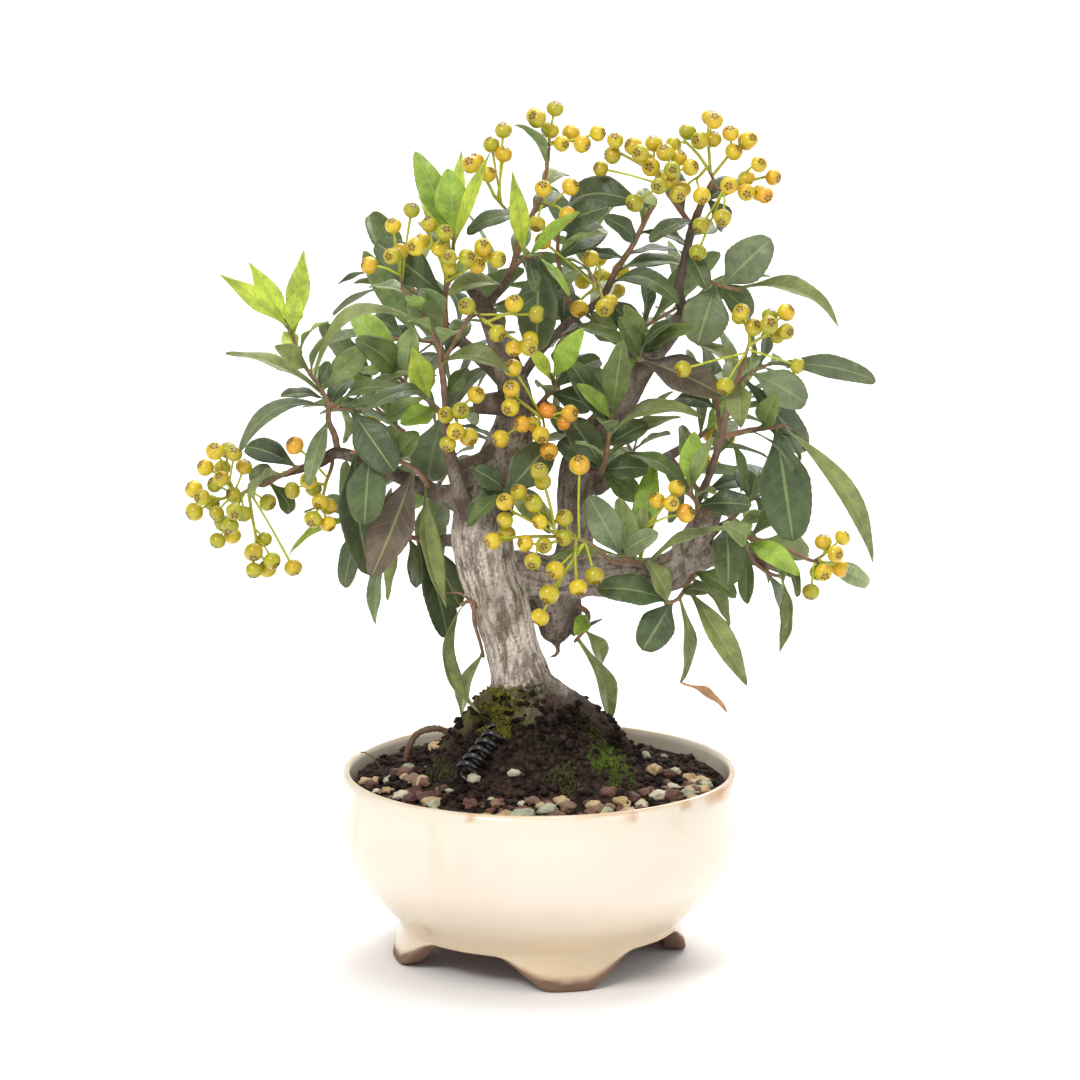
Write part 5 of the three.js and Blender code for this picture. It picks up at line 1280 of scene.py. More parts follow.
# Leaf blade, folded along the midrib, veined, and toothed at the margin
def leaf_blade(pile, leaf, draw, slot):
    shares = np.linspace(0, 1, BLADE_ROWS)
    centres, sides, ups = leaf_frames(leaf, shares)
    width = leaf["width"]
    twist = draw(-BLADE_TWIST_DEG, BLADE_TWIST_DEG) * DEGREE * (shares - 0.3)
    turned = sides * np.cos(twist)[:, None] + ups * np.sin(twist)[:, None]
    ups = ups * np.cos(twist)[:, None] - sides * np.sin(twist)[:, None]

    taper = 1 - TIP_POINTS[leaf["tone"]] * smooth(0.45, 1, shares) ** 1.5
    halves = np.maximum(blade(shares) * width * taper, BLADE_LEAST_HALF)
    odd_rows = np.arange(BLADE_ROWS) % 2
    teeth = 1 + TOOTH_DEPTH * odd_rows * smooth(0.3, 0.5, shares) * smooth(1, 0.93, shares)
    halves = halves * teeth

    fold = TONE_FOLDS[leaf["tone"]] * draw(0.7, 1.3)
    phase = draw(0, 6.3)
    wave = draw(0.1, 0.45)
    vein_step = draw(0.1, 0.13)
    across = np.array(BLADE_COLUMNS)
    reach = np.abs(across)
    rows = shares[:, None]
    half_grid = halves[:, None] * across[None, :]
    lift = fold * np.abs(half_grid) ** FOLD_POWER
    lift += wave * reach**2 * np.sin(2 * math.pi * (RIPPLES * rows) + phase + 2 * (across > 0))
    ribs = np.cos(2 * math.pi * (rows / vein_step - reach * VEIN_SLANT))
    open_blade = smooth(0.12, 0.3, rows) * smooth(1, 0.85, rows)
    lift += VEIN_RELIEF * width / VEIN_USUAL_WIDTH * ribs * 4 * reach * (1 - reach) * open_blade
    groove = GROOVE_DEPTH * np.exp(-((half_grid / GROOVE_HALF_WIDTH) ** 2)) * smooth(0.02, 0.2, rows)
    thick = BLADE_HALF_THICKNESS * (1 - BLADE_THINNING * reach**4)[None, :] * np.ones((BLADE_ROWS, 1))

    base = centres[:, None, :] + turned[:, None, :] * half_grid[:, :, None]
    top = base + ups[:, None, :] * (lift - groove + thick)[:, :, None]
    under = base + ups[:, None, :] * (lift - thick - 0.6 * groove)[:, :, None]
    points = np.concatenate([top.reshape(-1, 3), under.reshape(-1, 3)])

    tone = linear(LEAF_TONES[leaf["tone"]]) * draw(0.82, 1.18)
    ageing = draw(0, 0.22)
    shade = 1 + 0.12 * np.sin(7 * shares + phase)
    colours = mix(tone, linear(YELLOWED), ageing * rows**2) * shade[:, None]
    colours = np.repeat(colours, len(across), axis=0)
    size = len(colours)
    face_up = np.hstack([colours, np.ones((size, 1))])
    face_down = np.hstack([mix(colours * 1.12, linear(LEAF_UNDERSIDE), 0.42), np.zeros((size, 1))])
    u = np.tile((across + 1) / 2, BLADE_ROWS)
    v = np.repeat(shares / vein_step, len(across))
    maps = np.tile(np.column_stack([u, v]), (2, 1))
    pile.add(points, BLADE_FACES, np.vstack([face_up, face_down]), slot, maps)


SHOOT_SLIMNESS = 0.74
OLD_SHOOT = (92, 78, 68)
FRESH_SHOOT = (140, 106, 80)


def shoot_colours(path):
    share = smooth(1.6, 0.8, path[:, 3])[:, None]
    colours = mix(linear(OLD_SHOOT), linear(FRESH_SHOOT), share)
    return np.hstack([colours, np.ones((len(path), 1))])


def build_spray(name, index):
    shoots, leaves = sprays[name]
    draw = seeded(SPRAY_SEED + index)
    pile = Pile()
    for path in shoots:
        rows = smooth_path(path, 1.6)
        end = unit(rows[-1, :3] - rows[-2, :3]) * 0.8
        rows = np.vstack([rows, [*(rows[-1, :3] + end), rows[-1, 3] * 0.7]])
        for row in rows:
            row[3] *= SHOOT_SLIMNESS + draw(-0.06, 0.08)
        tube(pile, rows, 10, shoot_colours(rows), 1)
    for leaf in leaves:
        leaf_blade(pile, leaf, draw, 0)
        bud(pile, leaf, draw)
    piece = pile.build(f"leafy_stem_{name}", [LEAF, TWIG])
    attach(piece, "root")
    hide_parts(f"spray_{name}")


# The swelling where a leaf joins its shoot: its rows are [distance along, radius]
BUD_ROWS = [(0, 0.9), (0.5, 1.15), (1.1, 0.9), (1.7, 0.35)]
BUD_TONE = (120, 128, 70)


def bud(pile, leaf, draw):
    aim = unit(leaf_points(leaf, [0.06])[0] - leaf["root"])
    size = draw(0.55, 0.75)
    rows = [[*(leaf["root"] + aim * along), radius * size] for along, radius in BUD_ROWS]
    tube(pile, np.array(rows), 6, with_alpha(BUD_TONE), 1)


BERRY_RINGS = 13
BERRY_SIDES = 18
TIP_DIMPLE = 0.16
STALK_DIMPLE = 0.05
CALYX_CORNERS = 10
UNRIPE = (164, 164, 32)
RIPENING = (216, 188, 36)
RIPE = (228, 142, 40)
STALK_GREEN = (122, 130, 34)
BLUSH = (206, 124, 40)
# Painted shade in the dimple round the calyx
TIP_SHADE = (132, 96, 42)
CALYX_TONE = (74, 52, 34)


# A berry with a dimple and a five-pointed calyx at its end
def berry(pile, centre, radius, fork, ripeness, draw):
    lean = np.array([draw(-0.25, 0.25), draw(-0.65, -0.2), draw(-0.2, 0.2)])
    aim = unit(unit(centre - fork) + lean)
    side = unit(np.cross(aim, (0.3, 0.2, 1)))
    across = np.cross(aim, side)
    squash = draw(0.88, 0.97)
    phase = draw(0, 6.3)
    ripe = np.clip(ripeness + draw(-0.2, 0.2), 0, 1)

    def around(turn):
        return side * math.cos(turn) + across * math.sin(turn)

    body = mix(linear(UNRIPE), linear(RIPENING), smooth(0, 0.4, ripe))
    body = mix(body, linear(RIPE), smooth(0.4, 0.95, ripe))
    green, blush, tip_shade = linear(STALK_GREEN), linear(BLUSH), linear(TIP_SHADE)
    points, colours = [], []
    for angle in np.linspace(0, math.pi, BERRY_RINGS):
        at_tip = TIP_DIMPLE * math.exp(-((angle / 0.34) ** 2))
        at_stalk = STALK_DIMPLE * math.exp(-(((math.pi - angle) / 0.3) ** 2))
        along = radius * squash * (1 - at_tip - at_stalk) * math.cos(angle)
        near_stalk = smooth(-0.55, -1.0, math.cos(angle))
        # Darker ring round the tip: painted shade in the dimple
        near_tip = 0.7 * smooth(0.78, 0.96, math.cos(angle))
        for turn in 2 * math.pi * np.arange(BERRY_SIDES) / BERRY_SIDES:
            lobed = 1 + 0.018 * math.cos(5 * turn + phase) * math.sin(angle) ** 2
            out = radius * lobed * math.sin(angle)
            points.append(centre + aim * along + out * around(turn))
            facing = smooth(0.1, 1, math.cos(turn - phase)) * math.sin(angle)
            colour = mix(mix(body, green, 0.6 * near_stalk), blush, 0.55 * facing * (0.3 + 0.7 * ripe))
            colours.append([*mix(colour, tip_shade, near_tip), 1])
    # The first and last ring are one point each
    spare = BERRY_SIDES - 1
    points = points[spare:-spare]
    colours = colours[spare:-spare]
    last = len(points) - 1
    rings = grid_faces(BERRY_RINGS - 2, BERRY_SIDES, closed=True)
    faces = [[corner + 1 for corner in face[::-1]] for face in rings]
    for k in range(BERRY_SIDES):
        after = (k + 1) % BERRY_SIDES
        faces.append([0, 1 + k, 1 + after])
        faces.append([last, last - BERRY_SIDES + after, last - BERRY_SIDES + k])
    pile.add(points, faces, colours, 0)

    star = []
    for k in range(CALYX_CORNERS):
        turn = 2 * math.pi * k / CALYX_CORNERS + phase
        reach = radius * (0.48 + draw(-0.06, 0.06) if k % 2 == 0 else 0.25)
        lift = radius * (squash * 0.9 + (0.02 if k % 2 == 0 else -0.02))
        star.append(centre + aim * lift + reach * around(turn))
    ring = np.array(star)
    crown = centre + aim * radius * squash * 0.82
    base = centre + aim * radius * squash * 0.7
    points = np.vstack([ring, ring - aim * radius * 0.12, crown, base])
    faces = []
    for k in range(CALYX_CORNERS):
        after = (k + 1) % CALYX_CORNERS
        low, low_after = k + CALYX_CORNERS, after + CALYX_CORNERS
        faces.append([2 * CALYX_CORNERS, k, after])
        faces.append([2 * CALYX_CORNERS + 1, low_after, low])
        faces.append([k, low, low_after, after])
    pile.add(points, faces, with_alpha(CALYX_TONE), 1)


STALK_FOOT = (120, 92, 70)
STALK_END = (158, 152, 62)
AXIS_RADII = (0.62, 0.55, 0.5)
AXIS_TONE = (172, 172, 56)
PEDICEL_RADII = (0.42, 0.38, 0.5)
PEDICEL_TONE = (184, 190, 52)


# A thin stalk that is bent at its middle
def bent_stalk(pile, start, end, bend, radii, step, sides, tone):
    middle = mix(start, end, 0.5) + bend
    rows = [[*place, radius] for place, radius in zip((start, middle, end), radii)]
    tube(pile, smooth_path(rows, step), sides, with_alpha(tone), 2)


def build_bunch(name, index):
    axes, berries = bunches[name]
    draw = seeded(BUNCH_SEED + index)
    pile = Pile()
    stalk = smooth_path(BUNCHES[name]["stalk"], 1.5)
    stalk[:, 3] *= SHOOT_SLIMNESS
    share = np.linspace(0, 1, len(stalk))[:, None]
    tones = mix(linear(STALK_FOOT), linear(STALK_END), smooth(0.35, 0.95, share))
    tube(pile, stalk, 8, np.hstack([tones, np.ones((len(stalk), 1))]), 2)
    for fork, core in axes:
        bend = np.array([draw(-0.4, 0.4), draw(-0.4, 0.4), draw(0, 0.6)])
        bent_stalk(pile, fork, core, bend, AXIS_RADII, 1.5, 7, AXIS_TONE)
    for one in berries:
        bend = np.array([draw(-0.5, 0.5), draw(-0.5, 0.5), draw(-0.2, 0.8)])
        bent_stalk(pile, one["fork"], one["centre"], bend, PEDICEL_RADII, 1.4, 6, PEDICEL_TONE)
        berry(pile, one["centre"], one["radius"], one["fork"], one["ripeness"], draw)
    piece = pile.build(f"fruit_{name}", [BERRY, CALYX, PEDICEL])
    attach(piece, "root")
    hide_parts(f"berries_{name}")


# The places of factor and colours among a mix node's sockets
MIX_SOCKETS = (0, 6, 7)


# A material, with short ways to add nodes to it and to feed their sockets
class Look:
    def __init__(self, name, roughness):
        self.material = bpy.data.materials.new(name)
        self.material.use_nodes = True
        self.nodes = self.material.node_tree.nodes
        self.links = self.material.node_tree.links
        self.surface = self.nodes["Principled BSDF"]
        self.set("Roughness", roughness)

    def feed(self, socket, value):
        if isinstance(value, bpy.types.NodeSocket):
            self.links.new(value, socket)
        else:
            socket.default_value = value

    def set(self, key, value):
        self.feed(self.surface.inputs[key], value)

    def node(self, kind, **values):
        made = self.nodes.new(kind)
        for key, value in values.items():
            self.feed(made.inputs[key], value)
        return made

    def maths(self, operation, *values):
        made = self.nodes.new("ShaderNodeMath")
        made.operation = operation
        for socket, value in zip(made.inputs, values):
            self.feed(socket, value)
        return made.outputs[0]

    def spread(self, value, low, high, first, last):
        made = self.nodes.new("ShaderNodeMapRange")
        made.interpolation_type = "SMOOTHSTEP"
        sockets = {"Value": value, "From Min": low, "From Max": high, "To Min": first, "To Max": last}
        for key, fed in sockets.items():
            self.feed(made.inputs[key], fed)
        return made.outputs[0]

    def blended(self, share, first, second, how="MIX"):
        made = self.nodes.new("ShaderNodeMix")
        made.data_type = "RGBA"
        made.blend_type = how
        for place, value in zip(MIX_SOCKETS, (share, first, second)):
            if isinstance(value, tuple):
                value = (*[float(c) for c in linear(value)], 1)
            self.feed(made.inputs[place], value)
        return made.outputs[2]

    def place(self):
        return self.nodes.new("ShaderNodeTexCoord").outputs["Object"]

    def grain(self, scale, detail=3.0, stretch=None):
        place = self.place()
        if stretch:
            place = self.node("ShaderNodeMapping", Scale=stretch, Vector=place).outputs["Vector"]
        return self.node("ShaderNodeTexNoise", Scale=scale, Detail=detail, Vector=place).outputs["Fac"]

    def specks(self, scale, low, high):
        made = self.node("ShaderNodeTexVoronoi", Scale=scale, Vector=self.place())
        return self.spread(made.outputs["Distance"], low, high, 1, 0)

    def bumped(self, heights, depth):
        total = None
        for height, strength in heights:
            scaled = self.maths("MULTIPLY", height, strength)
            total = scaled if total is None else self.maths("ADD", total, scaled)
        self.set("Normal", self.node("ShaderNodeBump", Distance=depth, Height=total).outputs["Normal"])

    def toned(self):
        made = self.nodes.new("ShaderNodeAttribute")
        made.attribute_name = "Tone"
        return made.outputs["Color"], made.outputs["Alpha"]

    def varied(self, colour, scale, low, high):
        shade = self.spread(self.grain(scale), 0.3, 0.7, low, high)
        combined = self.nodes.new("ShaderNodeCombineColor")
        for socket in combined.inputs:
            self.feed(socket, shade)
        return self.blended(1.0, colour, combined.outputs[0], "MULTIPLY")


def leaf_shader():
    look = Look("leaf", 0.45)
    colour, upper = look.toned()
    colour = look.varied(colour, 260, 0.76, 1.18)
    dust = look.maths("MULTIPLY", look.specks(1100, 0.1, 0.26), 0.16)
    colour = look.blended(dust, colour, (170, 178, 140))
    maps = look.nodes.new("ShaderNodeUVMap")
    maps.uv_map = "Blade"
    parts = look.node("ShaderNodeSeparateXYZ", Vector=maps.outputs["UV"])
    across = look.maths("ABSOLUTE", look.maths("MULTIPLY_ADD", parts.outputs[0], 2.0, -1.0))
    midrib = look.spread(across, 0.02, 0.1, 1, 0)
    slanted = look.maths("MULTIPLY_ADD", across, -VEIN_SLANT, parts.outputs[1])
    off = look.maths("ABSOLUTE", look.maths("SUBTRACT", look.maths("FRACT", slanted), 0.5))
    veins = look.spread(off, 0.01, 0.11, 1, 0)
    faded = look.spread(across, 0.5, 1.0, 1, 0.1)
    side = look.maths("MULTIPLY", veins, faded)
    rib_share = look.maths("MULTIPLY", midrib, 0.42)
    side_share = look.maths("MULTIPLY", side, 0.07)
    share = look.maths("MAXIMUM", rib_share, side_share)
    margin = look.spread(across, 0.9, 1.0, 0, 0.25)
    colour = look.blended(margin, colour, (146, 132, 78))
    colour = look.blended(share, colour, (168, 184, 120))
    look.set("Base Color", colour)
    rough = look.spread(look.grain(420), 0.3, 0.7, 0.36, 0.56)
    under = look.maths("SUBTRACT", 1.0, upper)
    rough = look.maths("MULTIPLY_ADD", under, 0.2, rough)
    look.set("Roughness", rough)
    hidden = look.maths("MAXIMUM", midrib, side)
    look.bumped([(hidden, -1.0), (look.grain(1400), 0.35)], 0.00012)
    return look.material


def berry_shader():
    look = Look("berry", 0.3)
    colour, _ = look.toned()
    colour = look.varied(colour, 420, 0.9, 1.1)
    pale = look.specks(1500, 0.12, 0.25)
    colour = look.blended(look.maths("MULTIPLY", pale, 0.35), colour, (250, 226, 140))
    look.set("Base Color", colour)
    look.set("Coat Weight", 0.25)
    look.set("Coat Roughness", 0.18)
    rough = look.spread(look.grain(500), 0.3, 0.7, 0.26, 0.4)
    look.set("Roughness", rough)
    look.bumped([(look.grain(900), 1.0)], 0.00006)
    return look.material


# A rough surface that takes its colour from the mesh
def plain_shader(name, roughness, scale, low, high, depth, specular=0.5):
    look = Look(name, roughness)
    colour, _ = look.toned()
    colour = look.varied(colour, scale, low, high)
    look.set("Base Color", colour)
    look.set("Specular IOR Level", specular)
    fine = look.grain(scale * 3)
    rough = look.spread(fine, 0.3, 0.7, roughness - 0.1, min(1, roughness + 0.1))
    look.set("Roughness", rough)
    look.bumped([(look.grain(scale), 1.0), (fine, 0.5)], depth)
    return look.material


def bark_shader():
    look = Look("bark", 0.82)
    colour, paleness = look.toned()
    streaks = look.grain(420, 6.0, (1, 1, 0.3))
    patches = look.grain(120, 5.0, (1, 1, 0.7))
    fine = look.grain(1700, 4.0)
    flecks = look.specks(520, 0.12, 0.34)
    pale_share = look.maths("MULTIPLY", look.spread(patches, 0.46, 0.62, 0, 0.5), paleness)
    colour = look.blended(pale_share, colour, (222, 210, 200))
    colour = look.blended(look.spread(streaks, 0.52, 0.64, 0, 0.58), colour, (96, 76, 60))
    colour = look.blended(look.maths("MULTIPLY", flecks, 0.28), colour, (110, 88, 70))
    colour = look.varied(colour, 1100, 0.8, 1.14)
    look.set("Base Color", colour)
    look.set("Specular IOR Level", 0.25)
    heights = [(streaks, -1.0), (patches, 0.6), (flecks, -0.25), (fine, 0.4)]
    look.bumped(heights, 0.0013)
    return look.material


def glaze_shader():
    look = Look("cream_glaze", 0.2)
    colour, glazed = look.toned()
    colour = look.varied(colour, 28, 0.97, 1.02)
    pits = look.specks(260, 0.03, 0.075)
    speck_share = look.maths("MULTIPLY", pits, 0.55)
    colour = look.blended(speck_share, colour, (150, 112, 78))
    look.set("Base Color", colour)
    waves = look.grain(60, 2.0)
    clay = look.grain(1600, 3.0)
    bare = look.maths("SUBTRACT", 1.0, glazed)
    rough = look.spread(look.grain(180), 0.3, 0.7, 0.14, 0.26)
    rough = look.maths("MULTIPLY_ADD", bare, 0.6, rough)
    look.set("Roughness", rough)
    coat = look.maths("MULTIPLY", glazed, 0.5)
    look.set("Coat Weight", coat)
    rough_clay = look.maths("MULTIPLY", clay, bare)
    look.bumped([(waves, 0.5), (rough_clay, 1.0)], 0.0004)
    return look.material


LEAF = leaf_shader()
BERRY = berry_shader()
GLAZE = glaze_shader()
BARK = bark_shader()
TWIG = plain_shader("twig", 0.6, 500, 0.75, 1.15, 0.0002)
CALYX = plain_shader("calyx", 0.8, 900, 0.7, 1.2, 0.0001, 0.2)
PEDICEL = plain_shader("pedicel", 0.5, 700, 0.85, 1.12, 0.0001)
SOIL = plain_shader("soil", 0.95, 520, 0.35, 1.35, 0.0014, 0.15)
STONE = plain_shader("gravel", 0.7, 300, 0.8, 1.12, 0.0003, 0.35)
MOSS = plain_shader("moss", 0.8, 600, 0.7, 1.2, 0.0002, 0.2)
WIRE = plain_shader("wire", 0.24, 120, 0.85, 1.1, 0.00002, 0.8)
DRY = plain_shader("dry_plant", 0.7, 500, 0.8, 1.15, 0.0002, 0.3)


# Pot: the wall is turned, and its lower edge is waved into four feet
def arch_rise(bearing):
    spacing = 360 / FOOT_COUNT
    off = np.abs(bearing - spacing * np.round(bearing / spacing))
    return ARCH_HEIGHT * smooth(FOOT_HALF_DEG - 6, FOOT_SLOPE_DEG + 3, off)


FOOT_OUTER = [(47.2, 9.5), (47.15, 7), (47.1, 4.6), (47, 2.4), (46.9, 0.9), (46.4, 0.2), (45.6, 0)]
FOOT_INNER = [(43, 0), (42.2, 0.3), (42, 1.2), (41.8, 4), (41.5, 8), (41, WAIST_HEIGHT), (24, WAIST_HEIGHT)]
FOOT_INNER += [(6, WAIST_HEIGHT)]
WAIST_EDGE = 47.4
FOOT_RIM_RADIUS = 44
FOOT_HOLLOW_RADIUS = 43.5
UNDERSIDE_RADIUS = 40.9
FLOOR_ROWS = 6
CLAY_HEIGHT = 3.6
LIP_START, LIP_TOP = 63.2, 64.4
WAIST_ROWS = 3
CREAM = linear((236, 225, 207))
WARM_CREAM = linear((222, 196, 158))
CLAY = linear((128, 98, 80))
GLAZE_BLUSH = linear((240, 214, 200))
GLAZE_STAIN = linear((198, 140, 84))
GLAZE_EDGE = linear((158, 120, 88))
LIP_TONE = linear((214, 176, 122))
# Stains of the glaze at the front of the rim: x, z, size
RIM_STAINS = [(30, 62.5, 3), (58, 63, 4.5), (61, 62, 3.5), (48, 63.5, 3), (-22, 63.4, 2.5)]


def fine_profile():
    rows = [[r, z, 0] for r, z in [*WALL, *FOOT_OUTER, *FOOT_INNER]]
    return smooth_path([[*row, 0] for row in rows], 1.3)[:, :2]


# Colour of the pot at one point, with the share of glaze as its alpha
def pot_colour(x, y, z, turn, height, near_foot, unglazed):
    cloud = noise.noise(Vector((x / 26, y / 26, z / 20)))
    # Darker and warmer towards the bottom of the belly: painted shade where the wall turns under
    tone = mix(CREAM, WARM_CREAM, smooth(36, 12, z) * 0.75 + 0.2 * cloud * cloud)
    front = smooth(0.3, 1, math.cos(turn + 0.1)) * smooth(22, 34, z) * smooth(56, 44, z)
    tone = mix(tone, GLAZE_BLUSH, 0.4 * front)
    streak = noise.noise(Vector((turn * 9, z / 30, 3.1)))
    tone = mix(tone, WARM_CREAM, 0.35 * smooth(0.1, 0.6, streak) * smooth(66, 58, z) * smooth(34, 50, z))
    if y < 0:
        rough = 0.25 * noise.noise(Vector((x / 3, z / 3, 8)))
        for side, depth, size in RIM_STAINS:
            gap = math.hypot((x - side) / size, (z - depth) / (size * 0.9))
            tone = mix(tone, GLAZE_STAIN, 0.6 * float(smooth(1, 0.35, gap + rough)))
    if z > LIP_START:
        worn = 0.55 + 0.6 * noise.noise(Vector((turn * 6, 1.2, 0.4)))
        lip = float(smooth(LIP_START, LIP_TOP, z)) * worn
        tone = mix(tone, LIP_TONE, min(0.75, max(0.1, lip)))
    edge = CLAY_HEIGHT + 0.9 * noise.noise(Vector((x / 7, y / 7, 2)))
    bare = 1.0 if unglazed else float(smooth(edge + 0.5, edge - 0.5, height))
    if near_foot:
        tone = mix(tone, GLAZE_EDGE, 0.5 * float(smooth(edge + 2.2, edge + 0.6, height)) * (1 - bare))
    tone = mix(tone, CLAY * (1 + 0.25 * cloud), bare)
    return [*tone, 1 - bare]


def build_pot():
    profile = fine_profile()
    rows = len(profile)
    angles = 2 * math.pi * np.arange(SEGMENTS) / SEGMENTS
    rise = arch_rise((np.degrees(angles) + 180) % 360 - 180)
    waist_row = int(np.argmin(np.hypot(profile[:, 0] - WAIST_EDGE, profile[:, 1] - WAIST_HEIGHT)))
    points, colours = [], []
    for i, (radius, height) in enumerate(profile):
        below = i > waist_row
        low = below and radius > UNDERSIDE_RADIUS
        near_foot = low or abs(i - waist_row) < WAIST_ROWS
        unglazed = i < FLOOR_ROWS or (below and radius < FOOT_HOLLOW_RADIUS)
        drop = (WAIST_HEIGHT - height) / WAIST_HEIGHT if low else 0
        flared = radius > FOOT_RIM_RADIUS
        for k, angle in enumerate(angles):
            turn = angle + FRONT_FOOT_DEG * DEGREE
            flare = 1 + FOOT_FLARE * drop * (1 - rise[k] / ARCH_HEIGHT) / WAIST_RADIUS if flared else 1
            wobble = 1 + 0.0016 * math.sin(3 * turn + height / 9) + 0.0011 * math.sin(7 * turn - height / 5)
            reach = radius * flare * wobble
            x, y = reach * math.sin(turn), -reach * math.cos(turn)
            z = height + rise[k] * drop
            z += 0.22 * math.sin(2 * turn + 0.6) * smooth(58, 64, height)
            points.append((x, y, z))
            colours.append(pot_colour(x, y, z, turn, height, near_foot, unglazed))
    faces = grid_faces(rows, SEGMENTS, closed=True)
    top = (rows - 1) * SEGMENTS
    for k in range(SEGMENTS):
        faces.append([top + k, top + (k + 1) % SEGMENTS, (k + 1) % SEGMENTS, k])
    pile = Pile()
    pile.add(points, [face[::-1] for face in faces], colours, 0)
    piece = pile.build("glazed_pot", [GLAZE])
    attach(piece, "root")
    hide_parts("pot")


# Ground
def soil_height(x, y):
    away = math.hypot(x - MOUND[0], y - MOUND[1]) / MOUND[3]
    return SOIL_EDGE_HEIGHT + MOUND[2] * math.exp(-away * away)


def lumpy(x, y):
    coarse = noise.noise(Vector((x / 7, y / 7, 0.5)))
    small = noise.noise(Vector((x / 2.6, y / 2.6, 4.5)))
    fine = noise.noise(Vector((x / 1.2, y / 1.2, 9.5)))
    return 1.1 * coarse + 0.75 * small + 0.4 * fine


def ground(x, y):
    rim = 1 - smooth(56, SOIL_RADIUS, math.hypot(x, y))
    return soil_height(x, y) + lumpy(x, y) * float(rim)


SIGHT_LIMIT = 60.0


# The depth of the ground that is seen at x, and at this height in the front view
def seen_ground(x, rise):
    y = -SIGHT_LIMIT
    while y < SIGHT_LIMIT and SIGHT_HEIGHT * soil_height(x, y) + SIGHT_DEPTH * y < rise:
        y += 0.5
    return y


ICO_CORNERS = np.array(BALL_CORNERS)


def ico_faces():
    faces = []
    for i in range(12):
        for j in range(i + 1, 12):
            for k in range(j + 1, 12):
                a, b, c = ICO_CORNERS[i], ICO_CORNERS[j], ICO_CORNERS[k]
                if max(math.dist(a, b), math.dist(b, c), math.dist(a, c)) < 1.1:
                    out = np.cross(b - a, c - a) @ (a + b + c) > 0
                    faces.append((i, j, k) if out else (i, k, j))
    return faces


def finer_ball(points, faces):
    points = [unit(point) for point in points]
    middles, finer = {}, []

    def middle(a, b):
        key = (min(a, b), max(a, b))
        if key not in middles:
            middles[key] = len(points)
            points.append(unit(points[a] + points[b]))
        return middles[key]

    for a, b, c in faces:
        ab, bc, ca = middle(a, b), middle(b, c), middle(c, a)
        finer += [(a, ab, ca), (b, bc, ab), (c, ca, bc), (ab, bc, ca)]
    return np.array(points), finer


BALL_1 = finer_ball(ICO_CORNERS, ico_faces())
BALL_2 = finer_ball(*BALL_1)
LUMP_SCALE = 1.7


# A ball made uneven, stretched and turned
def lump(pile, ball, centre, stretch, turn, roughness, seed, colour, slot):
    points, faces = ball
    places = points * LUMP_SCALE + np.array([seed, 0, 0])
    shifts = [1 + roughness * noise.noise(Vector(place)) for place in places]
    shaped = points * np.array(shifts)[:, None] * stretch
    c, s = math.cos(turn), math.sin(turn)
    turned = shaped @ np.array([[c, s, 0], [-s, c, 0], [0, 0, 1]])
    pile.add(turned + centre, faces, with_alpha(colour), slot)


GRAVEL_TONES = [
    (188, 160, 118), (206, 196, 170), (172, 174, 146), (104, 72, 62), (118, 84, 70), (196, 172, 132),
    (92, 64, 56), (140, 112, 92), (110, 76, 64),
]
SOIL_BOTTOM = 18.1
SOIL_SIDE = [(62.6, 58.3), (62.1, 46.2), (54.5, 28.4), (40.6, SOIL_BOTTOM)]
SOIL_DARK, SOIL_LIGHT = linear((36, 27, 24)), linear((78, 60, 50))
SOIL_CENTRE, SOIL_FLANK = with_alpha((58, 45, 40)), with_alpha((60, 48, 42))
CRUMB_TONE = (56, 43, 38)
CRUMB_REACH = 60.5
FRONT_SHARE = 0.75
SOIL_RINGS = 74
CRUMBS = 1300
PEBBLES = 170


def soil_mesh(pile):
    radii = SOIL_RADIUS * (np.arange(1, SOIL_RINGS + 1) / SOIL_RINGS) ** 0.8
    points = [(0, 0, ground(0, 0))]
    colours = [SOIL_CENTRE]
    for radius in radii:
        for k in range(SEGMENTS):
            turn = 2 * math.pi * k / SEGMENTS
            x, y = radius * math.sin(turn), -radius * math.cos(turn)
            z = ground(x, y) if radius < SOIL_RADIUS - 0.01 else SOIL_EDGE_HEIGHT
            points.append((x, y, z))
            patch = noise.noise(Vector((x / 5, y / 5, 1.5)))
            fleck = noise.noise(Vector((x / 1.3, y / 1.3, 7.5)))
            tone = mix(SOIL_DARK, SOIL_LIGHT, np.clip(0.4 + 0.7 * patch + 0.6 * fleck, 0, 1))
            colours.append([*tone, 1])
    for radius, height in SOIL_SIDE:
        for k in range(SEGMENTS):
            turn = 2 * math.pi * k / SEGMENTS
            points.append((radius * math.sin(turn), -radius * math.cos(turn), height))
            colours.append(SOIL_FLANK)
    rows = SOIL_RINGS + len(SOIL_SIDE)
    faces = [[a + 1 for a in face[::-1]] for face in grid_faces(rows, SEGMENTS, closed=True)]
    for k in range(SEGMENTS):
        faces.append([0, 1 + k, 1 + (k + 1) % SEGMENTS])
    bottom = len(points)
    points.append((0, 0, SOIL_BOTTOM))
    colours.append(SOIL_FLANK)
    last = 1 + (rows - 1) * SEGMENTS
    for k in range(SEGMENTS):
        faces.append([bottom, last + (k + 1) % SEGMENTS, last + k])
    pile.add(points, faces, colours, 0)


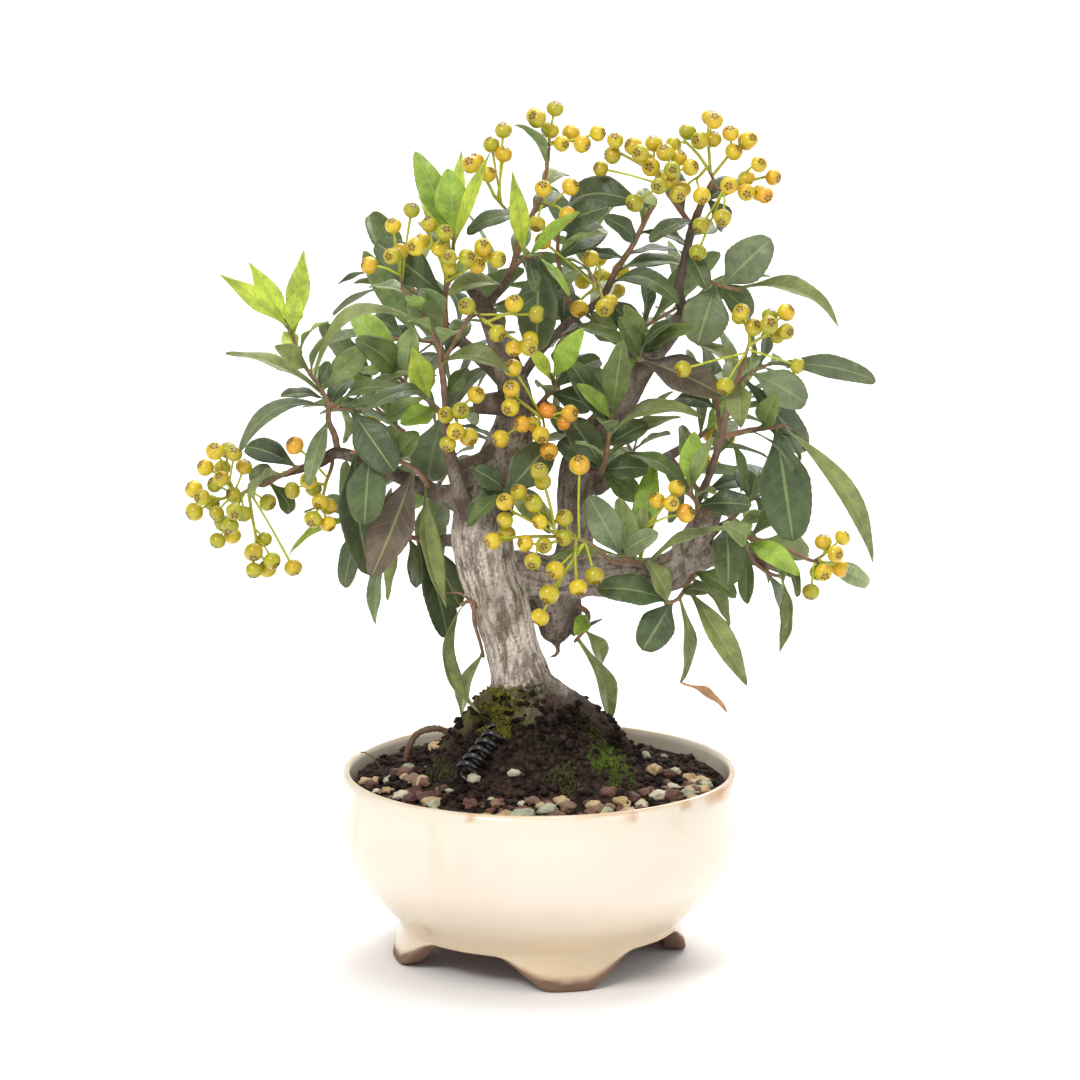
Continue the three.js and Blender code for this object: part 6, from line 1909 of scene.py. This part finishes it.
def build_soil():
    pile = Pile()
    soil_mesh(pile)
    draw = seeded(GRAVEL_SEED)
    for i in range(CRUMBS):
        turn, away = draw(0, 2 * math.pi), CRUMB_REACH * math.sqrt(draw(0.02, 1))
        x, y = away * math.sin(turn), -away * math.cos(turn)
        size = draw(0.5, 1.7)
        tone = draw(0.6, 1.45)
        colour = [share * tone for share in CRUMB_TONE]
        stretch = np.array([draw(0.8, 1.4), draw(0.8, 1.2), draw(0.6, 0.9)]) * size
        centre = np.array([x, y, ground(x, y) + 0.25 * size])
        lump(pile, BALL_1, centre, stretch, draw(0, 3), 0.5, i * 3.7, colour, 0)
    for i in range(PEBBLES):
        front = draw(0, 1) < FRONT_SHARE
        bearing = (draw(-85, 95) if front else draw(-180, 180)) * DEGREE
        away = draw(44, 60.5) if front else draw(30, 60)
        x, y = away * math.sin(bearing), -away * math.cos(bearing)
        size = draw(0.9, 2.9) if away < 57 else draw(0.8, 2)
        stretch = np.array([draw(0.9, 1.45), draw(0.8, 1.1), draw(0.6, 0.85)]) * size
        colour = GRAVEL_TONES[int(draw(0, len(GRAVEL_TONES) - 0.001))]
        centre = np.array([x, y, ground(x, y) + 0.35 * size])
        lump(pile, BALL_2, centre, stretch, draw(0, 3), 0.45, 500 + i * 5.3, colour, 1)
    piece = pile.build("soil_with_gravel", [SOIL, STONE])
    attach(piece, "root")
    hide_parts("soil")


# Moss: cushions of short blades, each as [x, height in the front view, reach aside, reach up, tone, blades]
MOSS_PATCHES = [
    (-13.5, 83, 6.5, 9, (146, 142, 52), 1500),
    (-18, 76, 5, 5, (128, 126, 52), 700),
    (20.5, 68, 5, 6, (104, 126, 50), 900),
    (27, 61, 4.5, 4.5, (98, 116, 48), 700),
    (24, 65, 6, 3, (118, 130, 54), 500),
    (8, 60, 5, 5, (96, 98, 54), 600),
    (-3, 88, 4, 4, (112, 110, 56), 300),
    (1, 70, 6, 4, (70, 68, 42), 300),
    (12, 79, 5, 4, (92, 86, 54), 260),
    (-33, 62, 5, 3, (92, 92, 52), 300),
]
MOSS_FACES = [[0, 1, 3], [1, 2, 3], [2, 0, 3], [0, 2, 1]]
MOSS_SINK = 0.3
SIGHT_START = -100


# The first surface met at x, and at this height in the front view: its place and its outward side
def seen_surface(tree, x, rise):
    start = np.array([x, SIGHT_START, (rise - SIGHT_DEPTH * SIGHT_START) / SIGHT_HEIGHT])
    aim = unit(SIGHT_LINE)
    place, side, _, _ = tree.ray_cast(Vector(start), Vector(aim))
    y = seen_ground(x, rise)
    if place is not None and place.y < y:
        return np.array(place), np.array(side)
    return np.array([x, y, ground(x, y)]), np.array([0, -0.25, 0.97])


# One blade: three corners round its foot, and its tip
def moss_blade(pile, foot, tip, side, size, start, colour, tone):
    flat = unit(np.cross(side, (0.3, 0.1, 0.9)))
    over = np.cross(side, flat)
    turns = [start + 2 * math.pi * k / 3 for k in range(3)]
    points = [foot + size * (flat * math.cos(turn) + over * math.sin(turn)) for turn in turns]
    # Each blade is far darker at its foot than at its tip: painted shade deep in the cushion
    colours = [[*(linear(colour) * 0.35 * tone), 1]] * 3 + [[*(linear(colour) * 1.15 * tone), 1]]
    pile.add([*points, tip], MOSS_FACES, colours, 0)


def build_moss(tree):
    for i, (x, rise, aside, upward, colour, count) in enumerate(MOSS_PATCHES):
        pile = Pile()
        draw = seeded(MOSS_SEED + i)
        for _ in range(count):
            turn, away = draw(0, 2 * math.pi), math.sqrt(draw(0, 1))
            patchy = 1 + 0.35 * math.sin(3 * turn + i) + 0.2 * math.sin(5 * turn + 2 * i)
            px = x + aside * away * patchy * math.cos(turn)
            seen = rise + upward * away * patchy * math.sin(turn)
            foot, side = seen_surface(tree, px, seen)
            tuft = max(0, noise.noise(Vector((px / 1.6, seen / 1.6, i))) + 0.25)
            lean = side + np.array([draw(-0.6, 0.6), draw(-0.6, 0.6), draw(0, 0.9)])
            tip = foot + unit(lean) * (0.7 + 1.6 * tuft + draw(0, 0.7))
            size, start, tone = draw(0.16, 0.3), draw(0, 2), draw(0.6, 1.25)
            moss_blade(pile, foot - side * MOSS_SINK, tip, side, size, start, colour, tone)
        piece = pile.build(f"moss_{i + 1}", [MOSS])
        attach(piece, "root")


# Wood: the limbs are run together, then ridged along their length
WOOD_CELL = 0.62
KNOT = (-13.7, -9, 122, 4.2)
SCAR = (57, -6, 154)
WOOD_STEP = 1.5
WOOD_SIDES = 24
WOOD_SMOOTHING = 3
LIMB_SHADE = 0.6
NEAREST_BLOCK = 4000
BARK_PALE = linear((222, 208, 194))
BARK_MIDDLE = linear((174, 156, 140))
BARK_DARK = linear((84, 68, 58))
BARK_WET = linear((50, 38, 32))
BARK_MOSSY = linear((112, 112, 52))
KNOT_COLLAR = linear((136, 126, 92))
SCAR_WOOD = linear((188, 160, 122))
DRAFT_COLOUR = (0, 0, 0, 1)
# How dark each limb's bark is, where it isn't LIMB_SHADE; the burl's darkness is painted shade, as it sits
# behind the trunk
LIMB_SHADES = {
    "trunk": 0, "left_root": 0, "right_root": 0.2, "burl": 0.85, "right_limb": 0.5, "scar_stub": 0.3,
}


def remeshed(pile, cell):
    piece = pile.build("wood_draft", [])
    modifier = piece.modifiers.new("skin", "REMESH")
    modifier.mode = "VOXEL"
    modifier.voxel_size = cell * MM
    shaped = piece.evaluated_get(bpy.context.evaluated_depsgraph_get()).to_mesh()
    points = np.zeros(len(shaped.vertices) * 3, np.float32)
    shaped.vertices.foreach_get("co", points)
    normals = np.zeros(len(shaped.vertices) * 3, np.float32)
    shaped.vertices.foreach_get("normal", normals)
    faces = [list(face.vertices) for face in shaped.polygons]
    piece.to_mesh_clear()
    bpy.data.objects.remove(piece)
    points = points.reshape(-1, 3).astype(float) / MM - SHIFT
    return points, normals.reshape(-1, 3).astype(float), faces


def neighbours_mean(points, faces, rounds):
    corners = np.array([face for face in faces if len(face) == 4])
    for _ in range(rounds):
        total, count = np.zeros_like(points), np.zeros(len(points))
        for k in range(4):
            a, b = corners[:, k], corners[:, (k + 1) % 4]
            np.add.at(total, a, points[b])
            np.add.at(total, b, points[a])
            np.add.at(count, a, 1)
            np.add.at(count, b, 1)
        points = mix(points, total / np.maximum(count, 1)[:, None], 0.5)
    return points


def nearest_on_wood(points):
    centres, radii, aims, starts, shades = [], [], [], [], []
    for i, (name, path) in enumerate(WOOD.items()):
        rows = smooth_path(path, WOOD_STEP)
        shades.append(np.full(len(rows), LIMB_SHADES.get(name, LIMB_SHADE)))
        centres.append(rows[:, :3])
        radii.append(rows[:, 3])
        aim = np.gradient(rows[:, :3], axis=0)
        aims.append(aim / np.linalg.norm(aim, axis=1, keepdims=True))
        starts.append(WOOD_STEP * np.arange(len(rows)) + 97 * i)
    tables = (centres, radii, aims, starts, shades)
    centres, radii, aims, starts, shades = map(np.concatenate, tables)
    nearest = np.zeros(len(points), int)
    for first in range(0, len(points), NEAREST_BLOCK):
        block = slice(first, first + NEAREST_BLOCK)
        away = np.linalg.norm(points[block, None] - centres[None], axis=2) - radii[None]
        nearest[block] = away.argmin(axis=1)
    return centres[nearest], radii[nearest], aims[nearest], starts[nearest], shades[nearest]


# How far the bark stands out at each point, and how near each point is to a crack
def bark_relief(points, radii, along, angle, thick):
    lift = np.zeros(len(points))
    ridged = np.zeros(len(points))
    for i, (x, y, z) in enumerate(points):
        broad = noise.noise(Vector((x / 11, y / 11, z / 20)))
        turned = radii[i] * angle[i]
        furrow = noise.noise(Vector((turned / 2.1, along[i] / 15, 0.3 * radii[i])))
        fine = noise.noise(Vector((x / 1.4, y / 1.4, z / 4)))
        ridged[i] = 1 - abs(furrow) * 2.2
        cracks = 0.6 * max(0, ridged[i] - 0.55) * thick[i]
        lift[i] = broad * 1.6 * thick[i] - cracks + 0.22 * fine * (0.3 + thick[i])
    return lift, ridged


# Bark colours, darker on the limbs and at the foot, with paleness as alpha; bark that faces the front is
# made paler as painted light
def bark_colours(points, normals, shades, thick, ridged, knot, scar):
    # How far the bark faces the front; it makes that side paler below, as painted light
    front = smooth(0.5, -0.9, normals[:, 1])
    colours = np.zeros((len(points), 4))
    for i, (x, y, z) in enumerate(points):
        patch = noise.noise(Vector((x / 8, y / 8, z / 13)))
        paleness = float(np.clip(0.25 + 0.6 * front[i] + 0.8 * patch, 0, 1))
        tone = mix(BARK_MIDDLE, BARK_PALE, paleness * thick[i])
        tone = mix(BARK_DARK, tone, 0.35 + 0.65 * thick[i])
        tone = mix(tone, BARK_DARK * 0.8, 0.75 * float(smooth(0.6, 0.95, ridged[i])) * thick[i])
        # Darker on the limbs, painted shade on the burl, and darker above a height of about 148 mm
        shaded = max(float(shades[i]), 0.8 * float(smooth(144, 151, z + 3 * patch)))
        tone = mix(tone, BARK_DARK, float(np.clip(shaded * (0.85 + 0.6 * patch), 0, 0.9)))
        base = float(smooth(101, 86, z + 7 * patch))
        tone = mix(tone, BARK_WET, 0.93 * base)
        green = base * float(smooth(0, 0.35, patch + 0.2))
        green = green * float(smooth(4, -8, x)) * float(smooth(68, 78, z))
        tone = mix(tone, BARK_MOSSY, 0.6 * green)
        tone = mix(tone, BARK_DARK * 0.5, 0.85 * float(np.exp(-((knot[i] / 0.6) ** 2))))
        tone = mix(tone, KNOT_COLLAR, 0.5 * float(np.exp(-(((knot[i] - 1.4) / 0.6) ** 2))))
        tone = mix(tone, SCAR_WOOD, 0.75 * float(np.exp(-((scar[i] / 3.4) ** 4))))
        colours[i] = [*tone, (1 - base) * (1 - 0.8 * shaded)]
    return colours


def build_wood():
    draft = Pile()
    for path in WOOD.values():
        tube(draft, smooth_path(path, WOOD_STEP), WOOD_SIDES, DRAFT_COLOUR, 0)
    points, normals, faces = remeshed(draft, WOOD_CELL)
    points = neighbours_mean(points, faces, WOOD_SMOOTHING)
    centres, radii, aims, along, shades = nearest_on_wood(points)
    out = points - centres
    side = np.cross(aims, np.array([0.31, 0.17, 0.93]))
    side /= np.linalg.norm(side, axis=1, keepdims=True)
    across = np.cross(aims, side)
    angle = np.arctan2((out * across).sum(1), (out * side).sum(1))
    thick = smooth(1.5, 7, radii)
    lift, ridged = bark_relief(points, radii, along, angle, thick)
    knot = np.linalg.norm((points - np.array(KNOT[:3])) * np.array([1, 0.7, 0.85]), axis=1) / KNOT[3]
    lift += 1.3 * np.exp(-(((knot - 1.15) / 0.3) ** 2)) - 2.0 * np.exp(-((knot / 0.7) ** 2))
    scar = np.linalg.norm(points - np.array(SCAR), axis=1)
    lift -= 1.3 * np.exp(-((scar / 3.0) ** 2))
    points = points + normals * lift[:, None]
    pile = Pile()
    pile.add(points, faces, bark_colours(points, normals, shades, thick, ridged, knot, scar), 0)
    piece = pile.build("wood_with_bark", [BARK])
    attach(piece, "root")
    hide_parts("trunk_and_branches")
    return points, normals, BVHTree.FromPolygons(points.tolist(), faces)


# Crumbs of soil that cling to the roots and the foot of the trunk
CLINGING_CRUMBS = 900
CLINGING_TONE = (52, 39, 33)


def build_clinging_soil(points, normals):
    draw = seeded(CLINGING_SEED)
    low_points = np.flatnonzero((points[:, 2] < 95) & (points[:, 2] > 60) & (np.abs(points[:, 0]) < 60))
    pile = Pile()
    for i in range(CLINGING_CRUMBS):
        place = low_points[int(draw(0, len(low_points) - 1))]
        x, y, z = points[place]
        if z > 80 + draw(0, 14) or z < ground(x, y) - 1:
            continue
        size = draw(0.5, 1.5)
        tone = draw(0.5, 1.3)
        colour = [share * tone for share in CLINGING_TONE]
        stretch = np.array([draw(0.8, 1.4), draw(0.8, 1.2), draw(0.6, 0.9)]) * size
        centre = points[place] + normals[place] * 0.1 * size
        lump(pile, BALL_1, centre, stretch, draw(0, 3), 0.5, i * 2.9, colour, 0)
    piece = pile.build("clinging_soil", [SOIL])
    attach(piece, "root")


def coil_path():
    lift = COIL_RADIUS + WIRE_RADIUS - COIL_SINK
    start, end = [np.array([x, y, soil_height(x, y) + lift]) for x, y in (COIL_START, COIL_END)]
    along = unit(end - start)
    up = unit(np.array([0, 0, 1]) - along * along[2])
    across = np.cross(along, up)
    steps = round(COIL_TURNS * COIL_STEPS)
    rows = []
    for i in range(steps + 1):
        angle = 2 * math.pi * i / COIL_STEPS
        point = mix(start, end, i / steps)
        point = point + COIL_RADIUS * (up * math.cos(angle) + across * math.sin(angle))
        rows.append([*point, WIRE_RADIUS * WIRE_SHARE])
    return np.array(rows)


def build_extra(name, path, step, sides, tone, material, node_name=None, roughness=0.0):
    pile = Pile()
    rows = smooth_path(path, step) if step else np.array(path)
    draw = seeded(len(name))
    if roughness:
        for row in rows:
            row[3] *= 1 + draw(-roughness, roughness)
    tube(pile, rows, sides, with_alpha(tone), 0)
    piece = pile.build(name, [material])
    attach(piece, "root")
    if node_name:
        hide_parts(node_name)


TENDRIL = [[-53, -6, 65, 0.35], [-54.5, -8, 68, 0.3], [-56, -9, 70, 0.28], [-58.5, -8, 71.5, 0.25],
           [-60, -6, 71, 0.22]]
STICK = [[-13, -22, 71, 0.8], [-11, -25, 67.5, 0.9], [-9, -28, 64.5, 0.8]]

# A dry leaf that hangs on the point of the crown nearest to it in the front view
DEAD_LEAF = {"seen": (49.7, 99.3), "reach": (15.6, -2.0, -9.5), "width": 3.4, "arch": 0.12, "face": 40}


def seen_gap(point):
    x, rise = DEAD_LEAF["seen"]
    return math.hypot(point[0] - x, SIGHT_HEIGHT * point[2] + SIGHT_DEPTH * point[1] - rise)


def build_dead_leaf():
    tips = [leaf["tip"] for _, leaves in sprays.values() for leaf in leaves]
    root = min(tips, key=seen_gap)
    tip = root + np.array(DEAD_LEAF["reach"])
    leaf = {"root": root, "tip": tip, "width": DEAD_LEAF["width"], "arch": DEAD_LEAF["arch"], "tone": "dry"}
    leaf["normal"] = front_normal(root, tip, DEAD_LEAF["face"])
    pile = Pile()
    leaf_blade(pile, leaf, seeded(DEAD_LEAF_SEED), 0)
    piece = pile.build("dead_leaf", [DRY])
    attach(piece, "root")


low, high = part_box("pot")
SHIFT = np.array([(low[0] + high[0]) / 2, (low[1] + high[1]) / 2, 0]) / MM

build_pot()
build_soil()
wood_points, wood_normals, wood_tree = build_wood()
build_clinging_soil(wood_points, wood_normals)
build_moss(wood_tree)
build_extra("coiled_wire", coil_path(), 0, 12, (26, 24, 24), WIRE, "training_wire")
build_extra("brown_rootlet", ROOTLET, 0.8, 10, (118, 94, 76), DRY, "surface_rootlet", 0.16)
build_extra("dry_tendril", TENDRIL, 0.5, 6, (112, 88, 62), DRY)
build_extra("grey_stick", STICK, 0.7, 8, (132, 122, 112), DRY, None, 0.15)
for index, name in enumerate(sprays):
    build_spray(name, index)
for index, name in enumerate(bunches):
    build_bunch(name, index)
build_dead_leaf()


# Backdrop in metres: a pale floor that curves up behind
BACKDROP_HALF_WIDTH = 6
BACKDROP_FRONT = -6.0
BEND_START = 1.2
BEND_RADIUS = 1.5
BEND_STEPS = 24
BACKDROP_TOP = 7.0
BACKDROP_COLOUR = (0.93, 0.93, 0.93, 1)


def build_backdrop():
    points, faces = [], []
    profile = [(BACKDROP_FRONT, 0.0), (BEND_START, 0.0)]
    for k in range(1, BEND_STEPS + 1):
        angle = math.pi / 2 * k / BEND_STEPS
        depth, rise = math.sin(angle), 1 - math.cos(angle)
        profile.append((BEND_START + BEND_RADIUS * depth, BEND_RADIUS * rise))
    profile.append((BEND_START + BEND_RADIUS, BACKDROP_TOP))
    for y, z in profile:
        points += [(-BACKDROP_HALF_WIDTH, y, z), (BACKDROP_HALF_WIDTH, y, z)]
    for i in range(len(profile) - 1):
        faces.append([2 * i, 2 * i + 1, 2 * i + 3, 2 * i + 2])
    mesh = bpy.data.meshes.new("backdrop")
    mesh.from_pydata(points, [], faces)
    mesh.polygons.foreach_set("use_smooth", [True] * len(faces))
    backdrop = bpy.data.objects.new("backdrop", mesh)
    bpy.context.scene.collection.objects.link(backdrop)
    look = Look("backdrop", 0.95)
    look.set("Base Color", BACKDROP_COLOUR)
    look.set("Specular IOR Level", 0)
    mesh.materials.append(look.material)


def area_light(name, place, aim, size, watts, tint):
    light = bpy.data.lights.new(name, "AREA")
    light.shape = "DISK"
    light.size = size
    light.energy = watts
    light.color = tint
    lamp = bpy.data.objects.new(name, light)
    bpy.context.scene.collection.objects.link(lamp)
    lamp.location = place
    lamp.rotation_euler = (Vector(aim) - Vector(place)).to_track_quat("-Z", "Y").to_euler()


# Each lamp: name, place, aim, size, watts, tint
LAMPS = [
    ("key", (-0.9, -1.5, 1.7), (0, 0, 0.13), 0.8, 25, (1, 0.99, 0.97)),
    ("fill", (1.5, -1.3, 0.9), (0, 0, 0.13), 1.2, 6, (1, 1, 1)),
    ("top", (0, 0.1, 2.0), (0, 0, 0.1), 1.2, 13, (1, 1, 1)),
    ("back", (0.3, 1.0, 1.2), (0, 0.6, 0.6), 1.4, 22, (1, 1, 1)),
]
ROOM_LIGHT = 0.5

build_backdrop()
for lamp in LAMPS:
    area_light(*lamp)

world = bpy.data.worlds.new("room")
world.use_nodes = True
room = world.node_tree.nodes["Background"]
room.inputs["Color"].default_value = (1, 1, 1, 1)
room.inputs["Strength"].default_value = ROOM_LIGHT
bpy.context.scene.world = world
bpy.context.scene.view_settings.view_transform = "Standard"

CAMERA_ELEVATION = 12 * DEGREE
CAMERA_DISTANCE = 2.0
SENSOR_WIDTH = 36
FOCAL_LENGTH = 200
TARGET_HEIGHT = 0.1425
camera_data = bpy.data.cameras.new("front")
camera_data.sensor_width = SENSOR_WIDTH
camera_data.lens = FOCAL_LENGTH
camera = bpy.data.objects.new("front", camera_data)
bpy.context.scene.collection.objects.link(camera)
target = Vector((float(SHIFT[0]) * MM, float(SHIFT[1]) * MM, TARGET_HEIGHT))
back = Vector((0, -math.cos(CAMERA_ELEVATION), math.sin(CAMERA_ELEVATION)))
camera.location = target + back * CAMERA_DISTANCE
camera.rotation_euler = (-back).to_track_quat("-Z", "Y").to_euler()
bpy.context.scene.camera = camera
